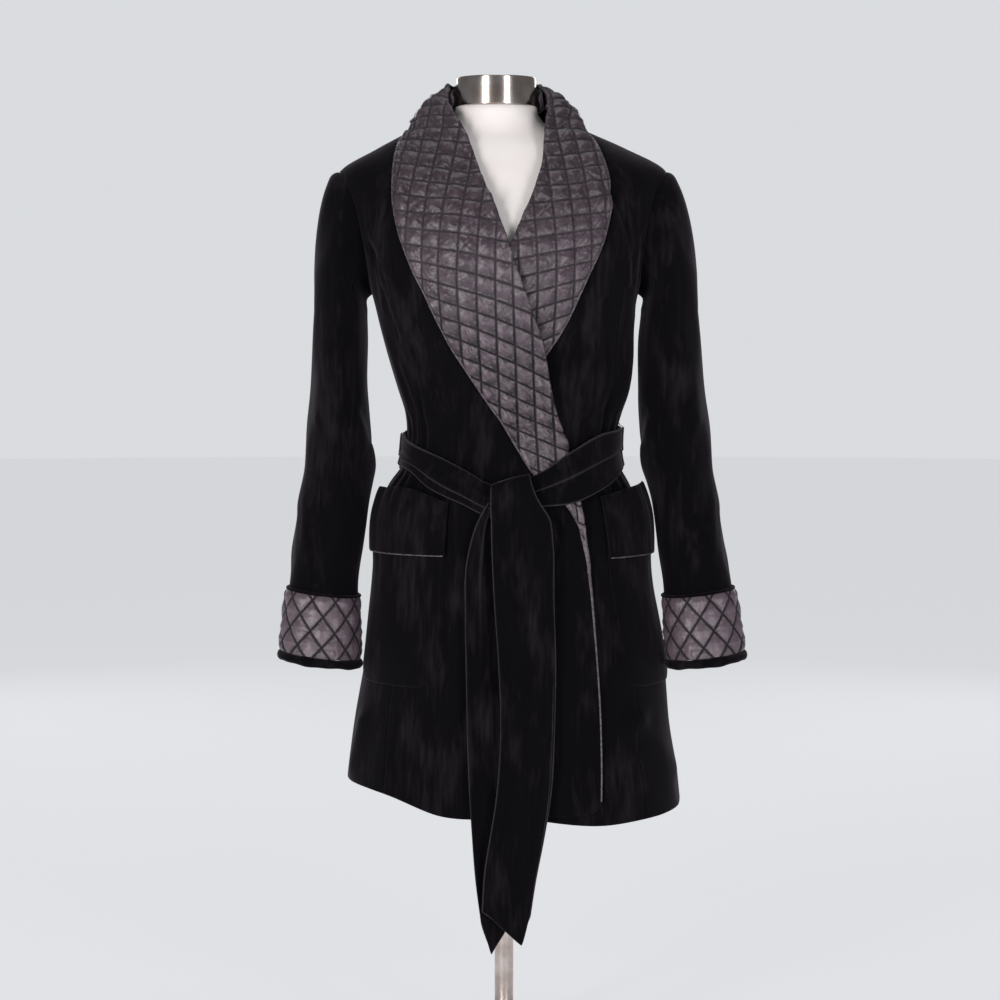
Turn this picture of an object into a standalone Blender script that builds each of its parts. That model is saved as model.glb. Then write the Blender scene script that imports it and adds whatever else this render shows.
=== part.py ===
"""Velvet smoking jacket with a quilted shawl collar, worn by a limbless dress form on a slim stand.

Sizes are in metres and +Z is up. The jacket's front faces -Y, the wearer's right side is -X, and
the origin is the middle of the stand's base, on the surface that it rests on.
"""

import math
from collections import namedtuple

import bmesh
import bpy
import numpy as np

# Cloth thicknesses and the air between layers.
VELVET_WALL = 0.0020
BELT_WALL = 0.0030
SEAM_GAP = 0.0003
LAYER_GAP = 0.0011
PANEL_GAP = 0.0014
QUILT_RISE = 0.0014

# Jacket heights, from the surface that the stand rests on.
HEM_LEVEL = 0.290
ARMHOLE_BOTTOM = 0.878
ARMHOLE_TOP = 1.018
NECK_SEAM = 1.088
BACK_NECK_SEAM = 1.078
SHOULDER_PHI = 90.0
SHOULDER_SEAM_HALF = 0.4

# Rows and columns of the panels.
LOW_HEIGHTS = [
    HEM_LEVEL, 0.335, 0.380, 0.425, 0.470, 0.520, 0.565, 0.605, 0.634, 0.656, 0.675,
    0.695, 0.718, 0.742, 0.770, 0.805, 0.840, ARMHOLE_BOTTOM,
]
HIGH_ROWS = 9
SEAM_ROWS = 4
FRONT_COLUMNS = 11
SIDE_COLUMNS = 4
BACK_COLUMNS = 10

# Dress form and stand.
BASE_RADIUS = 0.125
BASE_THICKNESS = 0.010
POLE_RADIUS = 0.011
FORM_BOTTOM = 0.450
FORM_NECK_TOP = 1.094
CAP_TOP = 1.128
CAP_RADIUS = 0.0465
FORM_SIDES = 24
FORM_ROUND = 1.4
FORM_EDGE = 0.020
FORM_EDGE_HEIGHT = 0.006
FORM_NECK_RADIUS = 0.047
FORM_NECK_START = 1.052
CAP_EDGE = 0.003
POLE_SIDES = 20
BASE_SIDES = 36
BASE_EDGE = 0.002
NECK_X = -0.009
NECK_Y = 0.008

FORM_LEVELS = [
    FORM_BOTTOM, 0.456, 0.470, 0.540, 0.600, 0.660, 0.700, 0.750, 0.820, 0.880, 0.930,
    0.970, 1.000, 1.016, 1.028, 1.040, 1.052, 1.066, 1.080, FORM_NECK_TOP,
]

# How far the dress form lies inside the jacket's inner face.
InsetPoint = namedtuple("InsetPoint", "z inset")
FORM_INSET = [
    InsetPoint(0.450, 0.0120),
    InsetPoint(0.600, 0.0140),
    InsetPoint(0.700, 0.0100),
    InsetPoint(0.800, 0.0080),
    InsetPoint(0.900, 0.0060),
    InsetPoint(0.980, 0.0050),
    InsetPoint(1.005, 0.0040),
    InsetPoint(1.045, 0.0037),
    InsetPoint(1.060, 0.0050),
    InsetPoint(1.075, 0.0080),
    InsetPoint(1.094, 0.0090),
]

# Horizontal sections of the jacket's inner face.
Section = namedtuple("Section", "z shift half_width front back square")
BODY = [
    Section(0.240, 0.011, 0.198, 0.150, 0.150, 2.15),
    Section(0.300, 0.011, 0.194, 0.147, 0.147, 2.15),
    Section(0.380, 0.009, 0.182, 0.141, 0.143, 2.15),
    Section(0.450, 0.012, 0.174, 0.136, 0.139, 2.15),
    Section(0.560, 0.008, 0.157, 0.126, 0.131, 2.20),
    Section(0.630, 0.006, 0.149, 0.117, 0.119, 2.25),
    Section(0.656, 0.006, 0.139, 0.112, 0.110, 2.25),
    Section(0.680, 0.008, 0.124, 0.107, 0.101, 2.25),
    Section(0.715, 0.009, 0.120, 0.103, 0.093, 2.25),
    Section(0.740, 0.011, 0.124, 0.102, 0.090, 2.25),
    Section(0.770, 0.011, 0.133, 0.106, 0.091, 2.30),
    Section(0.800, 0.008, 0.139, 0.112, 0.094, 2.30),
    Section(0.840, 0.003, 0.145, 0.122, 0.100, 2.35),
    Section(0.900, 0.001, 0.158, 0.130, 0.109, 2.40),
    Section(0.950, 0.000, 0.172, 0.120, 0.114, 2.40),
    Section(0.990, -0.001, 0.182, 0.101, 0.111, 2.35),
    Section(1.020, -0.002, 0.186, 0.082, 0.101, 2.20),
    Section(1.045, -0.004, 0.142, 0.066, 0.088, 2.10),
    Section(1.070, -0.008, 0.092, 0.052, 0.074, 2.00),
    Section(1.095, -0.009, 0.058, 0.044, 0.060, 2.00),
]

# Hem height round the body, by angle from the front middle towards the wearer's left.
HemPoint = namedtuple("HemPoint", "phi over under")
HEM = [
    HemPoint(-180.0, 0.292, 0.292),
    HemPoint(-130.0, 0.296, 0.296),
    HemPoint(-92.0, 0.312, 0.300),
    HemPoint(-56.0, 0.309, 0.290),
    HemPoint(-30.0, 0.290, 0.293),
    HemPoint(0.0, 0.290, 0.290),
    HemPoint(38.0, 0.291, 0.278),
    HemPoint(60.0, 0.291, 0.281),
    HemPoint(92.0, 0.287, 0.286),
    HemPoint(130.0, 0.289, 0.289),
    HemPoint(180.0, 0.292, 0.292),
]

# Folds and soft ridges in the body: a line on the cloth, its half width and how far it stands out.
Fold = namedtuple("Fold", "phi0 z0 phi1 z1 width height")
FOLDS = [
    Fold(57.0, 0.392, 79.0, 0.325, 0.014, 0.0070),
    Fold(63.0, 0.380, 84.0, 0.300, 0.013, -0.0040),
    Fold(-72.0, 0.385, -77.0, 0.330, 0.012, 0.0050),
    Fold(-54.0, 0.740, -58.0, 0.900, 0.012, 0.0030),
    Fold(-40.0, 0.745, -46.0, 0.840, 0.012, -0.0025),
    Fold(-70.0, 0.745, -74.0, 0.830, 0.012, 0.0025),
    Fold(46.0, 0.745, 49.0, 0.880, 0.012, 0.0032),
    Fold(60.0, 0.745, 66.0, 0.850, 0.012, -0.0028),
    Fold(76.0, 0.750, 80.0, 0.850, 0.012, 0.0025),
    Fold(28.0, 0.560, 26.0, 0.330, 0.014, -0.0030),
    Fold(-12.0, 0.600, -16.0, 0.330, 0.016, -0.0030),
    Fold(110.0, 0.640, 116.0, 0.330, 0.018, 0.0060),
    Fold(132.0, 0.640, 130.0, 0.330, 0.016, -0.0045),
    Fold(158.0, 0.640, 160.0, 0.340, 0.018, 0.0050),
    Fold(-112.0, 0.640, -118.0, 0.330, 0.018, 0.0055),
    Fold(-136.0, 0.640, -132.0, 0.330, 0.016, -0.0045),
    Fold(-160.0, 0.640, -158.0, 0.340, 0.018, 0.0050),
    Fold(122.0, 0.745, 128.0, 0.880, 0.015, 0.0035),
    Fold(-120.0, 0.745, -128.0, 0.880, 0.015, 0.0035),
    Fold(150.0, 0.745, 156.0, 0.850, 0.014, -0.0030),
    Fold(-150.0, 0.745, -154.0, 0.850, 0.014, -0.0030),
]
FOLD_REACH = 0.135
SASH_PRESS = 0.030

# Edge of each front, seen from the front: x at each height.
EdgePoint = namedtuple("EdgePoint", "z x")
OVER_EDGE = [
    EdgePoint(0.240, 0.104),
    EdgePoint(0.300, 0.107),
    EdgePoint(0.400, 0.107),
    EdgePoint(0.510, 0.100),
    EdgePoint(0.583, 0.0935),
    EdgePoint(0.642, 0.0835),
    EdgePoint(0.719, 0.0632),
    EdgePoint(0.762, 0.0528),
    EdgePoint(0.828, 0.0410),
    EdgePoint(0.870, 0.0280),
    EdgePoint(0.933, 0.0100),
    EdgePoint(0.988, -0.0160),
    EdgePoint(1.040, -0.0387),
    EdgePoint(1.070, -0.0530),
    EdgePoint(1.088, -0.0700),
]
UNDER_EDGE = [
    EdgePoint(0.240, -0.075),
    EdgePoint(0.400, -0.075),
    EdgePoint(0.640, -0.062),
    EdgePoint(0.740, -0.048),
    EdgePoint(0.800, -0.034),
    EdgePoint(0.870, -0.011),
    EdgePoint(0.933, 0.0125),
    EdgePoint(0.982, 0.0285),
    EdgePoint(1.040, 0.0400),
    EdgePoint(1.070, 0.0450),
    EdgePoint(1.088, 0.0540),
]

# The long seam between a front and its side front, by angle.
SeamPoint = namedtuple("SeamPoint", "z phi")
LONG_SEAM = [
    SeamPoint(0.24, 55.0),
    SeamPoint(0.45, 57.0),
    SeamPoint(0.56, 58.5),
    SeamPoint(0.70, 60.0),
    SeamPoint(0.80, 60.0),
    SeamPoint(0.88, 58.0),
]

# Outer edge of each half of the shawl collar where it lies on its front.
OVER_COLLAR = [
    EdgePoint(0.600, 0.0905),
    EdgePoint(0.620, 0.0820),
    EdgePoint(0.640, 0.0665),
    EdgePoint(0.672, 0.0330),
    EdgePoint(0.705, 0.0130),
    EdgePoint(0.745, -0.0103),
    EdgePoint(0.792, -0.0400),
    EdgePoint(0.848, -0.0720),
    EdgePoint(0.886, -0.0915),
    EdgePoint(0.934, -0.1137),
    EdgePoint(0.960, -0.1212),
    EdgePoint(0.994, -0.1275),
    EdgePoint(1.030, -0.1265),
    EdgePoint(1.052, -0.1200),
]
UNDER_COLLAR = [
    EdgePoint(0.775, 0.0150),
    EdgePoint(0.790, 0.0300),
    EdgePoint(0.814, 0.0490),
    EdgePoint(0.839, 0.0659),
    EdgePoint(0.872, 0.0815),
    EdgePoint(0.904, 0.0961),
    EdgePoint(0.934, 0.1098),
    EdgePoint(0.960, 0.1175),
    EdgePoint(0.990, 0.1205),
    EdgePoint(1.018, 0.1178),
    EdgePoint(1.042, 0.1090),
]

# Collar round the neck: roll height and outer edge by angle round the neck.
NeckPoint = namedtuple("NeckPoint", "angle roll_z outer_z")
NECK_COLLAR = [
    NeckPoint(90.0, 1.114, 1.062),
    NeckPoint(115.0, 1.118, 1.056),
    NeckPoint(140.0, 1.120, 1.050),
    NeckPoint(179.8, 1.121, 1.046),
]
ROLL_HALF_WIDTH = 0.0560
ROLL_HALF_DEPTH = 0.0545
COLLAR_COLUMNS = 6
COLLAR_CELL = 0.0185
COLLAR_STEPS = 14
COLLAR_LYING_TOP = 1.070
COLLAR_FALL_LIFT = 0.00376
COLLAR_BELLY = 0.006

# Collar stand: its foot and its roll by angle round the neck from the middle of the back.
StandPoint = namedtuple("StandPoint", "apart foot_z roll_z")
STAND = [
    StandPoint(0.0, 1.0815, 1.1205),
    StandPoint(60.0, 1.0882, 1.1190),
    StandPoint(90.0, 1.0915, 1.1130),
    StandPoint(110.0, 1.0915, 1.1040),
]
STAND_HALF_WIDTH = 0.0535
STAND_HALF_DEPTH = 0.0520
STAND_FOOT_HALF_WIDTH = 0.0565
STAND_FOOT_HALF_DEPTH = 0.0530
STAND_REACH = 110.0
STAND_COLUMNS = 22
STAND_ROWS = 3

# Sash belt: its two edges by angle round the body.
BeltPoint = namedtuple("BeltPoint", "phi top bottom")
BELT = [
    BeltPoint(-180.0, 0.730, 0.680),
    BeltPoint(-130.0, 0.726, 0.679),
    BeltPoint(-92.0, 0.716, 0.677),
    BeltPoint(-58.0, 0.7025, 0.670),
    BeltPoint(-41.0, 0.6915, 0.653),
    BeltPoint(-26.0, 0.6770, 0.640),
    BeltPoint(-10.0, 0.6610, 0.6250),
    BeltPoint(16.0, 0.6740, 0.6360),
    BeltPoint(32.0, 0.6960, 0.6390),
    BeltPoint(53.0, 0.7180, 0.6560),
    BeltPoint(72.0, 0.7220, 0.6700),
    BeltPoint(92.0, 0.7250, 0.6760),
    BeltPoint(130.0, 0.7290, 0.6790),
    BeltPoint(180.0, 0.7300, 0.6800),
]
BELT_SIDE_LIFT = 0.0038
BELT_FRONT_LIFT = 0.0071
BELT_SIDE_PHI = 91.0
BELT_BACK_PHI = 91.6
BELT_FRONT_COLUMNS = 12
BELT_BACK_COLUMNS = 16
BELT_ROWS = 6
BELT_BELLY = 0.0022
BELT_PLEAT = 0.0015
KNOT_LEFT_PHI = -8.9
KNOT_RIGHT_PHI = 12.1
KNOT_SIDES = 16
KNOT_SQUARE = 0.65

# Sash knot: level rows from its top down.
KnotRow = namedtuple("KnotRow", "z left right back front")
KNOT = [
    KnotRow(0.6740, -0.004, 0.026, -0.1225, -0.1275),
    KnotRow(0.6690, -0.010, 0.030, -0.1220, -0.1335),
    KnotRow(0.6600, -0.0125, 0.0315, -0.1225, -0.1385),
    KnotRow(0.6480, -0.0130, 0.0320, -0.1235, -0.1410),
    KnotRow(0.6360, -0.0130, 0.0325, -0.1260, -0.1405),
    KnotRow(0.6290, -0.0125, 0.0330, -0.1290, -0.1395),
]

# Sash tails: level rows down to the start of the slanting end, then the end's own line.
TailRow = namedtuple("TailRow", "z left right y wave")
FRONT_TAIL = [
    TailRow(0.6285, -0.0150, 0.0440, -0.1355, 0.0040),
    TailRow(0.6000, -0.0145, 0.0530, -0.1385, 0.0050),
    TailRow(0.5420, -0.0120, 0.0560, -0.1450, 0.0055),
    TailRow(0.4580, -0.0065, 0.0580, -0.1530, 0.0055),
    TailRow(0.4000, -0.0045, 0.0570, -0.1570, 0.0060),
    TailRow(0.3030, -0.0100, 0.0510, -0.1655, 0.0065),
    TailRow(0.2600, -0.0160, 0.0440, -0.1675, 0.0065),
    TailRow(0.2170, -0.0220, 0.0360, -0.1680, 0.0060),
    TailRow(0.1700, -0.0250, 0.0290, -0.1680, 0.0055),
    TailRow(0.1300, -0.0250, 0.0240, -0.1680, 0.0050),
]
BACK_TAIL = [
    TailRow(0.6240, -0.0310, -0.0020, -0.1302, 0.0020),
    TailRow(0.5820, -0.0415, 0.0060, -0.1337, 0.0030),
    TailRow(0.5150, -0.0440, 0.0080, -0.1385, 0.0035),
    TailRow(0.4560, -0.0430, 0.0100, -0.1440, 0.0035),
    TailRow(0.3610, -0.0410, 0.0120, -0.1520, 0.0035),
    TailRow(0.2840, -0.0370, 0.0120, -0.1575, 0.0035),
    TailRow(0.2220, -0.0320, 0.0100, -0.1590, 0.0035),
    TailRow(0.1740, -0.0260, 0.0060, -0.1595, 0.0030),
    TailRow(0.1300, -0.0230, 0.0030, -0.1595, 0.0030),
]
EndPoint = namedtuple("EndPoint", "s z")
FRONT_TAIL_END = [EndPoint(0.0, 0.189), EndPoint(0.82, 0.150), EndPoint(1.0, 0.183)]
BACK_TAIL_END = [EndPoint(0.0, 0.174), EndPoint(0.36, 0.137), EndPoint(1.0, 0.173)]
TAIL_COLUMNS = 6
TAIL_ROWS = 13

# Belt loops at the side seams.
LOOP_PHI = 92.0
LOOP_HALF_PHI = 2.2
LOOP_OVERHANG = 0.007
LOOP_WALL = 0.0015
LOOP_STEPS = 8
LOOP_FOOT = 0.13

# Patch pockets: inner and outer edge by angle, and heights.
Pocket = namedtuple("Pocket", "side inner outer bottom patch_top cuff_bottom flare")
POCKETS = [
    Pocket("right", -33.0, -84.0, 0.432, 0.630, 0.582, 0.006),
    Pocket("left", 49.5, 88.0, 0.430, 0.636, 0.578, 0.018),
]
CuffTop = namedtuple("CuffTop", "s z")
POCKET_CUFF_TOP = {
    "right": [CuffTop(0.0, 0.6410), CuffTop(0.3, 0.6520), CuffTop(1.0, 0.6510)],
    "left": [CuffTop(0.0, 0.6470), CuffTop(0.3, 0.6510), CuffTop(1.0, 0.6540)],
}
POCKET_BULGE = 0.0030
POCKET_CORNER = 0.030
POCKET_COLUMNS = 7
POCKET_ROWS = 7
POCKET_CUFF_ROWS = 3
POCKET_CUFF_OVERHANG = 0.02
POCKET_CUFF_GAPE = 0.0015

# Sleeves: level rings below the armhole, by the two edges seen from the front.
SleeveRing = namedtuple("SleeveRing", "z outer inner y half_depth")
SLEEVES = {
    "right": [
        SleeveRing(0.858, 0.2200, 0.1595, 0.000, 0.0770),
        SleeveRing(0.826, 0.2225, 0.1580, 0.002, 0.0745),
        SleeveRing(0.767, 0.2260, 0.1585, 0.004, 0.0690),
        SleeveRing(0.706, 0.2310, 0.1545, 0.004, 0.0630),
        SleeveRing(0.660, 0.2365, 0.1545, 0.000, 0.0590),
        SleeveRing(0.613, 0.2430, 0.1600, -0.009, 0.0540),
        SleeveRing(0.575, 0.2480, 0.1655, -0.018, 0.0500),
        SleeveRing(0.542, 0.2500, 0.1690, -0.027, 0.0450),
    ],
    "left": [
        SleeveRing(0.858, 0.2250, 0.1600, 0.002, 0.0770),
        SleeveRing(0.826, 0.2290, 0.1560, 0.005, 0.0745),
        SleeveRing(0.767, 0.2345, 0.1560, 0.008, 0.0690),
        SleeveRing(0.706, 0.2420, 0.1600, 0.009, 0.0630),
        SleeveRing(0.660, 0.2475, 0.1685, 0.007, 0.0590),
        SleeveRing(0.613, 0.2540, 0.1760, -0.002, 0.0540),
        SleeveRing(0.575, 0.2590, 0.1805, -0.014, 0.0500),
        SleeveRing(0.542, 0.2655, 0.1855, -0.024, 0.0450),
    ],
}
SIDE_SIGN = {"right": -1.0, "left": 1.0}
ARMHOLE_FRONT = 17.5
ARMHOLE_BACK = 21.0
SLEEVE_COLUMNS = 18
CAP_RINGS = 5
SLEEVE_RINGS = 11
SLEEVE_TILT = 7.0
TILT_START = 0.62
TILT_END = 0.55
UNDER_SLEEVE_FROM = 6
ARMHOLE_CLEAR = 0.0006
SLEEVE_IN_CUFF = 0.004
SLEEVE_EASE_TOP = 0.590
HEAD_OUT = 0.035
HEAD_OUT_TOP = 0.055
HEAD_FORWARD = 0.030
HEAD_DROP = 0.020
HEAD_RISE = 0.018

# Turned back sleeve cuffs.
Cuff = namedtuple("Cuff", "top_x bottom_x top_half bottom_half top_y bottom_y")
CUFFS = {
    "right": Cuff(-0.2095, -0.2125, 0.0430, 0.0470, -0.029, -0.0445),
    "left": Cuff(0.2255, 0.2325, 0.0425, 0.0455, -0.027, -0.0465),
}
CUFF_TOP = 0.5325
CUFF_BOTTOM = 0.4630
CUFF_ROLL_BOTTOM = 0.4530
CUFF_DEPTH_RATIO = 1.03
CUFF_CELLS_ROUND = 18
CUFF_CELLS_UP = 3
CUFF_WALL = 0.0020
CUFF_ROLL_COUNT = 20
CUFF_ROLL_SIDES = 6
CUFF_ROLL_INSET = 0.003

VELVET = (0.0090, 0.0078, 0.0115)
SATIN = (0.170, 0.140, 0.160)
JERSEY = (0.84, 0.80, 0.78)
STEEL = (0.62, 0.61, 0.60)


def smooth(t):
    """Ease from 0 to 1 as t goes from 0 to 1."""
    t = np.clip(t, 0.0, 1.0)
    return t * t * (3.0 - 2.0 * t)


def curve(x, xs, ys):
    """Smooth curve through the points (xs, ys), read at x."""
    x, xs, ys = np.asarray(x, float), np.asarray(xs, float), np.asarray(ys, float)
    x = np.clip(x, xs[0], xs[-1])
    slope = np.gradient(ys, xs)
    i = np.clip(np.searchsorted(xs, x) - 1, 0, len(xs) - 2)
    span = xs[i + 1] - xs[i]
    t = (x - xs[i]) / span
    start = (2 * t**3 - 3 * t**2 + 1) * ys[i] + (t**3 - 2 * t**2 + t) * span * slope[i]
    end = (-2 * t**3 + 3 * t**2) * ys[i + 1] + (t**3 - t**2) * span * slope[i + 1]
    return start + end


def column(rows, name):
    """One named column of a table."""
    return [getattr(row, name) for row in rows]


def table(rows, key, value, at):
    """A table's column read smoothly at values of its key column."""
    return curve(at, column(rows, key), column(rows, value))


def unit(vectors):
    """Vectors of length one."""
    return vectors / np.linalg.norm(vectors, axis=-1, keepdims=True)


def surface(phi, z):
    """Point of the body's inner face at angle phi, from the front middle, and height z."""
    shift = table(BODY, "z", "shift", z)
    width = table(BODY, "z", "half_width", z)
    square = table(BODY, "z", "square", z)
    angle = np.radians(phi)
    front = table(BODY, "z", "front", z)
    back = table(BODY, "z", "back", z)
    depth = np.where(np.cos(angle) > 0.0, front, back)
    across = np.abs(np.sin(angle) / width) ** square
    along = np.abs(np.cos(angle) / depth) ** square
    radius = (across + along) ** (-1.0 / square)
    x = shift + radius * np.sin(angle)
    y = -radius * np.cos(angle)
    return np.stack([x, y, np.broadcast_to(z, x.shape)], axis=-1)


def normal(phi, z):
    """Outward direction of the body's face."""
    round_step, up_step = 0.5, 0.002
    low = np.maximum(z - up_step, BODY[0].z)
    high = np.minimum(z + up_step, BODY[-1].z)
    around = surface(phi + round_step, z) - surface(phi - round_step, z)
    upward = surface(phi, high) - surface(phi, low)
    return unit(np.cross(around, upward))


def folds(phi, z):
    """How far the folds move the cloth out or in: the sash presses them flat."""
    turned = (phi + 180.0) % 360.0 - 180.0
    sash = (table(BELT, "phi", "top", turned) + table(BELT, "phi", "bottom", turned)) / 2.0
    free = smooth((np.abs(z - sash) - SASH_PRESS) / SASH_PRESS)
    across = np.radians(phi) * FOLD_REACH
    total = np.zeros(np.broadcast(phi, z).shape)
    for fold in FOLDS:
        start = np.array([math.radians(fold.phi0) * FOLD_REACH, fold.z0])
        line = np.array([math.radians(fold.phi1) * FOLD_REACH, fold.z1]) - start
        along = ((across - start[0]) * line[0] + (z - start[1]) * line[1]) / (line @ line)
        along = np.clip(along, 0.0, 1.0)
        apart = np.hypot(across - start[0] - along * line[0], z - start[1] - along * line[1])
        total = total + fold.height * np.exp(-((apart / fold.width) ** 2))
    return total * free


def cloth(phi, z, height):
    """Point of the cloth at a height over the body's inner face."""
    phi, z = np.broadcast_arrays(np.asarray(phi, float), np.asarray(z, float))
    lift = np.asarray(height) + folds(phi, z)
    return surface(phi, z) + normal(phi, z) * lift[..., None]


def phi_at(x, z):
    """Angle of the front point that is seen at x, at height z."""
    shift = table(BODY, "z", "shift", z)
    width = table(BODY, "z", "half_width", z)
    front = table(BODY, "z", "front", z)
    square = table(BODY, "z", "square", z)
    share = np.clip(np.abs((x - shift) / width) ** square, 0.0, 1.0)
    y = -front * (1.0 - share) ** (1.0 / square)
    return np.degrees(np.arctan2(x - shift, -y))


def over_height(phi, z):
    """How far the overlapping front's inner face stands off the body, over the layers below it."""
    x = surface(phi, z)[..., 0]
    front = np.abs(phi) < 90.0
    overlap = smooth((x + 0.118) / 0.050) * (1.0 - smooth((z - 0.950) / 0.080))
    low = (VELVET_WALL + PANEL_GAP) * overlap
    collar_stack = LAYER_GAP + VELVET_WALL + QUILT_RISE + SEAM_GAP
    above = smooth((z - 0.712) / 0.050) * (1.0 - smooth((z - 0.955) / 0.060))
    high = collar_stack * smooth((x + 0.090) / 0.040) * above
    return np.where(front, low + high, 0.0)


def no_height(phi, z):
    """The under front and the back lie straight on the body's inner face."""
    return np.zeros(np.broadcast(phi, z).shape)


def material(name, colour, roughness, metallic=0.0):
    """Plain surface colour for one kind of piece."""
    made = bpy.data.materials.new(name)
    made.use_nodes = True
    shader = made.node_tree.nodes["Principled BSDF"]
    shader.inputs["Base Color"].default_value = (*colour, 1.0)
    shader.inputs["Roughness"].default_value = roughness
    shader.inputs["Metallic"].default_value = metallic
    return made


def solid(name, points, faces, finish):
    """One closed named piece from points and faces."""
    mesh = bpy.data.meshes.new(name)
    mesh.from_pydata([tuple(map(float, point)) for point in points], [], faces)
    piece = bmesh.new()
    piece.from_mesh(mesh)
    bmesh.ops.recalc_face_normals(piece, faces=piece.faces)
    piece.to_mesh(mesh)
    piece.free()
    mesh.shade_smooth()
    mesh.set_sharp_from_angle(angle=math.radians(40.0))
    mesh.materials.append(finish)
    thing = bpy.data.objects.new(name, mesh)
    bpy.context.collection.objects.link(thing)
    return thing


def sheet_faces(rows, columns, ring, start=0):
    """Quads of a grid of points, closed round its columns when it is a ring."""
    span = columns if ring else columns - 1
    faces = []
    for i in range(rows - 1):
        for j in range(span):
            k = (j + 1) % columns
            low, high = start + i * columns, start + (i + 1) * columns
            faces.append((low + j, low + k, high + k, high + j))
    return faces


def wall(name, outer, inner, finish, ring=False, crowns=None):
    """A closed wall between two grids of points.

    crowns, one for each outer quad, raise the middle of each quilted cell.
    """
    rows, columns = outer.shape[:2]
    count = rows * columns
    points = list(outer.reshape(-1, 3)) + list(inner.reshape(-1, 3))
    outside = sheet_faces(rows, columns, ring)
    faces = [tuple(reversed(face)) for face in sheet_faces(rows, columns, ring, count)]
    if crowns is None:
        faces += outside
    else:
        for face, crown in zip(outside, crowns.reshape(-1, 3)):
            top = len(points)
            points.append(crown)
            faces += [(face[k], face[(k + 1) % 4], top) for k in range(4)]
    rims = [[j for j in range(columns)], [(rows - 1) * columns + j for j in range(columns)]]
    if ring:
        rims = [rim + rim[:1] for rim in rims]
    else:
        rims.append([i * columns for i in range(rows)])
        rims.append([i * columns + columns - 1 for i in range(rows)])
    for rim in rims:
        faces += [(a, b, b + count, a + count) for a, b in zip(rim, rim[1:])]
    return solid(name, points, faces, finish)


def stacked_rings(name, rings, finish):
    """A closed piece from rings of points, one over the other, with flat ends."""
    count = len(rings[0])
    points = np.vstack(rings)
    faces = sheet_faces(len(rings), count, True)
    faces.append(tuple(range(count)))
    faces.append(tuple(range(len(points) - count, len(points))))
    return solid(name, points, faces, finish)


def grid_normals(grid, ring=False):
    """Directions square to a grid of points."""
    if ring:
        around = np.roll(grid, -1, axis=1) - np.roll(grid, 1, axis=1)
    else:
        around = np.gradient(grid, axis=1)
    return unit(np.cross(around, np.gradient(grid, axis=0)))


def crown_points(outer, normals, rise, ring=False):
    """Raised middles of the quads of a grid."""
    following = np.roll(outer, -1, axis=1)
    turned = np.roll(normals, -1, axis=1)
    if not ring:
        outer, normals = outer[:, :-1], normals[:, :-1]
        following, turned = following[:, :-1], turned[:, :-1]
    middle = (outer[:-1] + outer[1:] + following[:-1] + following[1:]) / 4.0
    direction = unit(normals[:-1] + normals[1:] + turned[:-1] + turned[1:])
    return middle + direction * rise


def narrowed(phi, gap=SEAM_GAP / 2.0):
    """Angles of a panel's rows, drawn in by a small gap at both side edges."""
    step = math.degrees(gap / FOLD_REACH)
    turned = phi.copy()
    turned[:, 0] += step * np.sign(phi[:, 1] - phi[:, 0])
    turned[:, -1] -= step * np.sign(phi[:, -1] - phi[:, -2])
    return turned


def armhole(alpha, sign):
    """Angle and height of the armhole, by angle alpha from its top towards the front."""
    reach = np.where(np.sin(np.radians(alpha)) >= 0.0, ARMHOLE_FRONT, ARMHOLE_BACK)
    phi = sign * (SHOULDER_PHI - reach * np.sin(np.radians(alpha)))
    middle = (ARMHOLE_TOP + ARMHOLE_BOTTOM) / 2.0
    half = (ARMHOLE_TOP - ARMHOLE_BOTTOM) / 2.0
    return phi, middle + half * np.cos(np.radians(alpha))


def low_heights(hem):
    """Heights of the rows from the hem to the bottom of the armhole."""
    heights = np.array(LOW_HEIGHTS)[:, None]
    share = (heights - heights[0]) / (heights[-1] - heights[0])
    return hem + (ARMHOLE_BOTTOM - hem) * share


def coons(bottom, top, left, right):
    """Angles and heights filled in between four edges, each an array of (phi, z)."""
    rows, columns = len(left), len(bottom)
    u = np.linspace(0.0, 1.0, columns)[None, :, None]
    v = np.linspace(0.0, 1.0, rows)[:, None, None]
    ruled = (1 - v) * bottom[None] + v * top[None] + (1 - u) * left[:, None] + u * right[:, None]
    corners = (1 - u) * (1 - v) * bottom[0] + u * (1 - v) * bottom[-1]
    return ruled - corners - (1 - u) * v * top[0] - u * v * top[-1]


def seam_phi(z, sign):
    """Angle of the long seam between a front and its side front, below the armhole."""
    return sign * table(LONG_SEAM, "z", "phi", z)


def seam_top(share, sign):
    """The long seam where it curves up into the armhole, share from 0 to 1."""
    end_phi, end_z = armhole(180.0 - 20.0 * SEAM_ROWS, 1.0)
    share = np.asarray(share, float)
    start_phi = seam_phi(ARMHOLE_BOTTOM, 1.0)
    phi = start_phi + (end_phi - start_phi) * share**2.2
    z = ARMHOLE_BOTTOM + (end_z - ARMHOLE_BOTTOM) * share**0.75
    return sign * phi, z


def armhole_rows(sign, towards):
    """The armhole's front or back half, from its bottom to the shoulder."""
    alpha = towards * np.linspace(180.0, 0.0, HIGH_ROWS + 1)
    return np.stack(armhole(alpha, sign), axis=-1)


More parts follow.
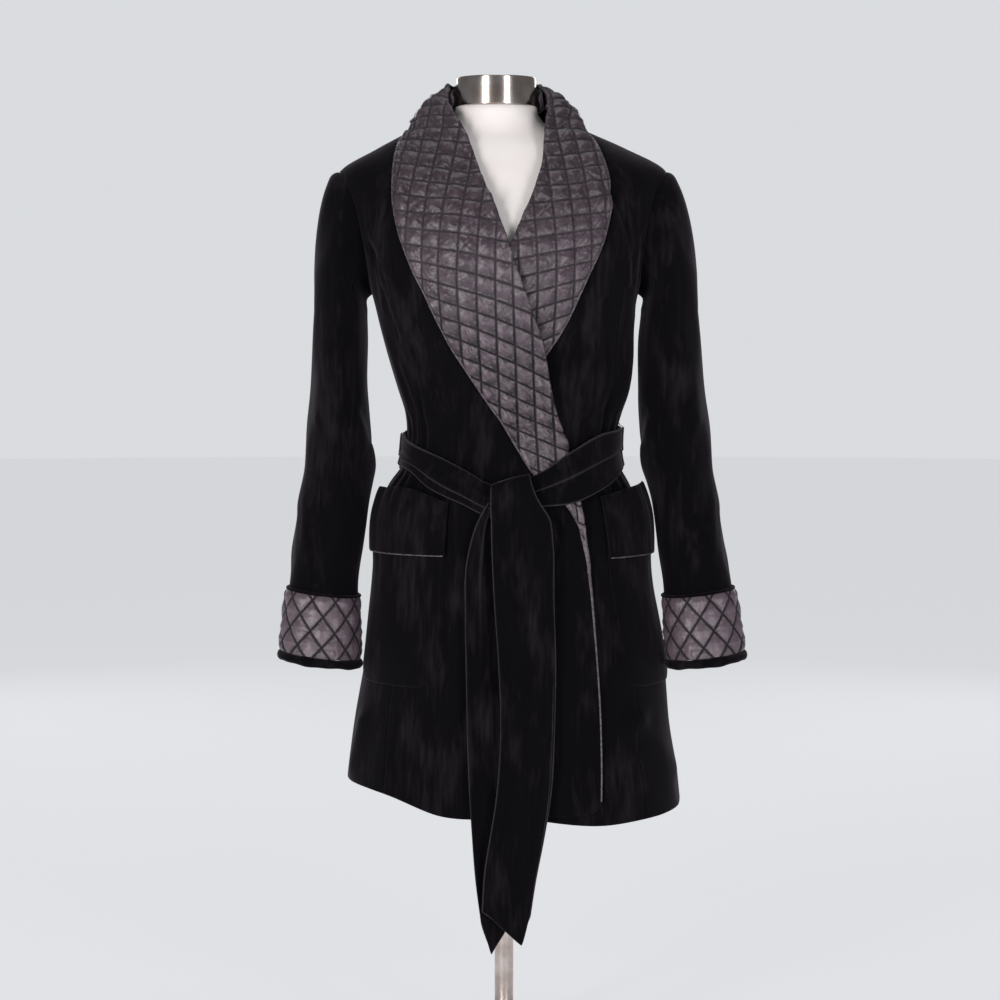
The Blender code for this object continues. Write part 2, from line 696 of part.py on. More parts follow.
def build_front(side, edge, hem_name, height, finish):
    """Front panel from its long seam to its free edge, up to the shoulder and the neck."""
    sign = SIDE_SIGN[side]
    share = np.linspace(0.0, 1.0, FRONT_COLUMNS + 1)[None, :]
    hem_edge = phi_at(table(edge, "z", "x", HEM_LEVEL), HEM_LEVEL)
    hem_phi = seam_phi(HEM_LEVEL, sign) * (1 - share) + hem_edge * share
    z = low_heights(table(HEM, "phi", hem_name, hem_phi))
    free = phi_at(table(edge, "z", "x", z[:, -1]), z[:, -1])
    phi = seam_phi(z[:, :1], sign) * (1 - share) + free[:, None] * share
    left = armhole_rows(sign, 1.0)
    rise = np.linspace(0.0, 1.0, SEAM_ROWS + 1)
    left[: SEAM_ROWS + 1] = np.stack(seam_top(rise, sign), axis=-1)
    edge_z = np.linspace(ARMHOLE_BOTTOM, NECK_SEAM, HIGH_ROWS + 1)
    right = np.stack([phi_at(table(edge, "z", "x", edge_z), edge_z), edge_z], axis=-1)
    right[-1, 0] = sign * SHOULDER_PHI
    bottom = np.stack([phi[-1], z[-1]], axis=-1)
    shoulder_z = ARMHOLE_TOP + (NECK_SEAM - ARMHOLE_TOP) * share[0]
    seam = sign * (SHOULDER_PHI - SHOULDER_SEAM_HALF)
    top = np.stack([np.full_like(shoulder_z, seam), shoulder_z], axis=-1)
    left[-1], right[-1] = top[0], top[-1]
    high = coons(bottom, top, left, right)
    phi = narrowed(np.vstack([phi, high[1:, :, 0]]))
    z = np.vstack([z, high[1:, :, 1]])
    lift = height(phi, z)
    return wall(f"front_{side}", cloth(phi, z, lift + VELVET_WALL), cloth(phi, z, lift), finish)


def build_side_front(side, hem_name, height, finish):
    """Side front panel, from the side seam to the long seam, ending in the armhole."""
    sign = SIDE_SIGN[side]
    share = np.linspace(0.0, 1.0, SIDE_COLUMNS + 1)[None, :]
    hem_phi = sign * SHOULDER_PHI * (1 - share) + seam_phi(HEM_LEVEL, sign) * share
    z = low_heights(table(HEM, "phi", hem_name, hem_phi))
    phi = sign * SHOULDER_PHI * (1 - share) + seam_phi(z[:, -1:], sign) * share
    rise = np.linspace(0.0, 1.0, SEAM_ROWS + 1)[1:]
    rise[-1] = 0.94
    left_phi, left_z = armhole(180.0 - 20.0 * SEAM_ROWS * rise, sign)
    below, meeting = seam_top(rise[-2], sign), seam_top(1.0, sign)
    right_phi, right_z = seam_top(rise, sign)
    left_along = (rise[-1] - rise[-2]) / (1.0 - rise[-2])
    right_phi[-1] = below[0] + (meeting[0] - below[0]) * left_along
    right_z[-1] = below[1] + (meeting[1] - below[1]) * left_along
    high_phi = left_phi[:, None] * (1 - share) + right_phi[:, None] * share
    high_z = left_z[:, None] * (1 - share) + right_z[:, None] * share
    phi = narrowed(np.vstack([phi, high_phi]))
    z = np.vstack([z, high_z])
    lift = height(phi, z)
    outer, inner = cloth(phi, z, lift + VELVET_WALL), cloth(phi, z, lift)
    return wall(f"side_front_{side}", outer, inner, finish)


def build_back(side, finish):
    """Half of the back, from the side seam to the middle seam, up to the shoulder and the neck."""
    sign = SIDE_SIGN[side]
    share = np.linspace(0.0, 1.0, BACK_COLUMNS + 1)[None, :]
    row_phi = sign * (90.0 + 90.0 * share)
    z = low_heights(table(HEM, "phi", "over" if side == "right" else "under", row_phi))
    phi = np.repeat(row_phi, len(LOW_HEIGHTS), axis=0)
    left = armhole_rows(sign, -1.0)
    middle_z = np.linspace(ARMHOLE_BOTTOM, BACK_NECK_SEAM, HIGH_ROWS + 1)
    right = np.stack([np.full_like(middle_z, sign * 180.0), middle_z], axis=-1)
    bottom = np.stack([phi[-1], z[-1]], axis=-1)
    shoulder = BACK_COLUMNS // 2
    over = np.linspace(0.0, 1.0, shoulder + 1)
    round_neck = np.linspace(0.0, 1.0, BACK_COLUMNS - shoulder + 1)[1:]
    seam = SHOULDER_PHI + SHOULDER_SEAM_HALF
    top_phi = np.concatenate([np.full(shoulder + 1, seam), seam + (180.0 - seam) * round_neck])
    top_z = np.concatenate(
        [
            ARMHOLE_TOP + (NECK_SEAM - ARMHOLE_TOP) * over,
            NECK_SEAM + (BACK_NECK_SEAM - NECK_SEAM) * round_neck,
        ]
    )
    top = np.stack([sign * top_phi, top_z], axis=-1)
    left[-1], right[-1] = top[0], top[-1]
    high = coons(bottom, top, left, right)
    phi = narrowed(np.vstack([phi, high[1:, :, 0]]))
    z = np.vstack([z, high[1:, :, 1]])
    outer, inner = cloth(phi, z, VELVET_WALL), cloth(phi, z, 0.0)
    return wall(f"back_{side}", outer, inner, finish)


def neck_ring(angle, half_width, half_depth, z):
    """Points round the neck at the same angles as the body."""
    turn = np.radians(angle)
    x = NECK_X + half_width * np.sin(turn)
    y = NECK_Y - half_depth * np.cos(turn)
    return np.stack([x, y, np.broadcast_to(z, x.shape)], axis=-1)


def collar_rows(edge, outline, sign, base):
    """Roll line and outer edge of half a collar, as matching rows, and how far each is in the air."""
    z_roll = np.linspace(outline[0].z + 0.004, COLLAR_LYING_TOP, COLLAR_STEPS)
    z_outer = np.linspace(outline[0].z, outline[-1].z, COLLAR_STEPS)
    roll_phi = phi_at(table(edge, "z", "x", z_roll), z_roll)
    outer_phi = phi_at(table(outline, "z", "x", z_outer), z_outer)
    roll = cloth(roll_phi, z_roll, base(roll_phi, z_roll))
    outer = cloth(outer_phi, z_outer, base(outer_phi, z_outer))
    angle = sign * np.array(column(NECK_COLLAR, "angle"))
    ring = neck_ring(angle, ROLL_HALF_WIDTH, ROLL_HALF_DEPTH, np.array(column(NECK_COLLAR, "roll_z")))
    fall_z = np.array(column(NECK_COLLAR, "outer_z"))
    fall = cloth(angle, fall_z, COLLAR_FALL_LIFT)
    roll, outer = np.vstack([roll, ring]), np.vstack([outer, fall])
    air = np.concatenate([np.zeros(COLLAR_STEPS), np.ones(len(ring))])
    length = np.concatenate([[0.0], np.cumsum(np.linalg.norm(np.diff(outer + roll, axis=0), axis=1) / 2)])
    rows = int(round(length[-1] / COLLAR_CELL)) + 1
    at = np.linspace(0.0, length[-1], rows)
    roll = np.stack([curve(at, length, roll[:, k]) for k in range(3)], axis=-1)
    outer = np.stack([curve(at, length, outer[:, k]) for k in range(3)], axis=-1)
    return roll, outer, smooth(np.interp(at, length, air))


def build_collar(side, edge, outline, base, finish):
    """Quilted half of the shawl collar: it lies on the front, then rolls over round the neck."""
    sign = SIDE_SIGN[side]
    roll, outer_edge, air = collar_rows(edge, outline, sign, base)
    share = np.linspace(0.0, 1.0, COLLAR_COLUMNS + 1)[None, :, None]
    chord = roll[:, None] * (1 - share) + outer_edge[:, None] * share
    shift = table(BODY, "z", "shift", chord[..., 2])
    phi = np.degrees(np.arctan2(chord[..., 0] - shift, -chord[..., 1]))
    z = np.clip(chord[..., 2], BODY[0].z, BODY[-1].z - 0.005)
    lying = cloth(phi, z, base(phi, z))
    away = (chord - [NECK_X, NECK_Y, 0.0]) * [1.0, 1.0, 0.0]
    belly = np.sin(np.pi * share) * COLLAR_BELLY
    flying = chord + (unit(away) + [0.0, 0.0, 1.0]) * belly
    weight = air[:, None, None]
    inner = lying * (1 - weight) + flying * weight
    direction = grid_normals(inner)
    out = np.sign(np.sum(direction * (inner - [0.0, 0.0, ARMHOLE_BOTTOM]), axis=-1).mean())
    direction = direction * out
    outer = inner + direction * VELVET_WALL
    crowns = crown_points(outer, direction, QUILT_RISE)
    return wall(f"collar_{side}", outer, inner, finish, crowns=crowns)


def over_collar_base(phi, z):
    """Inner face of the collar on the overlapping front."""
    return over_height(phi, z) + VELVET_WALL + LAYER_GAP


def under_collar_base(phi, z):
    """Inner face of the collar on the under front."""
    return no_height(phi, z) + VELVET_WALL + LAYER_GAP


def build_collar_stand(finish):
    """Band that stands up round the neck inside the collar's roll."""
    apart = np.linspace(-STAND_REACH, STAND_REACH, STAND_COLUMNS + 1)[None, :]
    angle = 180.0 + apart
    rows = np.linspace(0.0, 1.0, STAND_ROWS + 1)[:, None]
    foot_z = np.interp(np.abs(apart), column(STAND, "apart"), column(STAND, "foot_z"))
    roll_z = np.interp(np.abs(apart), column(STAND, "apart"), column(STAND, "roll_z"))
    z = foot_z + (roll_z - foot_z) * rows
    half_width = STAND_FOOT_HALF_WIDTH + (STAND_HALF_WIDTH - STAND_FOOT_HALF_WIDTH) * rows
    half_depth = STAND_FOOT_HALF_DEPTH + (STAND_HALF_DEPTH - STAND_FOOT_HALF_DEPTH) * rows
    outer = neck_ring(angle, half_width, half_depth, z)
    inner = neck_ring(angle, half_width - VELVET_WALL, half_depth - VELVET_WALL, z)
    return wall("collar_stand", outer, inner, finish)


def belt_lift(phi):
    """How far the sash's inner face stands off the body, over the fronts and the collar."""
    over = smooth((phi + 78.0) / 52.0) * (1.0 - smooth((phi - 36.0) / 40.0))
    return BELT_SIDE_LIFT + BELT_FRONT_LIFT * over


def build_band(name, start, end, columns, finish, pleat=0.0):
    """One stretch of the sash round the waist, with soft lengthwise pleats."""
    phi = np.linspace(start, end, columns + 1)[None, :]
    turned = (phi + 180.0) % 360.0 - 180.0
    share = np.linspace(0.0, 1.0, BELT_ROWS + 1)[:, None]
    top = table(BELT, "phi", "top", turned)
    bottom = table(BELT, "phi", "bottom", turned)
    z = bottom + (top - bottom) * share
    phi = np.repeat(turned, len(share), axis=0)
    belly = np.sin(np.pi * share) ** 0.6 * BELT_BELLY
    pleats = pleat * np.sin(3.0 * np.pi * share) ** 2 / 2.0
    inner = surface(phi, z) + normal(phi, z) * belt_lift(phi)[..., None]
    outer = inner + normal(phi, z) * (BELT_WALL + belly + pleats)[..., None]
    return wall(name, outer, inner, finish)


def build_knot(finish):
    """The sash's knot, a soft lump between the two bands."""
    rings = []
    for row in KNOT:
        angle = np.linspace(0.0, 2.0 * math.pi, KNOT_SIDES, endpoint=False)
        cx, cy = (row.left + row.right) / 2.0, (row.back + row.front) / 2.0
        half_x, half_y = (row.right - row.left) / 2.0, (row.back - row.front) / 2.0
        cos, sin = np.cos(angle), np.sin(angle)
        x = cx + half_x * np.sign(cos) * np.abs(cos) ** KNOT_SQUARE
        y = cy + half_y * np.sign(sin) * np.abs(sin) ** KNOT_SQUARE
        rings.append(np.stack([x, y, np.full(KNOT_SIDES, row.z)], axis=-1))
    return stacked_rings("belt_knot", rings, finish)


def build_tail(name, rows_table, end, finish, waves):
    """One hanging end of the sash, with lengthwise folds and a pointed end."""
    share = np.linspace(0.0, 1.0, TAIL_COLUMNS + 1)[None, :]
    end_z = np.interp(share, column(end, "s"), column(end, "z"))
    top_z = rows_table[0].z
    fall = np.linspace(0.0, 1.0, TAIL_ROWS + 1)[:, None]
    z = top_z + (end_z - top_z) * fall
    falling = list(reversed(rows_table))
    left = table(falling, "z", "left", z)
    right = table(falling, "z", "right", z)
    y = table(falling, "z", "y", z)
    wave = table(falling, "z", "wave", z)
    x = left + (right - left) * share
    ripple = -np.cos(share * 2.0 * np.pi * waves) * wave / 2.0
    middle = np.stack([x, y + ripple, z], axis=-1)
    direction = grid_normals(middle)
    direction = direction * -np.sign(direction[..., 1:2])
    half = direction * BELT_WALL / 2.0
    return wall(name, middle + half, middle - half, finish)


def pocket_base(side, phi, z):
    """Outer face of the panels below a pocket."""
    height = over_height(phi, z) if side == "right" else no_height(phi, z)
    return height + VELVET_WALL


def build_pocket(pocket, finish):
    """Patch pocket and its turned down cuff, both made from the panel's own face."""
    share = np.linspace(0.0, 1.0, POCKET_COLUMNS + 1)[None, :]
    rise = np.linspace(0.0, 1.0, POCKET_ROWS + 1)[:, None]
    phi = pocket.inner + (pocket.outer - pocket.inner) * share
    bottom = pocket.bottom + POCKET_CORNER * np.abs(2.0 * share - 1.0) ** 7
    z = bottom + (pocket.patch_top - bottom) * rise
    phi = np.repeat(phi, len(rise), axis=0)

    def stand_off(phi, z):
        s = (phi - pocket.inner) / (pocket.outer - pocket.inner)
        up = np.clip((z - pocket.bottom) / (pocket.patch_top - pocket.bottom), 0.0, 1.1)
        belly = POCKET_BULGE * np.sin(np.pi * np.clip(s, 0.0, 1.0)) * up
        flare = pocket.flare * np.clip(s, 0.0, 1.0) ** 2 * smooth((up - 0.45) / 0.65) * 0.55
        return pocket_base(pocket.side, phi, z) + LAYER_GAP + belly + flare

    lift = stand_off(phi, z)
    outer, inner = cloth(phi, z, lift + VELVET_WALL), cloth(phi, z, lift)
    wall(f"pocket_{pocket.side}", outer, inner, finish)

    share = np.linspace(-POCKET_CUFF_OVERHANG, 1.0 + POCKET_CUFF_OVERHANG, POCKET_COLUMNS + 1)[None, :]
    rise = np.linspace(0.0, 1.0, POCKET_CUFF_ROWS + 1)[:, None]
    phi = pocket.inner + (pocket.outer - pocket.inner) * share
    tops = POCKET_CUFF_TOP[pocket.side]
    top = curve(np.clip(share, 0.0, 1.0), column(tops, "s"), column(tops, "z"))
    z = pocket.cuff_bottom + (top - pocket.cuff_bottom) * rise
    phi = np.repeat(phi, len(rise), axis=0)
    open_out = POCKET_CUFF_GAPE * (1.0 - rise)
    lift = stand_off(phi, z) + VELVET_WALL + 2.0 * SEAM_GAP + open_out
    outer, inner = cloth(phi, z, lift + VELVET_WALL), cloth(phi, z, lift)
    wall(f"pocket_cuff_{pocket.side}", outer, inner, finish)


def sleeve_grid(side):
    """Outer points of a whole sleeve: rings from the armhole down, each starting at its top."""
    sign = SIDE_SIGN[side]
    rings = list(reversed(SLEEVES[side]))
    turn = np.linspace(0.0, 2.0 * math.pi, SLEEVE_COLUMNS, endpoint=False)

    def ring(z):
        outer = table(rings, "z", "outer", z)
        inner = table(rings, "z", "inner", z)
        middle, half = (outer + inner) / 2.0, (outer - inner) / 2.0
        depth = table(rings, "z", "half_depth", z)
        y = table(rings, "z", "y", z)
        tilt = math.tan(math.radians(SLEEVE_TILT)) * smooth((TILT_START - z) / (TILT_START - TILT_END))
        x = middle + half * np.cos(turn)
        rise = (x - middle) * tilt
        free = np.stack([sign * x, y - depth * np.sin(turn), z + rise], axis=-1)
        held = cuff_ring(side, z, -CUFF_WALL - LAYER_GAP, SLEEVE_COLUMNS)
        weight = float(smooth((SLEEVE_EASE_TOP - z) / (SLEEVE_EASE_TOP - CUFF_TOP)))
        return free * (1.0 - weight) + held * weight

    phi, z = armhole(np.degrees(turn), sign)
    hole = surface(phi, z) + normal(phi, z) * VELVET_WALL
    middle = hole.mean(axis=0)
    hole = hole + unit(middle - hole) * ARMHOLE_CLEAR
    first = ring(SLEEVES[side][0].z)
    up = (1.0 + np.cos(turn))[:, None] / 2.0
    leave = np.concatenate(
        [
            sign * (HEAD_OUT + HEAD_OUT_TOP * up),
            -HEAD_FORWARD * np.sin(turn)[:, None],
            HEAD_RISE * up - HEAD_DROP * (1.0 - up),
        ],
        axis=1,
    )
    reach = np.linalg.norm(first - hole, axis=1, keepdims=True)
    arrive = np.array([0.0, 0.0, -0.9]) * reach
    grid = []
    for step in range(CAP_RINGS):
        t = step / CAP_RINGS
        start = (2 * t**3 - 3 * t**2 + 1) * hole + (t**3 - 2 * t**2 + t) * leave
        end = (-2 * t**3 + 3 * t**2) * first + (t**3 - t**2) * arrive
        grid.append(start + end)
    for z in np.linspace(SLEEVES[side][0].z, CUFF_BOTTOM + SLEEVE_IN_CUFF, SLEEVE_RINGS + 1):
        grid.append(ring(z))
    return np.array(grid)


def sleeve_creases(grid):
    """Soft creases at the elbow and down the arm, as a distance along the normal."""
    turn = np.linspace(0.0, 2.0 * math.pi, grid.shape[1], endpoint=False)[None, :]
    z = grid[..., 2]
    elbow = np.exp(-(((z - 0.680) / 0.060) ** 2))
    long_fold = np.exp(-(((z - 0.600) / 0.090) ** 2))
    free = smooth((z - 0.550) / 0.040)
    ripple = 0.0016 * np.cos(3.0 * turn + z * 60.0) * elbow
    return (ripple + 0.0018 * np.cos(2.0 * turn + 1.2) * long_fold) * free


def build_sleeve(side, finish):
    """Two piece sleeve: the top sleeve and the narrower under sleeve."""
    grid = sleeve_grid(side)
    direction = grid_normals(grid, ring=True)
    centre = grid.mean(axis=1, keepdims=True)
    facing = np.sign(np.sum(direction * (grid - centre), axis=-1).mean())
    direction = direction * facing
    grid = grid + direction * sleeve_creases(grid)[..., None]
    inner = grid - direction * VELVET_WALL
    first, last = UNDER_SLEEVE_FROM, SLEEVE_COLUMNS - UNDER_SLEEVE_FROM
    top_columns = list(range(last, SLEEVE_COLUMNS)) + list(range(0, first + 1))
    under_columns = list(range(first, last + 1))
    for name, columns in (("top_sleeve", top_columns), ("under_sleeve", under_columns)):
        pair = []
        for layer in (grid, inner):
            piece = layer[:, columns].copy()
            piece[:, 0] += unit(piece[:, 1] - piece[:, 0]) * SEAM_GAP / 2.0
            piece[:, -1] += unit(piece[:, -2] - piece[:, -1]) * SEAM_GAP / 2.0
            pair.append(piece)
        wall(f"{name}_{side}", pair[0], pair[1], finish)


def cuff_ring(side, z, outset, count):
    """One ring of a cuff, tilted with the sleeve."""
    cuff = CUFFS[side]
    sign = SIDE_SIGN[side]
    t = (CUFF_TOP - z) / (CUFF_TOP - CUFF_BOTTOM)
    x = cuff.top_x + (cuff.bottom_x - cuff.top_x) * t
    y = cuff.top_y + (cuff.bottom_y - cuff.top_y) * t
    half = cuff.top_half + (cuff.bottom_half - cuff.top_half) * t + outset
    turn = np.linspace(0.0, 2.0 * math.pi, count, endpoint=False)
    across = half * np.cos(turn)
    rise = across * math.tan(math.radians(SLEEVE_TILT))
    return np.stack(
        [x + sign * across, y - half * CUFF_DEPTH_RATIO * np.sin(turn), z + rise], axis=-1
    )


def build_cuff(side, satin, velvet):
    """Quilted turned back cuff, with a velvet roll round its lower edge."""
    levels = np.linspace(CUFF_BOTTOM, CUFF_TOP, CUFF_CELLS_UP + 1)
    outer = np.array([cuff_ring(side, z, 0.0, CUFF_CELLS_ROUND) for z in levels])
    inner = np.array([cuff_ring(side, z, -CUFF_WALL, CUFF_CELLS_ROUND) for z in levels])
    direction = unit(outer - inner)
    crowns = crown_points(outer, direction, QUILT_RISE, ring=True)
    wall(f"cuff_{side}", outer, inner, satin, ring=True, crowns=crowns)
    middle = (CUFF_BOTTOM + CUFF_ROLL_BOTTOM) / 2.0 - SEAM_GAP / 2.0
    radius = (CUFF_BOTTOM - CUFF_ROLL_BOTTOM) / 2.0 - SEAM_GAP
    rings = []
    for k in range(CUFF_ROLL_SIDES):
        turn = 2.0 * math.pi * (k + 0.5) / CUFF_ROLL_SIDES
        outset = radius * math.cos(turn) - CUFF_ROLL_INSET
        rings.append(cuff_ring(side, middle + radius * math.sin(turn), outset, CUFF_ROLL_COUNT))
    points = np.vstack(rings)
    faces = sheet_faces(CUFF_ROLL_SIDES, CUFF_ROLL_COUNT, True)
    last = (CUFF_ROLL_SIDES - 1) * CUFF_ROLL_COUNT
    for j in range(CUFF_ROLL_COUNT):
        k = (j + 1) % CUFF_ROLL_COUNT
        faces.append((last + j, last + k, k, j))
    solid(f"cuff_roll_{side}", points, faces, velvet)


def build_belt_loop(side, finish):
    """Thin cloth loop over the sash at the side seam."""
    phi_middle = SIDE_SIGN[side] * LOOP_PHI
    top = table(BELT, "phi", "top", phi_middle) + LOOP_OVERHANG
    bottom = table(BELT, "phi", "bottom", phi_middle) - LOOP_OVERHANG
    t = np.linspace(0.0, 1.0, LOOP_STEPS + 1)[:, None]
    z = bottom + (top - bottom) * t
    across = phi_middle + np.array([[-LOOP_HALF_PHI, 0.0, LOOP_HALF_PHI]])
    phi = np.repeat(across, len(t), axis=0)
    over_belt = BELT_SIDE_LIFT + BELT_WALL + BELT_BELLY + LAYER_GAP
    foot = VELVET_WALL + 3.0 * SEAM_GAP
    step = smooth(t / LOOP_FOOT) * smooth((1.0 - t) / LOOP_FOOT)
    lift = np.repeat(foot + (over_belt - foot) * step, 3, axis=1)
    z = np.repeat(z, 3, axis=1)
    out = normal(phi, z)
    inner = surface(phi, z) + out * lift[..., None]
    outer = inner + out * LOOP_WALL
    wall(f"belt_loop_{side}", outer, inner, finish)


def form_ring(phi, z):
    """One level ring of the torso: the jacket's inner face drawn in, turning into the round neck."""
    level = np.full(len(phi), z)
    inset = np.interp(z, column(FORM_INSET, "z"), column(FORM_INSET, "inset"))
    front_shoulder = smooth((92.0 - np.abs(phi)) / 12.0) * smooth((z - 0.97) / 0.03)
    rounding = FORM_EDGE * math.exp(-(z - FORM_BOTTOM) / FORM_EDGE_HEIGHT)
    direction = normal(phi, level) * [1.0, 1.0, float(smooth((z - 0.90) / 0.08))]
    body = surface(phi, level) - unit(direction) * (inset * (1.0 + front_shoulder) + rounding)[:, None]
    neck = neck_ring(phi, FORM_NECK_RADIUS, FORM_NECK_RADIUS, z)
    weight = float(smooth((z - FORM_NECK_START) / (FORM_NECK_TOP - FORM_NECK_START)))
    return body * (1 - weight) + neck * weight


def build_form(jersey, steel):
    """Smooth limbless torso with a neck, its metal neck cap, the pole and the round base."""
    turn = np.linspace(-math.pi, math.pi, FORM_SIDES, endpoint=False)
    phi = np.degrees(np.arctan2(FORM_ROUND * np.sin(turn), np.cos(turn)))
    stacked_rings("form_torso", [form_ring(phi, z) for z in FORM_LEVELS], jersey)

    cap = []
    for z, radius in (
        (FORM_NECK_TOP + SEAM_GAP, CAP_RADIUS),
        (CAP_TOP - CAP_EDGE, CAP_RADIUS),
        (CAP_TOP, CAP_RADIUS - CAP_EDGE),
    ):
        cap.append(neck_ring(phi, radius, radius, z))
    stacked_rings("form_neck_cap", cap, steel)

    pole_top = FORM_BOTTOM - SEAM_GAP
    pole_bottom = BASE_THICKNESS + SEAM_GAP
    bpy.ops.mesh.primitive_cylinder_add(
        vertices=POLE_SIDES,
        radius=POLE_RADIUS,
        depth=pole_top - pole_bottom,
        location=(0.0, 0.0, (pole_top + pole_bottom) / 2.0),
    )
    pole = bpy.context.object
    pole.name = "form_pole"
    pole.data.materials.append(steel)
    bpy.ops.mesh.primitive_cylinder_add(
        vertices=BASE_SIDES,
        radius=BASE_RADIUS,
        depth=BASE_THICKNESS,
        location=(0.0, 0.0, BASE_THICKNESS / 2.0),
    )
    base = bpy.context.object
    base.name = "form_base"
    base.data.materials.append(steel)
    bevel = base.modifiers.new("edge", "BEVEL")
    bevel.width = BASE_EDGE
    bevel.segments = 1
    bevel.limit_method = "ANGLE"
    for turned in (pole, base):
        turned.data.shade_smooth()
        turned.data.set_sharp_from_angle(angle=math.radians(40.0))


def main():
    """Build every piece of the jacket and of the form that wears it."""
    for thing in list(bpy.data.objects):
        bpy.data.objects.remove(thing, do_unlink=True)
    velvet = material("black_velvet", VELVET, 0.9)
    satin = material("quilted_satin", SATIN, 0.4)
    jersey = material("white_jersey", JERSEY, 0.8)
    steel = material("brushed_steel", STEEL, 0.3, 1.0)

    build_form(jersey, steel)
    build_front("right", OVER_EDGE, "over", over_height, velvet)
    build_front("left", UNDER_EDGE, "under", no_height, velvet)
    build_side_front("right", "over", over_height, velvet)
    build_side_front("left", "under", no_height, velvet)
    for side in ("right", "left"):
        build_back(side, velvet)
        build_sleeve(side, velvet)
        build_cuff(side, satin, velvet)
        build_belt_loop(side, velvet)
    build_collar("right", OVER_EDGE, OVER_COLLAR, over_collar_base, satin)
    build_collar("left", UNDER_EDGE, UNDER_COLLAR, under_collar_base, satin)
    build_collar_stand(satin)
    build_band("belt_right", -BELT_SIDE_PHI, KNOT_LEFT_PHI, BELT_FRONT_COLUMNS, velvet)
    build_band("belt_left", BELT_SIDE_PHI, KNOT_RIGHT_PHI, BELT_FRONT_COLUMNS, velvet, pleat=BELT_PLEAT)
    build_band("belt_back", BELT_BACK_PHI, 360.0 - BELT_BACK_PHI, BELT_BACK_COLUMNS, velvet)
    build_knot(velvet)
    build_tail("belt_tail_front", FRONT_TAIL, FRONT_TAIL_END, velvet, 1.5)
    build_tail("belt_tail_back", BACK_TAIL, BACK_TAIL_END, velvet, 1.0)
    for pocket in POCKETS:
        build_pocket(pocket, velvet)


main()
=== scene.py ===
"""Looks of a velvet smoking jacket on a limbless dress form.

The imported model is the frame. Every cloth piece is laid again, finer, on the same forms that its solid
was worked out from, and gets its folds, quilting, edge cords, stitches and finish here. Sizes are in
metres, +Z is up, the jacket's front faces -Y and the wearer's right side is -X.
"""

from __future__ import annotations

import logging
import math
from dataclasses import dataclass, field
from enum import Enum
from typing import Any, Callable, NamedTuple, Sequence

import bpy
import numpy as np
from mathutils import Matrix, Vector

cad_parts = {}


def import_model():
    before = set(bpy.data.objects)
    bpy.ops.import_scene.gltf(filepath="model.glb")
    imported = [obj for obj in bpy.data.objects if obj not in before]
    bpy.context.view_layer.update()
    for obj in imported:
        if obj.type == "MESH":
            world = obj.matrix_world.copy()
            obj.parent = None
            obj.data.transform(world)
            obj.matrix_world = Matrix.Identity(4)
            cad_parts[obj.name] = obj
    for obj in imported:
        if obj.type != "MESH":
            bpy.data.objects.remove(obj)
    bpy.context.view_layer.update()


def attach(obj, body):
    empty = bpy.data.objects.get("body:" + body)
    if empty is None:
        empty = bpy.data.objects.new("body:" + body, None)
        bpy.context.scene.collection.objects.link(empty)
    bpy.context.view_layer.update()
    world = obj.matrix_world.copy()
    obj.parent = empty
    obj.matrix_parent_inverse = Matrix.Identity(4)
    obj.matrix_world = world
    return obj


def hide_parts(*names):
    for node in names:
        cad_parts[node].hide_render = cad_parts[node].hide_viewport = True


LOG = logging.getLogger("smoking_jacket")
Array = np.ndarray
HeightField = Callable[[Array, Array], Array]
Point = tuple[float, float, float]
Colour = tuple[float, float, float, float]
BODY = "root"


class Side(Enum):
    """The wearer's two sides, with the sign of X on each."""

    RIGHT = -1.0
    LEFT = 1.0

    @property
    def word(self) -> str:
        """The side's name in the CAD nodes."""
        return self.name.lower()


class Fold(NamedTuple):
    """A soft ridge or trough along a line on the body: half width, and height out of the cloth."""

    phi0: float
    z0: float
    phi1: float
    z1: float
    width: float
    height: float


class Gather(NamedTuple):
    """A trough that starts at the sash: its length above and below, half width and depth."""

    phi: float
    above: float
    below: float
    width: float
    depth: float


def smooth(t: Array | float) -> Array:
    """Ease from 0 to 1 as t goes from 0 to 1."""
    t = np.clip(t, 0.0, 1.0)
    return t * t * (3.0 - 2.0 * t)


def curve(x: Array | float, xs: Sequence[float], ys: Sequence[float]) -> Array:
    """Smooth curve through points.

    Args:
        x: where to read it.
        xs: the points' places, rising.
        ys: the points' values.

    Returns:
        The values at x, held at the ends.
    """
    x, xs, ys = np.asarray(x, float), np.asarray(xs, float), np.asarray(ys, float)
    x = np.clip(x, xs[0], xs[-1])
    slope = np.gradient(ys, xs)
    i = np.clip(np.searchsorted(xs, x) - 1, 0, len(xs) - 2)
    span = xs[i + 1] - xs[i]
    t = (x - xs[i]) / span
    start = (2 * t**3 - 3 * t**2 + 1) * ys[i] + (t**3 - 2 * t**2 + t) * span * slope[i]
    end = (-2 * t**3 + 3 * t**2) * ys[i + 1] + (t**3 - t**2) * span * slope[i + 1]
    return start + end


class Table:
    """Sizes given in rows, under named columns, read smoothly by the first column."""

    def __init__(self, names: str, rows: Sequence[Sequence[float]]) -> None:
        """Keeps the rows as columns under their names."""
        self.columns = dict(zip(names.split(), np.array(rows, float).T))
        self.key = self.columns[names.split()[0]]

    def __getitem__(self, name: str) -> Array:
        """A column as it stands."""
        return self.columns[name]

    def __call__(self, name: str, at: Array | float) -> Array:
        """A column, read smoothly at values of the first one."""
        return curve(at, self.key, self.columns[name])


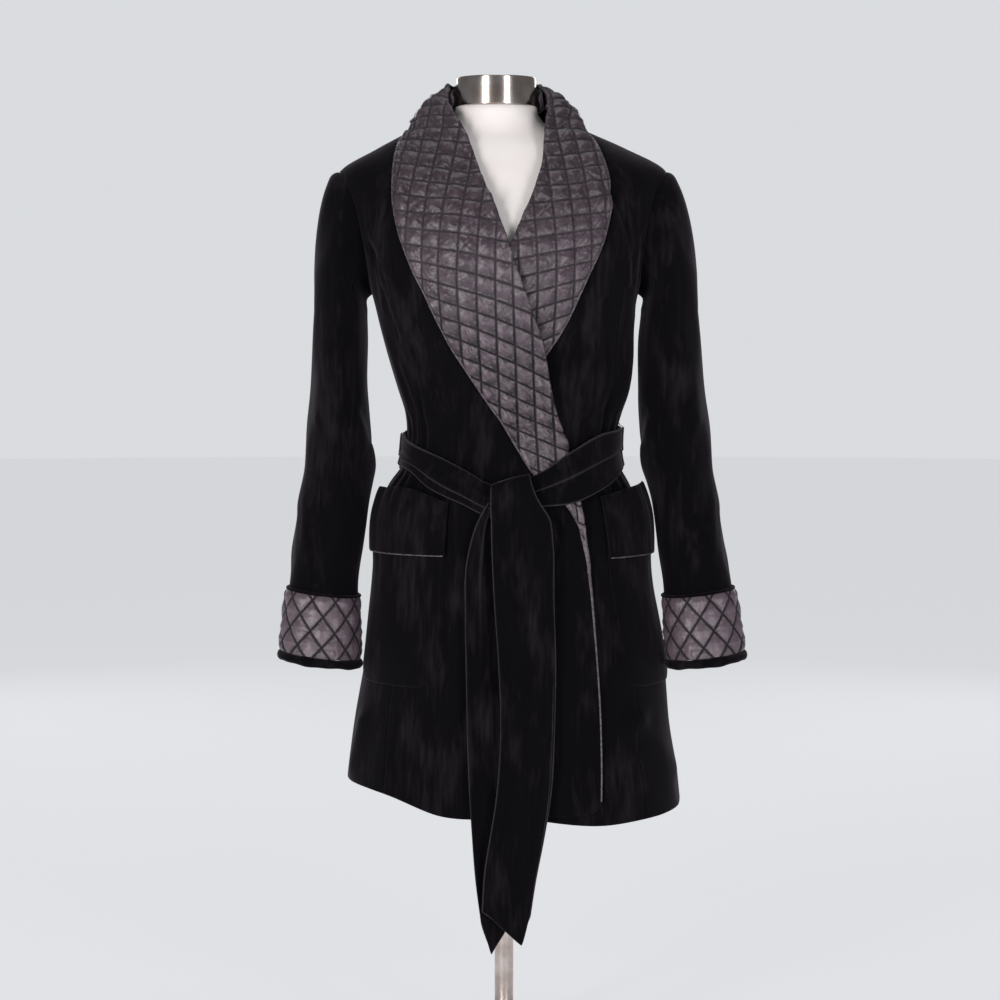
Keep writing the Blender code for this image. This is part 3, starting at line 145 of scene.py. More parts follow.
SECTIONS = Table("z shift half_width front back square", (
    (0.24, 0.011, 0.198, 0.15, 0.15, 2.15), (0.3, 0.011, 0.194, 0.147, 0.147, 2.15),
    (0.38, 0.009, 0.182, 0.141, 0.143, 2.15), (0.45, 0.012, 0.174, 0.136, 0.139, 2.15),
    (0.56, 0.008, 0.157, 0.126, 0.131, 2.2), (0.63, 0.006, 0.149, 0.117, 0.119, 2.25),
    (0.656, 0.006, 0.139, 0.112, 0.11, 2.25), (0.68, 0.008, 0.124, 0.107, 0.101, 2.25),
    (0.715, 0.009, 0.12, 0.103, 0.093, 2.25), (0.74, 0.011, 0.124, 0.102, 0.09, 2.25),
    (0.77, 0.011, 0.133, 0.106, 0.091, 2.3), (0.8, 0.008, 0.139, 0.112, 0.094, 2.3),
    (0.84, 0.003, 0.145, 0.122, 0.1, 2.35), (0.9, 0.001, 0.158, 0.13, 0.109, 2.4),
    (0.95, 0.0, 0.172, 0.12, 0.114, 2.4), (0.99, -0.001, 0.182, 0.101, 0.111, 2.35),
    (1.02, -0.002, 0.186, 0.082, 0.101, 2.2), (1.045, -0.004, 0.142, 0.066, 0.088, 2.1),
    (1.07, -0.008, 0.092, 0.052, 0.074, 2.0), (1.095, -0.009, 0.058, 0.044, 0.06, 2.0),
))

HEM = Table("phi over under", (
    (-180.0, 0.292, 0.292), (-130.0, 0.296, 0.296), (-92.0, 0.312, 0.3), (-56.0, 0.309, 0.29),
    (-30.0, 0.29, 0.293), (0.0, 0.29, 0.29), (38.0, 0.291, 0.278), (60.0, 0.291, 0.281),
    (92.0, 0.287, 0.286), (130.0, 0.289, 0.289), (180.0, 0.292, 0.292),
))

MAIN_FOLDS = tuple(Fold(*row) for row in (
    (57.0, 0.392, 79.0, 0.325, 0.014, 0.007), (63.0, 0.38, 84.0, 0.3, 0.013, -0.004),
    (-72.0, 0.385, -77.0, 0.33, 0.012, 0.005), (-54.0, 0.74, -58.0, 0.9, 0.012, 0.003),
    (-40.0, 0.745, -46.0, 0.84, 0.012, -0.0025), (-70.0, 0.745, -74.0, 0.83, 0.012, 0.0025),
    (46.0, 0.745, 49.0, 0.88, 0.012, 0.0032), (60.0, 0.745, 66.0, 0.85, 0.012, -0.0028),
    (76.0, 0.75, 80.0, 0.85, 0.012, 0.0025), (28.0, 0.56, 26.0, 0.33, 0.014, -0.003),
    (-12.0, 0.6, -16.0, 0.33, 0.016, -0.003), (110.0, 0.64, 116.0, 0.33, 0.018, 0.006),
    (132.0, 0.64, 130.0, 0.33, 0.016, -0.0045), (158.0, 0.64, 160.0, 0.34, 0.018, 0.005),
    (-112.0, 0.64, -118.0, 0.33, 0.018, 0.0055), (-136.0, 0.64, -132.0, 0.33, 0.016, -0.0045),
    (-160.0, 0.64, -158.0, 0.34, 0.018, 0.005), (122.0, 0.745, 128.0, 0.88, 0.015, 0.0035),
    (-120.0, 0.745, -128.0, 0.88, 0.015, 0.0035), (150.0, 0.745, 156.0, 0.85, 0.014, -0.003),
    (-150.0, 0.745, -154.0, 0.85, 0.014, -0.003),
))

FINE_FOLDS = tuple(Fold(*row) for row in (
    (49.0, 1.0, 62.0, 0.89, 0.0052, 0.0024), (55.0, 0.992, 67.0, 0.892, 0.0046, -0.002),
    (-64.0, 0.945, -48.0, 0.87, 0.0055, 0.0024), (-66.0, 0.925, -57.0, 0.81, 0.0048, -0.002),
    (-52.0, 0.985, -40.0, 0.9, 0.007, 0.0014), (-61.0, 0.905, -66.0, 0.86, 0.005, 0.0016),
    (-66.0, 0.93, -70.0, 0.88, 0.0055, -0.0018), (-50.0, 0.82, -57.0, 0.75, 0.006, -0.0022),
    (-63.0, 0.8, -60.0, 0.745, 0.0055, 0.0017), (-33.0, 0.8, -30.0, 0.742, 0.006, -0.0015),
    (54.0, 0.935, 60.0, 0.86, 0.005, 0.0016), (48.0, 0.87, 55.0, 0.79, 0.0055, -0.0019),
    (36.0, 0.83, 40.0, 0.75, 0.006, 0.0015), (70.0, 0.94, 77.0, 0.86, 0.0055, -0.0016),
    (-58.0, 0.97, -50.0, 0.93, 0.008, -0.0012), (62.0, 0.985, 55.0, 0.93, 0.008, -0.0012),
    (-47.0, 0.395, -50.0, 0.315, 0.009, -0.002), (-28.0, 0.43, -24.0, 0.32, 0.011, 0.0022),
    (20.0, 0.5, 16.0, 0.32, 0.011, 0.002), (40.0, 0.56, 42.0, 0.36, 0.008, -0.0018),
    (101.0, 0.6, 104.0, 0.4, 0.009, -0.0024), (122.0, 0.56, 124.0, 0.34, 0.008, 0.002),
    (146.0, 0.6, 149.0, 0.42, 0.009, -0.0022), (171.0, 0.56, 168.0, 0.36, 0.009, 0.0016),
    (-100.0, 0.58, -103.0, 0.38, 0.009, -0.0022), (-124.0, 0.6, -126.0, 0.36, 0.0085, 0.002),
    (-148.0, 0.56, -147.0, 0.4, 0.009, -0.0024), (-170.0, 0.6, -167.0, 0.43, 0.008, 0.0016),
    (112.0, 0.96, 122.0, 0.86, 0.008, 0.0018), (-114.0, 0.95, -122.0, 0.85, 0.008, 0.0018),
    (128.0, 0.99, 140.0, 0.93, 0.01, -0.0014), (-130.0, 0.985, -139.0, 0.92, 0.01, -0.0014),
))

GATHERS = tuple(Gather(*row) for row in (
    (-83.0, 0.04, 0.03, 0.0048, 0.0022), (-73.0, 0.062, 0.036, 0.0055, 0.003),
    (-64.5, 0.038, 0.05, 0.0042, 0.0024), (-55.0, 0.09, 0.028, 0.0058, 0.0032),
    (-46.0, 0.034, 0.042, 0.004, 0.002), (-37.0, 0.052, 0.06, 0.0052, 0.0026),
    (-27.0, 0.028, 0.08, 0.0046, 0.0022), (-19.0, 0.018, 0.055, 0.0042, 0.0018),
    (24.0, 0.012, 0.06, 0.0044, 0.002), (34.0, 0.046, 0.07, 0.0052, 0.0026),
    (43.0, 0.08, 0.034, 0.0056, 0.0032), (51.5, 0.036, 0.044, 0.0042, 0.0022),
    (60.0, 0.058, 0.028, 0.005, 0.0028), (69.0, 0.04, 0.038, 0.0044, 0.0024),
    (80.0, 0.07, 0.03, 0.0052, 0.0026), (97.0, 0.05, 0.06, 0.005, 0.003),
    (106.0, 0.075, 0.08, 0.0058, 0.0034), (115.0, 0.04, 0.05, 0.0044, 0.0024),
    (126.0, 0.06, 0.09, 0.0056, 0.0032), (137.0, 0.045, 0.06, 0.0046, 0.0024),
    (148.0, 0.07, 0.055, 0.0052, 0.003), (159.0, 0.04, 0.085, 0.0052, 0.0028),
    (171.0, 0.052, 0.05, 0.0046, 0.0024), (-98.0, 0.055, 0.055, 0.005, 0.0028),
    (-108.0, 0.07, 0.085, 0.0058, 0.0034), (-118.0, 0.042, 0.046, 0.0044, 0.0022),
    (-129.0, 0.058, 0.09, 0.0054, 0.0032), (-141.0, 0.048, 0.056, 0.0048, 0.0026),
    (-152.0, 0.066, 0.07, 0.0052, 0.0028), (-163.0, 0.04, 0.08, 0.005, 0.0028),
    (-174.0, 0.05, 0.045, 0.0044, 0.0022),
))

OVER_EDGE = Table("z x", (
    (0.24, 0.104), (0.3, 0.107), (0.4, 0.107), (0.51, 0.1), (0.583, 0.0935), (0.642, 0.0835),
    (0.719, 0.0632), (0.762, 0.0528), (0.828, 0.041), (0.87, 0.026), (0.933, 0.0005), (0.988, -0.023),
    (1.04, -0.041), (1.07, -0.0535), (1.088, -0.07),
))

UNDER_EDGE = Table("z x", (
    (0.24, -0.075), (0.4, -0.075), (0.64, -0.062), (0.74, -0.048), (0.8, -0.034), (0.87, -0.011),
    (0.933, 0.011), (0.982, 0.0335), (1.018, 0.046), (1.045, 0.049), (1.07, 0.05), (1.088, 0.055),
))

OVER_COLLAR = Table("z x", (
    (0.6, 0.0905), (0.62, 0.082), (0.64, 0.0665), (0.672, 0.033), (0.705, 0.013), (0.745, -0.0103),
    (0.792, -0.04), (0.848, -0.072), (0.886, -0.0915), (0.934, -0.1137), (0.96, -0.1212),
    (0.994, -0.1275), (1.03, -0.1265), (1.052, -0.12),
))

UNDER_COLLAR = Table("z x", (
    (0.775, 0.015), (0.79, 0.03), (0.814, 0.049), (0.839, 0.0659), (0.872, 0.0815), (0.904, 0.0961),
    (0.934, 0.1098), (0.96, 0.1175), (0.99, 0.1205), (1.018, 0.1178), (1.042, 0.109),
))

LONG_SEAM = Table("z phi", (
    (0.24, 55.0), (0.45, 57.0), (0.56, 58.5), (0.7, 60.0), (0.8, 60.0), (0.88, 58.0),
))

BELT = Table("phi top bottom", (
    (-180.0, 0.73, 0.68), (-130.0, 0.726, 0.679), (-92.0, 0.716, 0.677), (-58.0, 0.7025, 0.67),
    (-41.0, 0.6915, 0.653), (-26.0, 0.677, 0.64), (-10.0, 0.661, 0.625), (16.0, 0.674, 0.636),
    (32.0, 0.696, 0.639), (53.0, 0.718, 0.656), (72.0, 0.722, 0.67), (92.0, 0.725, 0.676),
    (130.0, 0.729, 0.679), (180.0, 0.73, 0.68),
))


def unit(vectors: Array) -> Array:
    """Vectors of length one."""
    return vectors / np.maximum(np.linalg.norm(vectors, axis=-1, keepdims=True), 1e-12)


def turned(phi: Array | float) -> Array:
    """Angles brought between -180 and 180 degrees."""
    return (np.asarray(phi, float) + 180.0) % 360.0 - 180.0


def spread(count: int, width: float, start: bool = True, end: bool = True) -> Array:
    """Shares from 0 to 1, with a few close to each end so that an edge can be rounded.

    Args:
        count: even steps between the ends.
        width: the real distance that the shares cover.
        start: whether the start has close steps.
        end: whether the end has close steps.

    Returns:
        Rising shares.
    """
    near = np.array([0.0004, 0.0010, 0.0018, 0.0030]) / width
    parts = [np.linspace(0.0, 1.0, count + 1)]
    if start:
        parts.append(near)
    if end:
        parts.append(1.0 - near)
    shares = np.unique(np.round(np.concatenate(parts), 6))
    keep = np.concatenate([[True], np.diff(shares) > 0.00015 / width])
    keep[-1] = True
    return shares[keep]


def grid_normals(grid: Array, ring: bool = False) -> Array:
    """Directions square to a grid of points.

    Args:
        grid: points in rows.
        ring: whether the last column joins the first.

    Returns:
        A unit vector at each point.
    """
    if ring:
        around = np.roll(grid, -1, axis=1) - np.roll(grid, 1, axis=1)
    else:
        around = np.gradient(grid, axis=1)
    return unit(np.cross(around, np.gradient(grid, axis=0)))


def grid_faces(rows: int, columns: int, start: int = 0, ring: bool = True, tube: bool = False) -> Array:
    """Quads over points that are numbered row by row.

    Args:
        rows: rows of points.
        columns: points in a row.
        start: the first point's number.
        ring: whether the last column joins the first.
        tube: whether the last row joins the first.

    Returns:
        Four point numbers for each quad.
    """
    down, across = np.arange(rows if tube else rows - 1), np.arange(columns if ring else columns - 1)
    i, j = np.meshgrid(down, across, indexing="ij")
    n, k = (i + 1) % rows, (j + 1) % columns
    quads = [i * columns + j, i * columns + k, n * columns + k, n * columns + j]
    return start + np.stack(quads, axis=-1).reshape(-1, 4)


def run_lengths(grid: Array, axis: int) -> Array:
    """Distance along each line of a grid from its first point.

    Args:
        grid: points in rows.
        axis: the axis to follow.

    Returns:
        Distances, as many as points.
    """
    steps = np.linalg.norm(np.diff(grid, axis=axis), axis=-1)
    shape = list(grid.shape[:2])
    shape[axis] = 1
    return np.concatenate([np.zeros(shape), np.cumsum(steps, axis=axis)], axis=axis)


def fold_sum(folds: Sequence[Fold], angle: Array, z: Array, reach: float, fade: float) -> Array:
    """Height of a set of folds over a form.

    Args:
        folds: the folds, by angle round the form and by height.
        angle: angles of the points, in degrees.
        z: heights of the points.
        reach: the form's radius, which turns angles into distances.
        fade: how much of a fold's height is lost along its length.

    Returns:
        How far the folds move each point out or in.
    """
    across = np.radians(angle) * reach
    total = np.zeros(np.broadcast(angle, z).shape)
    for fold in folds:
        start = np.array([math.radians(fold.phi0) * reach, fold.z0])
        line = np.array([math.radians(fold.phi1) * reach, fold.z1]) - start
        along = ((across - start[0]) * line[0] + (z - start[1]) * line[1]) / (line @ line)
        along = np.clip(along, 0.0, 1.0)
        apart = np.hypot(across - start[0] - along * line[0], z - start[1] - along * line[1])
        total = total + fold.height * np.exp(-((apart / fold.width) ** 2)) * (1.0 - fade * along)
    return total


@dataclass(frozen=True)
class BodyForm:
    """The worn form that every panel lies on, as level sections with folds pressed into them."""

    fold_reach: float = 0.135
    sash_press: float = 0.030
    ripple: float = 0.00045
    fold_fade: float = 0.45
    main_share: float = 1.25
    fine_share: float = 1.40

    def surface(self, phi: Array, z: Array) -> Array:
        """Point of the inner face at an angle from the front middle and a height.

        Args:
            phi: angles from the front middle, in degrees.
            z: heights.

        Returns:
            Points.
        """
        shift = SECTIONS("shift", z)
        width = SECTIONS("half_width", z)
        square = SECTIONS("square", z)
        angle = np.radians(phi)
        front, back = SECTIONS("front", z), SECTIONS("back", z)
        depth = np.where(np.cos(angle) > 0.0, front, back)
        across = np.abs(np.sin(angle) / width) ** square
        along = np.abs(np.cos(angle) / depth) ** square
        radius = (across + along) ** (-1.0 / square)
        x, y = shift + radius * np.sin(angle), -radius * np.cos(angle)
        return np.stack([x, y, np.broadcast_to(z, x.shape)], axis=-1)

    def normal(self, phi: Array, z: Array) -> Array:
        """Outward direction of the inner face.

        Args:
            phi: angles from the front middle, in degrees.
            z: heights.

        Returns:
            Unit vectors.
        """
        low = np.maximum(z - 0.002, SECTIONS.key[0])
        high = np.minimum(z + 0.002, SECTIONS.key[-1])
        around = self.surface(phi + 0.5, z) - self.surface(phi - 0.5, z)
        return unit(np.cross(around, self.surface(phi, high) - self.surface(phi, low)))

    def from_sash(self, phi: Array, z: Array) -> Array:
        """Height over the middle of the sash."""
        angle = turned(phi)
        return z - (BELT("top", angle) + BELT("bottom", angle)) / 2.0

    def relief(self, phi: Array, z: Array) -> Array:
        """How far folds, gathers at the sash and small unevenness move the cloth out or in.

        Args:
            phi: angles from the front middle, in degrees.
            z: heights.

        Returns:
            Distances, out from the form.
        """
        angle = turned(phi)
        over_sash = self.from_sash(phi, z)
        apart = np.abs(over_sash)
        free = smooth((apart - self.sash_press) / self.sash_press)
        main = self.main_share * fold_sum(MAIN_FOLDS, angle, z, self.fold_reach, self.fold_fade)
        main = main + self.fine_share * fold_sum(FINE_FOLDS, angle, z, self.fold_reach, self.fold_fade)
        turn = np.radians(angle)
        uneven = np.sin(6.0 * turn + 31.0 * z) + 0.8 * np.sin(11.0 * turn - 23.0 * z + 1.3)
        uneven = uneven + 0.6 * np.sin(17.0 * turn + 47.0 * z + 2.1)
        total = (main + uneven * self.ripple) * free
        across = turn * self.fold_reach
        for gather in GATHERS:
            centre = math.radians(gather.phi) * self.fold_reach
            lean = (across - centre) - 0.06 * over_sash * math.sin(gather.phi * 0.7)
            span = np.where(over_sash > 0.0, gather.above, gather.below)
            along = (1.0 - smooth((apart - 0.020) / span)) * smooth((apart - 0.012) / 0.010)
            total = total - 1.25 * gather.depth * np.exp(-((lean / gather.width) ** 2)) * along
        return total

    def cloth(self, phi: Array, z: Array, height: Array | float) -> Array:
        """Point of the cloth at a height over the inner face.

        Args:
            phi: angles from the front middle, in degrees.
            z: heights.
            height: heights over the inner face.

        Returns:
            Points.
        """
        phi, z = np.broadcast_arrays(np.asarray(phi, float), np.asarray(z, float))
        lift = np.asarray(height) + self.relief(phi, z)
        return self.surface(phi, z) + self.normal(phi, z) * np.broadcast_to(lift, phi.shape)[..., None]

    def phi_at(self, x: Array, z: Array) -> Array:
        """Angle of the front point that is seen at x, at a height.

        Args:
            x: sideways places.
            z: heights.

        Returns:
            Angles in degrees.
        """
        shift = SECTIONS("shift", z)
        width = SECTIONS("half_width", z)
        front, square = SECTIONS("front", z), SECTIONS("square", z)
        share = np.clip(np.abs((x - shift) / width) ** square, 0.0, 1.0)
        return np.degrees(np.arctan2(x - shift, front * (1.0 - share) ** (1.0 / square)))


@dataclass(frozen=True)
class Layers:
    """Cloth thicknesses and the heights at which the layers lie over the body."""

    velvet: float = 0.0020
    sash: float = 0.0030
    seam_gap: float = 0.0003
    sewn_gap: float = 0.00004
    gap: float = 0.0011
    panel_gap: float = 0.0014
    quilt_rise: float = 0.0014
    form: BodyForm = field(default_factory=BodyForm)

    def over(self, phi: Array, z: Array) -> Array:
        """Inner face of the lapping front, over the layers below it.

        Args:
            phi: angles from the front middle, in degrees.
            z: heights.

        Returns:
            Heights over the form.
        """
        x = self.form.surface(phi, z)[..., 0]
        overlap = smooth((x + 0.118) / 0.050) * (1.0 - smooth((z - 0.950) / 0.080))
        low = (self.velvet + self.panel_gap) * overlap
        stack = self.gap + self.velvet + self.quilt_rise + self.seam_gap
        above = smooth((z - 0.712) / 0.050) * (1.0 - smooth((z - 0.955) / 0.060))
        return np.where(np.abs(phi) < 90.0, low + stack * smooth((x + 0.090) / 0.040) * above, 0.0)

    def under(self, phi: Array, z: Array) -> Array:
        """The under front and the back lie straight on the inner face."""
        return np.zeros(np.broadcast(phi, z).shape)

    def over_collar(self, phi: Array, z: Array) -> Array:
        """Inner face of the collar on the lapping front."""
        return self.over(phi, z) + self.velvet + self.gap

    def under_collar(self, phi: Array, z: Array) -> Array:
        """Inner face of the collar on the under front."""
        return self.under(phi, z) + self.velvet + self.gap


class Socket:
    """A shader socket that can stand in a Python expression."""

    def __init__(self, sheet: "Shader", socket: bpy.types.NodeSocket) -> None:
        """Keeps the node tree's writer and the socket."""
        self.sheet = sheet
        self.socket = socket

    def maths(self, operation: str, first: Any, second: Any) -> "Socket":
        """One Math node."""
        return self.sheet.node("ShaderNodeMath", {"operation": operation}, {0: first, 1: second})

    def __add__(self, other: Any) -> "Socket":
        """Sum."""
        return self.maths("ADD", self, other)

    __radd__ = __add__

    def __sub__(self, other: Any) -> "Socket":
        """Difference."""
        return self.maths("SUBTRACT", self, other)

    def __rsub__(self, other: Any) -> "Socket":
        """Difference from a number."""
        return self.maths("SUBTRACT", other, self)

    def __mul__(self, other: Any) -> "Socket":
        """Product."""
        return self.maths("MULTIPLY", self, other)

    __rmul__ = __mul__

    def __truediv__(self, other: Any) -> "Socket":
        """Quotient."""
        return self.maths("DIVIDE", self, other)

    def __pow__(self, other: Any) -> "Socket":
        """Power."""
        return self.maths("POWER", self, other)


class Shader:
    """Writes one material's nodes."""

    def __init__(self, name: str) -> None:
        """Starts an empty material with a Principled surface.

        Args:
            name: the name it gets.
        """
        self.material = bpy.data.materials.new(name)
        self.material.use_nodes = True
        self.tree = self.material.node_tree
        self.surface = self.tree.nodes["Principled BSDF"]

    def node(
        self, kind: str, settings: dict[str, Any] | None = None, values: dict[Any, Any] | None = None,
        output: str | int = 0,
    ) -> Socket:
        """Adds one node.

        Args:
            kind: the node's type.
            settings: its own settings, set first.
            values: numbers, colours or sockets for its inputs, by name or place.
            output: which output to hand back.

        Returns:
            The chosen output.
        """
        made = self.tree.nodes.new(kind)
        for key, value in (settings or {}).items():
            setattr(made, key, value)
        for key, value in (values or {}).items():
            self.feed(made.inputs[key], value)
        return Socket(self, made.outputs[output])

    def feed(self, target: bpy.types.NodeSocket, value: Any) -> None:
        """Sets or links one input.

        Args:
            target: the input.
            value: a number, a colour, a vector or a link.
        """
        if isinstance(value, Socket):
            self.tree.links.new(value.socket, target)
        else:
            target.default_value = value

    def set(self, **values: Any) -> None:
        """Sets or links the surface's inputs, by name with underscores for spaces."""
        for key, value in values.items():
            self.feed(self.surface.inputs[key.replace("_", " ")], value)

    def place(self) -> Socket:
        """The piece's own Object coordinates."""
        return self.node("ShaderNodeTexCoord", output="Object")

    def uv(self, name: str) -> Socket:
        """One of the piece's own UV maps."""
        return self.node("ShaderNodeUVMap", {"uv_map": name})

    def attribute(self, name: str) -> Socket:
        """A number kept on the piece's points."""
        return self.node("ShaderNodeAttribute", {"attribute_name": name}, output="Fac")

    def scaled(self, vector: Socket, scale: Point) -> Socket:
        """A vector with each part times its own number."""
        return self.node("ShaderNodeVectorMath", {"operation": "MULTIPLY"}, {0: vector, 1: scale})

    def noise(self, vector: Socket, scale: float, detail: float = 2.0, rough: float = 0.5) -> Socket:
        """Soft noise from 0 to 1."""
        values = {"Vector": vector, "Scale": scale, "Detail": detail, "Roughness": rough}
        return self.node("ShaderNodeTexNoise", None, values)

    def waves(
        self, vector: Socket, direction: str, scale: float, bend: float, detail: float = 1.0
    ) -> Socket:
        """Soft parallel bands from 0 to 1.

        Args:
            vector: where it is read.
            direction: the way across the bands.
            scale: bands for each unit.
            bend: how far they waver.
            detail: fineness of that.

        Returns:
            The bands.
        """
        settings = {"wave_type": "BANDS", "bands_direction": direction, "wave_profile": "SIN"}
        values = {"Vector": vector, "Scale": scale, "Distortion": bend, "Detail": detail}
        return self.node("ShaderNodeTexWave", settings, values)

    def part(self, vector: Socket, index: int) -> Socket:
        """One part of a vector, with 0 for X."""
        return self.node("ShaderNodeSeparateXYZ", None, {0: vector}, index)

    def ranged(self, value: Socket, low: float, high: float) -> Socket:
        """A number from 0 to 1, brought between low and high."""
        return self.node("ShaderNodeMapRange", None, {"Value": value, "To Min": low, "To Max": high})

    def between(self, value: Socket, low: float, high: float) -> Socket:
        """A number eased from 0 at low to 1 at high."""
        values = {"Value": value, "From Min": low, "From Max": high}
        return self.node("ShaderNodeMapRange", {"interpolation_type": "SMOOTHSTEP"}, values)

    def mix(self, factor: Any, first: Any, second: Any) -> Socket:
        """Two colours mixed.

        Args:
            factor: share of the second.
            first: a colour.
            second: a colour.

        Returns:
            The colour.
        """
        made = self.tree.nodes.new("ShaderNodeMix")
        made.data_type = "RGBA"
        self.feed(made.inputs["Factor"], factor)
        self.feed(made.inputs[6], first)
        self.feed(made.inputs[7], second)
        return Socket(self, made.outputs[2])

    def lay_painted_shade(self, factor: Socket, colour: Colour) -> None:
        """Lays a matt dark sheet of painted shade over the surface, as far as the factor says.

        Args:
            factor: how far.
            colour: the painted shade's colour.
        """
        matt = self.tree.nodes.new("ShaderNodeBsdfPrincipled")
        for name, value in (("Base Color", colour), ("Roughness", 0.9), ("Specular IOR Level", 0.04)):
            self.feed(matt.inputs[name], value)
        both = self.tree.nodes.new("ShaderNodeMixShader")
        self.feed(both.inputs[0], factor)
        self.tree.links.new(self.surface.outputs[0], both.inputs[1])
        self.tree.links.new(matt.outputs[0], both.inputs[2])
        self.tree.links.new(both.outputs[0], self.tree.nodes["Material Output"].inputs["Surface"])

    def bump(self, height: Socket, distance: float, strength: float, under: Socket | None = None) -> Socket:
        """A Bump node.

        Args:
            height: a number for each place.
            distance: height of a step from 0 to 1.
            strength: how strongly it shows.
            under: a bump below it.

        Returns:
            The normal.
        """
        values: dict[Any, Any] = {"Height": height, "Distance": distance, "Strength": strength}
        if under is not None:
            values["Normal"] = under
        return self.node("ShaderNodeBump", None, values)


def rgb(red: float, green: float, blue: float) -> Colour:
    """A full colour."""
    return (red, green, blue, 1.0)


@dataclass(frozen=True)
class Velvet:
    """Black cotton velvet: a dense dark pile, with painted sheen in random brushed patches and streaks, and
    painted sheen, partly wear, along its folded edges.
    """

    name: str = "black_velvet"
    pile: Colour = rgb(0.0019, 0.0015, 0.0022)
    brushed: Colour = rgb(0.0130, 0.0105, 0.0130)
    fold_light: Colour = rgb(0.075, 0.066, 0.074)
    sheen: float = 0.19
    sheen_tint: Colour = rgb(0.62, 0.54, 0.62)

    def make(self) -> bpy.types.Material:
        """Builds the material.

        Returns:
            The material.
        """
        shader = Shader(self.name)
        place = shader.place()
        # Random paler patches and streaks: painted sheen of the pile, laid out as where it is brushed.
        nap = shader.noise(shader.scaled(place, (1.0, 1.0, 0.35)), 26.0, 3.0, 0.6)
        streak = shader.noise(shader.scaled(place, (1.0, 1.0, 0.12)), 210.0, 2.0, 0.5)
        brushed = shader.between(nap * 0.70 + streak * 0.30, 0.47, 0.72)
        base = shader.mix(brushed, self.pile, self.brushed)
        # Paler pile along edges and pleat folds, from the 'edge' numbers: painted sheen where folded edges
        # catch the light, and partly wear.
        edge = shader.attribute("edge") ** 1.4
        edge_sheen_noise = shader.noise(place, 240.0, 2.0)
        worn = edge * (edge_sheen_noise * 0.7 + 0.42)
        shader.set(
            Base_Color=shader.mix(worn, base, self.fold_light),
            Roughness=shader.ranged(nap, 0.78, 0.94),
            Sheen_Weight=self.sheen,
            Sheen_Roughness=0.38,
            Sheen_Tint=self.sheen_tint,
            Specular_IOR_Level=0.06,
        )
        pile = shader.noise(place, 2600.0, 2.0, 0.7)
        fine = shader.bump(pile, 0.0004, 0.28)
        shader.set(Normal=shader.bump(shader.noise(place, 120.0, 3.0), 0.0008, 0.16, fine))
        return shader.material


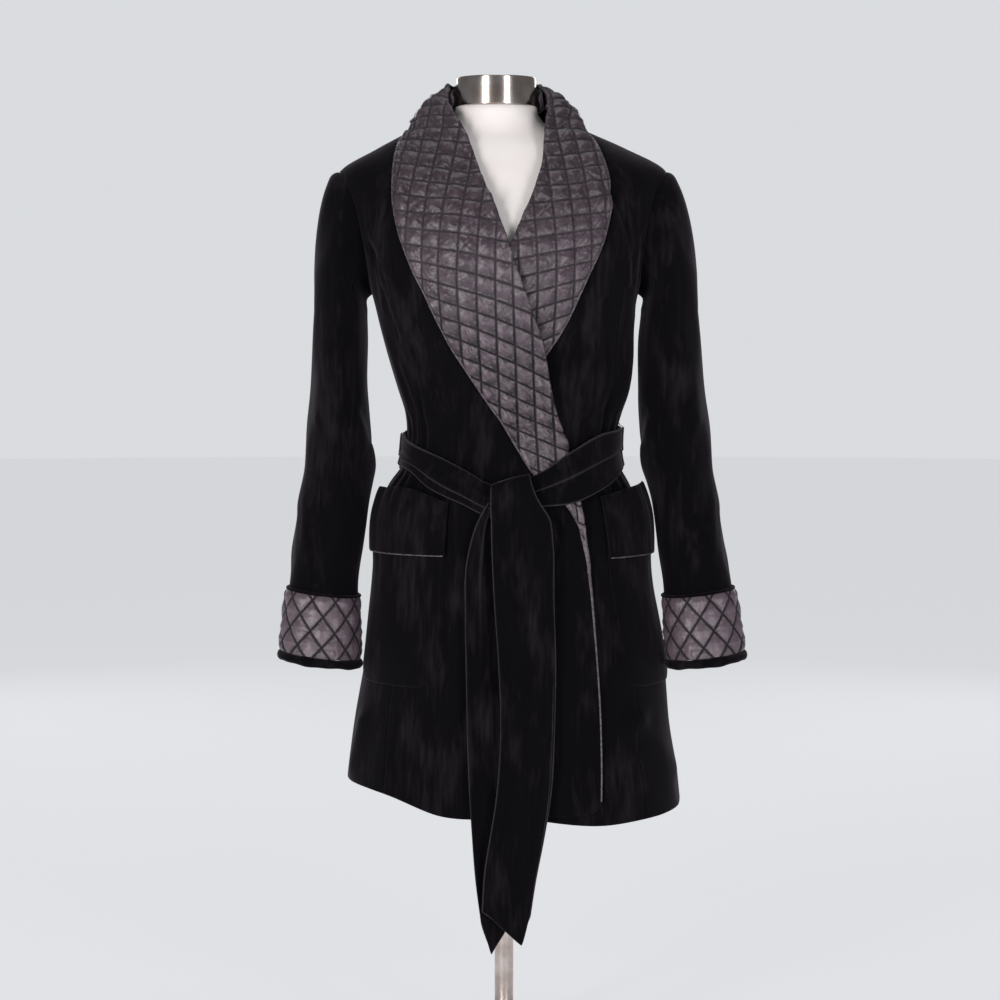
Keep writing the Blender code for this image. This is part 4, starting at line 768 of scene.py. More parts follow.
@dataclass(frozen=True)
class QuiltedSatin:
    """Grey mauve satin with quilting lines pressed into it by its stitches, and painted light: painted
    shade in the grooves, in one corner of each cell, over the collar's top and under its roll, painted
    highlights beside the grooves and painted light on the cuffs.
    """

    name: str = "quilted_satin"
    light: Colour = rgb(0.104, 0.073, 0.092)
    dark: Colour = rgb(0.052, 0.034, 0.045)
    # Painted light on the low pieces, the cuffs.
    cuff_light: Colour = rgb(0.175, 0.130, 0.155)
    # Painted shade over the collar's top.
    shade: Colour = rgb(0.020, 0.013, 0.017)
    # Colour of the painted shade in the quilting's grooves, in the cells and under the roll.
    line: Colour = rgb(0.0035, 0.0025, 0.0035)
    # Painted highlight beside the grooves.
    ridge: Colour = rgb(0.190, 0.150, 0.172)
    line_width: float = 0.11

    def make(self) -> bpy.types.Material:
        """Builds the material.

        Returns:
            The material.
        """
        shader = Shader(self.name)
        cloth, quilt = shader.uv("cloth"), shader.uv("quilt")
        cells = [shader.part(quilt, index) for index in (0, 1)]
        near = [cell.maths("PINGPONG", cell, 0.5) for cell in cells]
        inside = [cell.maths("FRACT", cell, 0.0) for cell in cells]
        closest = near[0].maths("MINIMUM", near[0], near[1])
        # The grooves along the quilting lines get painted shade, fuller low on the collar.
        line = 1.0 - shader.between(closest, 0.0, self.line_width)
        dip = 1.0 - shader.between(closest, 0.0, 0.24)
        crushed = shader.noise(cloth, 150.0, 3.0, 0.6)
        blotch = shader.noise(cloth, 38.0, 2.0, 0.5)
        tone = shader.between(crushed * 0.6 + blotch * 0.4, 0.34, 0.66)
        height = shader.part(shader.place(), 2)
        low = 1.0 - shader.between(height, 0.56, 0.70)
        high = shader.between(height, 0.88, 1.04)
        base = shader.mix(tone, self.dark, self.light)
        # Painted light on the cuffs, low down.
        base = shader.mix(low * 0.55, base, self.cuff_light)
        # Painted shade over the collar's top, where it turns up and away.
        base = shader.mix(high * 0.50, base, self.shade)
        # Painted shade in one corner of each cell and near the grooves, stronger low on the collar.
        deep = 1.0 - shader.between(height, 0.78, 0.95)
        painted_cell_shade = 1.0 - shader.between(inside[1] - inside[0] + crushed * 0.5, -0.35, 0.35)
        base = shader.mix(painted_cell_shade * (0.24 + 0.52 * deep * (1.0 - low)), base, self.line)
        base = shader.mix(dip * (0.22 + 0.22 * deep), base, self.line)
        # Painted highlight beside the grooves.
        painted_ridge_highlight = shader.between(closest, 0.07, 0.13) * (1.0 - shader.between(closest, 0.13, 0.22))
        base = shader.mix(painted_ridge_highlight * shader.between(crushed, 0.46, 0.60) * 0.50, base, self.ridge)
        # Painted shade under the over collar's roll, from the 'edge' numbers.
        roll_painted_shade = shader.attribute("edge")
        base = shader.mix(roll_painted_shade, base, self.line)
        # Base colour darkened toward the painted shade colour in the grooves.
        shader.set(
            Base_Color=shader.mix(line * (0.40 + 0.36 * deep), base, self.line),
            Roughness=0.26 + 0.16 * crushed + 0.40 * line,
            Sheen_Weight=0.18,
            Sheen_Roughness=0.35,
            Sheen_Tint=rgb(0.85, 0.80, 0.86),
            Specular_IOR_Level=0.55,
            Anisotropic=0.35,
        )
        # A matt dark sheet of painted shade in the grooves and under the roll.
        groove = line * (0.20 + 0.34 * deep)
        shader.lay_painted_shade(groove + (1.0 - groove) * roll_painted_shade * 0.85, self.line)
        weave = shader.bump(shader.waves(cloth, "DIAGONAL", 460.0, 1.2), 0.00025, 0.20)
        puckers = shader.noise(cloth, 300.0, 2.0, 0.6) * dip
        shader.set(Normal=shader.bump(puckers + crushed * 0.55, 0.0019, 0.70, weave))
        return shader.material


@dataclass(frozen=True)
class PlainSatin:
    """Plain satin of the edge cords, the collar's stand and the facings."""

    name: str = "satin_cord"
    light: Colour = rgb(0.115, 0.090, 0.106)
    dark: Colour = rgb(0.035, 0.026, 0.033)

    def make(self) -> bpy.types.Material:
        """Builds the material.

        Returns:
            The material.
        """
        shader = Shader(self.name)
        place = shader.place()
        tone = shader.between(shader.noise(place, 320.0, 2.0), 0.35, 0.65)
        twist = shader.waves(place, "DIAGONAL", 520.0, 0.6, 2.0)
        shader.set(
            Base_Color=shader.mix(tone, self.dark, self.light),
            Roughness=0.40,
            Sheen_Weight=0.15,
            Specular_IOR_Level=0.5,
            Normal=shader.bump(twist, 0.0002, 0.25),
        )
        return shader.material


@dataclass(frozen=True)
class Thread:
    """Dark polished thread of the quilting stitches."""

    name: str = "quilting_thread"
    dark: Colour = rgb(0.006, 0.005, 0.006)
    light: Colour = rgb(0.026, 0.021, 0.026)

    def make(self) -> bpy.types.Material:
        """Builds the material.

        Returns:
            The material.
        """
        shader = Shader(self.name)
        ply = shader.noise(shader.place(), 1800.0, 1.0)
        shader.set(
            Base_Color=shader.mix(shader.between(ply, 0.4, 0.6), self.dark, self.light),
            Roughness=0.70,
            Specular_IOR_Level=0.15,
            Normal=shader.bump(ply, 0.0001, 0.4),
        )
        return shader.material


@dataclass(frozen=True)
class Jersey:
    """White jersey stretched over the form, with fine upright knit ribs."""

    name: str = "white_jersey"
    light: Colour = rgb(0.95, 0.89, 0.87)
    dark: Colour = rgb(0.91, 0.845, 0.825)

    def make(self) -> bpy.types.Material:
        """Builds the material.

        Returns:
            The material.
        """
        shader = Shader(self.name)
        place, cloth = shader.place(), shader.uv("cloth")
        ribs = shader.waves(cloth, "X", 260.0, 0.8)
        rows = shader.waves(cloth, "Y", 330.0, 0.8)
        soft = shader.noise(place, 14.0, 3.0)
        shader.set(
            Base_Color=shader.mix(shader.between(soft, 0.38, 0.66), self.light, self.dark),
            Roughness=0.82,
            Sheen_Weight=0.25,
            Specular_IOR_Level=0.25,
            Normal=shader.bump(ribs * rows, 0.00015, 0.22),
        )
        return shader.material


@dataclass(frozen=True)
class Steel:
    """Turned steel of the neck cap, pole and base."""

    name: str = "turned_steel"
    tone: Colour = rgb(0.68, 0.61, 0.575)
    shade: Colour = rgb(0.44, 0.36, 0.325)
    rough: float = 0.16

    def make(self) -> bpy.types.Material:
        """Builds the material.

        Returns:
            The material.
        """
        shader = Shader(self.name)
        place = shader.place()
        lines = shader.noise(shader.scaled(place, (18.0, 18.0, 900.0)), 1.0, 2.0)
        smudge = shader.noise(place, 32.0, 3.0)
        shader.set(
            Base_Color=shader.mix(shader.between(smudge, 0.35, 0.75), self.tone, self.shade),
            Metallic=1.0,
            Roughness=shader.ranged(lines * 0.6 + smudge * 0.4, self.rough * 0.7, self.rough * 1.7),
            Normal=shader.bump(lines, 0.0001, 0.10),
        )
        return shader.material


class Finishes:
    """The materials, made once."""

    def __init__(self) -> None:
        """Builds every finish."""
        self.velvet = Velvet().make()
        self.satin = QuiltedSatin().make()
        self.cord = PlainSatin().make()
        self.thread = Thread().make()
        self.jersey = Jersey().make()
        self.steel = Steel().make()
        self.dull_steel = Steel(name="satin_steel", rough=0.30).make()

    def slots(self) -> dict[str, str]:
        """The record's slot that each material takes its place from.

        Returns:
            A slot for each name.
        """
        return {
            self.velvet.name: "black_velvet",
            self.satin.name: "quilted_satin",
            self.cord.name: "quilted_satin",
            self.thread.name: "quilted_satin",
            self.jersey.name: "white_jersey",
            self.steel.name: "brushed_steel",
            self.dull_steel.name: "brushed_steel",
        }


@dataclass
class Shell:
    """A closed cloth wall between two grids of points, with its cloth coordinates."""

    name: str
    outer: Array
    inner: Array
    ring: bool = False
    cloth: Array | None = None
    quilt: Array | None = None
    edge: Array | None = None

    def size(self) -> Point:
        """Width, length and area of the cloth, laid flat.

        Returns:
            Width, length and area.
        """
        middle = (self.outer + self.inner) / 2.0
        if self.ring:
            middle = np.concatenate([middle, middle[:, :1]], axis=1)
        width = float(run_lengths(middle, 1)[:, -1].max())
        length = float(run_lengths(middle, 0)[-1].max())
        across, along = middle[:-1, 1:] - middle[:-1, :-1], middle[1:, :-1] - middle[:-1, :-1]
        area = float(np.linalg.norm(np.cross(across, along), axis=-1).sum())
        return width, length, min(area, width * length)

    def round_edges(
        self, radius: float, sides: str = "lrbt", thin: float = 0.12, worn: float = 0.0
    ) -> "Shell":
        """Rounds the wall's outer face down at its edges, and notes how near each point is to one.

        Args:
            radius: how far in the rounding reaches.
            sides: which edges, of left, right, bottom and top.
            thin: the share of the thickness that stays at the very edge.
            worn: how much paler the pile is painted along those edges: painted sheen, and partly wear.

        Returns:
            This shell.
        """
        across, along = run_lengths(self.outer, 1), run_lengths(self.outer, 0)
        apart = np.full(across.shape, 1.0)
        if "l" in sides:
            apart = np.minimum(apart, across)
        if "r" in sides:
            apart = np.minimum(apart, across[:, -1:] - across)
        if "b" in sides:
            apart = np.minimum(apart, along)
        if "t" in sides:
            apart = np.minimum(apart, along[-1:] - along)
        drop = np.sqrt(np.clip(1.0 - (1.0 - np.clip(apart / radius, 0.0, 1.0)) ** 2, 0.0, 1.0))
        self.outer = self.inner + (self.outer - self.inner) * (thin + (1.0 - thin) * drop)[..., None]
        # The 'edge' numbers carry painted sheen along velvet edges, partly wear.
        self.edge = worn * np.exp(-((apart / 0.0012) ** 2))
        return self

    def quads(self, start: int, flip: bool) -> Array:
        """Quads of one face of the wall."""
        faces = grid_faces(*self.outer.shape[:2], start, self.ring)
        return faces[:, ::-1] if flip else faces

    def rims(self) -> Array:
        """Quads that close the wall at its edges.

        Returns:
            Four point numbers for each quad.
        """
        rows, columns = self.outer.shape[:2]
        count = rows * columns
        lines = [np.arange(columns), (rows - 1) * columns + np.arange(columns)]
        if self.ring:
            lines = [np.append(line, line[0]) for line in lines]
        else:
            lines += [np.arange(rows) * columns, np.arange(rows) * columns + columns - 1]
        turn = [True, False] if self.ring else [True, False, False, True]
        faces = []
        for line, back in zip(lines, turn):
            quad = np.stack([line[:-1], line[1:], line[1:] + count, line[:-1] + count], axis=-1)
            faces.append(quad[:, ::-1] if back else quad)
        return np.vstack(faces)

    def build(self, material: bpy.types.Material) -> bpy.types.Object:
        """Makes the mesh object.

        Args:
            material: its material.

        Returns:
            The object.
        """
        rows, columns = self.outer.shape[:2]
        count = rows * columns
        faces = np.vstack([self.quads(0, False), self.quads(count, True), self.rims()[:, ::-1]])
        middle = columns // 2
        around = self.outer[:, middle] - self.outer[:, middle - 1]
        upward = np.gradient(self.outer, axis=0)[:, middle]
        facing = np.sum(np.cross(around, upward) * (self.outer - self.inner)[:, middle], axis=-1)
        if facing.mean() < 0.0:
            faces = faces[:, ::-1]
        points = np.vstack([self.outer.reshape(-1, 3), self.inner.reshape(-1, 3)])
        mesh = mesh_of(self.name, points, faces)
        if self.cloth is None:
            self.cloth = np.stack([run_lengths(self.outer, 1), run_lengths(self.outer, 0)], axis=-1)
        corners = faces.reshape(-1)
        for name, values in (("cloth", self.cloth), ("quilt", self.quilt)):
            if values is not None:
                layer = mesh.uv_layers.new(name=name)
                both = np.vstack([values.reshape(-1, 2)] * 2)
                layer.data.foreach_set("uv", both[corners].astype(np.float32).reshape(-1))
        # The 'edge' numbers carry painted light: painted sheen, partly wear, along velvet edges, and
        # painted shade under the collar's roll.
        if self.edge is not None:
            kept = mesh.attributes.new("edge", "FLOAT", "POINT")
            both = np.concatenate([self.edge.reshape(-1)] * 2)
            kept.data.foreach_set("value", both.astype(np.float32))
        return object_of(self.name, mesh, material)


def mesh_of(name: str, points: Array, faces: Array | list[tuple[int, ...]]) -> bpy.types.Mesh:
    """A smooth shaded mesh from points and faces.

    Args:
        name: the name it gets.
        points: its points.
        faces: point numbers of each face.

    Returns:
        The mesh.
    """
    mesh = bpy.data.meshes.new(name)
    listed = faces.tolist() if isinstance(faces, np.ndarray) else faces
    mesh.from_pydata(points.tolist(), [], listed)
    mesh.shade_smooth()
    return mesh


def object_of(name: str, mesh: bpy.types.Mesh, material: bpy.types.Material) -> bpy.types.Object:
    """Puts a mesh in the scene, at the origin, with its material.

    Args:
        name: the name it gets.
        mesh: its mesh.
        material: its material.

    Returns:
        The object.
    """
    mesh.materials.append(material)
    made = bpy.data.objects.new(name, mesh)
    bpy.context.collection.objects.link(made)
    return made


class PathWork:
    """Geometry Nodes that follow lines on the cloth: cords and rows of stitches."""

    def __init__(self) -> None:
        """Builds both trees."""
        self.cord_tree = self.tree("edge cord", ("Radius",))
        self.stitch_tree = self.tree("stitch rows", ("Radius", "Length", "Spacing"))
        self.fill_cord()
        self.fill_stitches()

    def tree(self, name: str, sizes: Sequence[str]) -> bpy.types.NodeTree:
        """A geometry tree with named sizes and a material as inputs.

        Args:
            name: the name it gets.
            sizes: names of its sizes.

        Returns:
            The tree.
        """
        made = bpy.data.node_groups.new(name, "GeometryNodeTree")
        made.interface.new_socket("Geometry", in_out="INPUT", socket_type="NodeSocketGeometry")
        for size in sizes:
            made.interface.new_socket(size, in_out="INPUT", socket_type="NodeSocketFloat")
        made.interface.new_socket("Material", in_out="INPUT", socket_type="NodeSocketMaterial")
        made.interface.new_socket("Geometry", in_out="OUTPUT", socket_type="NodeSocketGeometry")
        return made

    def chain(self, tree: bpy.types.NodeTree, kinds: Sequence[str]) -> list[bpy.types.Node]:
        """Adds nodes and joins each one's geometry to the next.

        Args:
            tree: the tree to add to.
            kinds: node types, in order.

        Returns:
            The nodes.
        """
        made = [tree.nodes.new(kind) for kind in kinds]
        for first, second in zip(made, made[1:]):
            tree.links.new(first.outputs[0], second.inputs[0])
        return made

    def fill_cord(self) -> None:
        """A round cord along the lines."""
        tree = self.cord_tree
        kinds = ["NodeGroupInput", "GeometryNodeMeshToCurve", "GeometryNodeCurveToMesh",
                 "GeometryNodeRealizeInstances", "GeometryNodeSetShadeSmooth",
                 "GeometryNodeSetMaterial", "NodeGroupOutput"]
        start, _, tube, _, _, dress, _ = self.chain(tree, kinds)
        ring = tree.nodes.new("GeometryNodeCurvePrimitiveCircle")
        ring.inputs["Resolution"].default_value = 8
        tree.links.new(start.outputs["Radius"], ring.inputs["Radius"])
        tree.links.new(ring.outputs["Curve"], tube.inputs["Profile Curve"])
        tube.inputs["Fill Caps"].default_value = True
        tree.links.new(start.outputs["Material"], dress.inputs["Material"])

    def fill_stitches(self) -> None:
        """A small rounded stitch at each step along the lines."""
        tree = self.stitch_tree
        kinds = ["NodeGroupInput", "GeometryNodeMeshToCurve", "GeometryNodeCurveToPoints",
                 "GeometryNodeInstanceOnPoints", "GeometryNodeRealizeInstances",
                 "GeometryNodeSetShadeSmooth", "GeometryNodeSetMaterial", "NodeGroupOutput"]
        start, _, points, scatter, _, _, dress, _ = self.chain(tree, kinds)
        points.mode = "LENGTH"
        tree.links.new(start.outputs["Spacing"], points.inputs["Length"])
        bead = tree.nodes.new("GeometryNodeMeshIcoSphere")
        bead.inputs["Subdivisions"].default_value = 1
        bead.inputs["Radius"].default_value = 1.0
        shape = tree.nodes.new("ShaderNodeCombineXYZ")
        tree.links.new(start.outputs["Radius"], shape.inputs["X"])
        tree.links.new(start.outputs["Radius"], shape.inputs["Y"])
        half = tree.nodes.new("ShaderNodeMath")
        half.operation = "MULTIPLY"
        half.inputs[1].default_value = 0.5
        tree.links.new(start.outputs["Length"], half.inputs[0])
        tree.links.new(half.outputs[0], shape.inputs["Z"])
        tree.links.new(bead.outputs["Mesh"], scatter.inputs["Instance"])
        tree.links.new(points.outputs["Rotation"], scatter.inputs["Rotation"])
        tree.links.new(shape.outputs[0], scatter.inputs["Scale"])
        tree.links.new(start.outputs["Material"], dress.inputs["Material"])

    def run(
        self, name: str, tree: bpy.types.NodeTree, lines: Sequence[Array], sizes: dict[str, float],
        material: bpy.types.Material,
    ) -> bpy.types.Object:
        """Runs a tree over lines and keeps the result as a plain mesh.

        Args:
            name: the piece's name.
            tree: the geometry tree.
            lines: each line's points. One that ends where it starts is a loop.
            sizes: the tree's named sizes.
            material: what the piece is made of.

        Returns:
            The finished piece.
        """
        points: list[Array] = []
        edges: list[tuple[int, int]] = []
        for line in lines:
            start = sum(len(kept) for kept in points)
            closed = float(np.linalg.norm(line[0] - line[-1])) < 1e-7
            line = line[:-1] if closed else line
            points.append(line)
            edges += [(start + k, start + k + 1) for k in range(len(line) - 1)]
            if closed:
                edges.append((start + len(line) - 1, start))
        mesh = bpy.data.meshes.new(name + "_lines")
        mesh.from_pydata(np.vstack(points).tolist(), edges, [])
        made = bpy.data.objects.new(name, mesh)
        bpy.context.collection.objects.link(made)
        modifier = made.modifiers.new("path work", "NODES")
        modifier.node_group = tree
        for item in tree.interface.items_tree:
            if item.in_out == "INPUT" and item.name in sizes:
                modifier[item.identifier] = float(sizes[item.name])
            if item.in_out == "INPUT" and item.name == "Material":
                modifier[item.identifier] = material
        made.update_tag()
        graph = bpy.context.evaluated_depsgraph_get()
        plain = bpy.data.meshes.new_from_object(made.evaluated_get(graph))
        made.modifiers.clear()
        plain.name = name
        made.data = plain
        plain.materials.clear()
        plain.materials.append(material)
        plain.polygons.foreach_set("material_index", np.zeros(len(plain.polygons), np.int32))
        return made

    def cord(
        self, name: str, lines: Sequence[Array], radius: float, material: bpy.types.Material
    ) -> bpy.types.Object:
        """A cord along lines."""
        return self.run(name, self.cord_tree, lines, {"Radius": radius}, material)

    def stitches(
        self, name: str, lines: Sequence[Array], material: bpy.types.Material,
        radius: float = 0.00030, length: float = 0.0026, spacing: float = 0.0036,
    ) -> bpy.types.Object:
        """Rows of stitches along lines."""
        sizes = {"Radius": radius, "Length": length, "Spacing": spacing}
        return self.run(name, self.stitch_tree, lines, sizes, material)


@dataclass
class Workshop:
    """What every sub-assembly shares: the form, the layers, the finishes and the path work."""

    form: BodyForm
    layers: Layers
    finishes: Finishes
    paths: PathWork
    triangles: int = 0

    def keep(self, piece: bpy.types.Object, *nodes: str) -> bpy.types.Object:
        """Rides a piece on the frame, looks up its material's slot and lets it stand for CAD nodes.

        Args:
            piece: the finished piece.
            nodes: the CAD nodes it stands for.

        Returns:
            The piece.
        """
        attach(piece, BODY)
        self.finishes.slots()[piece.data.materials[0].name]
        if nodes:
            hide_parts(*nodes)
        count = sum(len(face.vertices) - 2 for face in piece.data.polygons)
        self.triangles += count
        LOG.info("%s: %d triangles, %d in all", piece.name, count, self.triangles)
        return piece

    def laid(self, name: str, phi: Array, z: Array, lift: Array) -> Shell:
        """A velvet wall laid on the body, with its inner face at a height over the form."""
        outer = self.form.cloth(phi, z, lift + self.layers.velvet)
        return Shell(name, outer, self.form.cloth(phi, z, lift))

    def velvet(self, shell: Shell, held: str, rests: Sequence[str], *nodes: str) -> None:
        """Builds a velvet piece."""
        self.sheet(shell, self.finishes.velvet, held, rests, *nodes)

    def sheet(
        self, shell: Shell, material: bpy.types.Material, held: str, rests: Sequence[str], *nodes: str
    ) -> None:
        """Args:
            shell: the cloth wall.
            material: its material.
            held: how it is held. Not used.
            rests: the CAD nodes it lies on. Not used.
            nodes: the CAD nodes it stands for.
        """
        piece = self.keep(shell.build(material), *nodes)
        width, length, area = shell.size()


@dataclass
class BodyPanels:
    """Fronts, side fronts and backs of the jacket."""

    shop: Workshop
    hem_level: float = 0.290
    armhole_bottom: float = 0.878
    armhole_top: float = 1.018
    neck_seam: float = 1.088
    back_neck_seam: float = 1.078
    armhole_front: float = 17.5
    armhole_back: float = 21.0
    seam_half: float = 0.006
    seam_share: float = 4.0 / 9.0
    neck_share: float = 8.0 / 9.0
    corner: float = 0.016
    edge_round: float = 0.0017
    edge_thin: float = 0.42
    facing_low: float = 0.306
    facing_high: float = 0.618

    def armhole(self, alpha: Array, sign: float) -> tuple[Array, Array]:
        """Angle and height of the armhole, by angle from its top towards the front.

        Args:
            alpha: angles from the top, in degrees.
            sign: 1 or -1, for the side.

        Returns:
            Angles round the form and heights.
        """
        wave = np.sin(np.radians(alpha))
        reach = np.where(wave >= 0.0, self.armhole_front, self.armhole_back)
        middle = (self.armhole_top + self.armhole_bottom) / 2.0
        half = (self.armhole_top - self.armhole_bottom) / 2.0
        return sign * (90.0 - reach * wave), middle + half * np.cos(np.radians(alpha))

    def seam_phi(self, z: Array | float, sign: float) -> Array:
        """Angle of the long seam below the armhole."""
        return sign * LONG_SEAM("phi", z)

    def seam_top(self, share: Array, sign: float) -> tuple[Array, Array]:
        """The long seam where it curves up into the armhole.

        Args:
            share: shares up the curve.
            sign: 1 or -1, for the side.

        Returns:
            Angles round the form and heights.
        """
        end_phi, end_z = self.armhole(np.array(180.0 * (1.0 - self.seam_share)), 1.0)
        start = self.seam_phi(self.armhole_bottom, 1.0)
        phi = start + (end_phi - start) * share**2.2
        return sign * phi, self.armhole_bottom + (end_z - self.armhole_bottom) * share**0.75

    def fill(self, bottom: Array, top: Array, left: Array, right: Array, u: Array, v: Array) -> Array:
        """Angles and heights filled in between four edges.

        Args:
            bottom: angles and heights along the bottom.
            top: the same along the top.
            left: the same up the left.
            right: the same up the right.
            u: shares across.
            v: shares up.

        Returns:
            Angles and heights in rows.
        """
        u, v = u[None, :, None], v[:, None, None]
        ruled = (1 - v) * bottom[None] + v * top[None] + (1 - u) * left[:, None] + u * right[:, None]
        corners = (1 - u) * (1 - v) * bottom[0] + u * (1 - v) * bottom[-1]
        return ruled - corners - (1 - u) * v * top[0] - u * v * top[-1]

    def whole(self, phi: Array, z: Array, top: Array, left: Array, right: Array,
              u: Array, v: Array) -> tuple[Array, Array]:
        """Adds the part over the armhole's foot to a panel's lower rows.

        Args:
            phi: angles of the lower rows.
            z: heights of the lower rows.
            top: angles and heights along the shoulder and neck.
            left: the same up the armhole.
            right: the same up the free edge or the middle of the back.
            u: shares across.
            v: shares up.

        Returns:
            Angles and heights of the whole panel.
        """
        left[-1], right[-1] = top[0], top[-1]
        high = self.fill(np.stack([phi[-1], z[-1]], axis=-1), top, left, right, u, v)
        return self.narrowed(np.vstack([phi, high[..., 0]])), np.vstack([z, high[..., 1]])

    def narrowed(self, phi: Array) -> Array:
        """Rows of angles drawn in by half the seam gap at both ends.

        Args:
            phi: angles in rows.

        Returns:
            Angles in rows.
        """
        step = math.degrees(self.shop.layers.sewn_gap / 2.0 / self.shop.form.fold_reach)
        shares = np.linspace(1.0, -1.0, phi.shape[1])[None, :]
        return phi + step * shares * np.sign(phi[:, -1:] - phi[:, :1])

    def wall(self, name: str, phi: Array, z: Array, lift: Array) -> Shell:
        """The panel's wall, rounded at its edges."""
        return self.shop.laid(name, phi, z, lift).round_edges(self.edge_round, "lrbt", self.edge_thin)

    def front(self, side: Side, edge: Table, hem: str, height: HeightField) -> None:
        """Front panel, from its long seam to its free edge, up to the shoulder and neck.

        Args:
            side: the wearer's side.
            edge: the free edge, by height.
            hem: the column of the hem's table.
            height: height of the panel over the form.
        """
        sign, form = side.value, self.shop.form
        u = spread(52, 0.17)
        low, high_v = spread(92, 0.59, end=False), spread(44, 0.21, start=False)[1:]
        share = u[None, :]
        hem_edge = form.phi_at(edge("x", self.hem_level), self.hem_level)
        hem_phi = self.seam_phi(self.hem_level, sign) * (1 - share) + hem_edge * share
        hem_z = HEM(hem, hem_phi)
        if side is Side.RIGHT:
            near = np.clip(1.0 - (1.0 - share) * 0.19 / self.corner, 0.0, 1.0)
            hem_z = hem_z + self.corner * 0.8 * (1.0 - np.sqrt(np.clip(1.0 - near**2, 0.0, 1.0)))
        z = hem_z + (self.armhole_bottom - hem_z) * low[:, None]
        free = form.phi_at(edge("x", z[:, -1]), z[:, -1])
        phi = self.seam_phi(z[:, :1], sign) * (1 - share) + free[:, None] * share

        rise = np.clip(high_v / self.seam_share, 0.0, 1.0)
        left_phi, left_z = self.armhole(180.0 * (1.0 - high_v), sign)
        seam_phi, seam_z = self.seam_top(rise, sign)
        below = high_v <= self.seam_share
        left = np.stack([np.where(below, seam_phi, left_phi), np.where(below, seam_z, left_z)], axis=-1)
        edge_z = self.armhole_bottom + (self.neck_seam - self.armhole_bottom) * high_v
        edge_phi = form.phi_at(edge("x", edge_z), edge_z)
        seam = sign * (90.0 - self.seam_half)
        last = self.neck_share
        turn_z = self.armhole_bottom + (self.neck_seam - self.armhole_bottom) * last
        turn_phi = float(form.phi_at(edge("x", turn_z), np.array(turn_z)))
        over_top = np.clip((high_v - last) / (1.0 - last), 0.0, 1.0)
        edge_phi = np.where(high_v > last, turn_phi + (seam - turn_phi) * over_top, edge_phi)
        right = np.stack([edge_phi, edge_z], axis=-1)
        top_z = self.armhole_top + (self.neck_seam - self.armhole_top) * u
        top = np.stack([np.full_like(u, seam), top_z], axis=-1)
        phi, z = self.whole(phi, z, top, left, right, u, high_v)
        shell = self.wall(f"velvet_front_{side.word}", phi, z, height(phi, z))
        rests = ["form_torso", "form_torso"] if side is Side.LEFT else ["front_left", "form_torso"]
        self.shop.velvet(shell, "draped", rests, f"front_{side.word}")

    def side_front(self, side: Side, hem: str, height: HeightField) -> None:
        """Side front panel, ending in the armhole.

        Args:
            side: the wearer's side.
            hem: the column of the hem's table.
            height: height of the panel over the form.
        """
        sign = side.value
        u, low = spread(22, 0.08), spread(92, 0.59, end=False)
        share = u[None, :]
        hem_phi = sign * 90.0 * (1 - share) + self.seam_phi(self.hem_level, sign) * share
        hem_z = HEM(hem, hem_phi)
        z = hem_z + (self.armhole_bottom - hem_z) * low[:, None]
        phi = sign * 90.0 * (1 - share) + self.seam_phi(z[:, -1:], sign) * share
        rise = np.linspace(0.0, 0.992, 30)[1:]
        left_phi, left_z = self.armhole(180.0 - 180.0 * self.seam_share * rise, sign)
        right_phi, right_z = self.seam_top(rise, sign)
        high_phi = left_phi[:, None] * (1 - share) + right_phi[:, None] * share
        high_z = left_z[:, None] * (1 - share) + right_z[:, None] * share
        phi, z = self.narrowed(np.vstack([phi, high_phi])), np.vstack([z, high_z])
        shell = self.wall(f"velvet_side_front_{side.word}", phi, z, height(phi, z))
        self.shop.velvet(shell, "draped", ["form_torso"], f"side_front_{side.word}")

    def back(self, side: Side) -> None:
        """Half of the back, up to the shoulder and neck.

        Args:
            side: the wearer's side.
        """
        sign = side.value
        u = spread(42, 0.20)
        low, high_v = spread(92, 0.59, end=False), spread(44, 0.20, start=False)[1:]
        share = u[None, :]
        row_phi = sign * (90.0 + 90.0 * share)
        hem_z = HEM("over" if side is Side.RIGHT else "under", row_phi)
        z = hem_z + (self.armhole_bottom - hem_z) * low[:, None]
        phi = np.repeat(row_phi, len(low), axis=0)
        left = np.stack(self.armhole(-180.0 * (1.0 - high_v), sign), axis=-1)
        middle_z = self.armhole_bottom + (self.back_neck_seam - self.armhole_bottom) * high_v
        right = np.stack([np.full_like(middle_z, sign * 180.0), middle_z], axis=-1)
        seam = 90.0 + self.seam_half
        over, neck = np.clip(u / 0.5, 0.0, 1.0), np.clip((u - 0.5) / 0.5, 0.0, 1.0)
        top_z = self.armhole_top + (self.neck_seam - self.armhole_top) * over
        top_z = top_z + (self.back_neck_seam - self.neck_seam) * neck
        top = np.stack([sign * (seam + (180.0 - seam) * neck), top_z], axis=-1)
        phi, z = self.whole(phi, z, top, left, right, u, high_v)
        shell = self.wall(f"velvet_back_{side.word}", phi, z, np.zeros_like(z))
        self.shop.velvet(shell, "draped", ["form_torso"], f"back_{side.word}")

    def build(self) -> None:
        """All six panels, and the satin cord down the lapping front's free edge."""
        layers = self.shop.layers
        self.front(Side.RIGHT, OVER_EDGE, "over", layers.over)
        self.front(Side.LEFT, UNDER_EDGE, "under", layers.under)
        self.side_front(Side.RIGHT, "over", layers.over)
        self.side_front(Side.LEFT, "under", layers.under)
        for side in Side:
            self.back(side)
        self.front_facing()

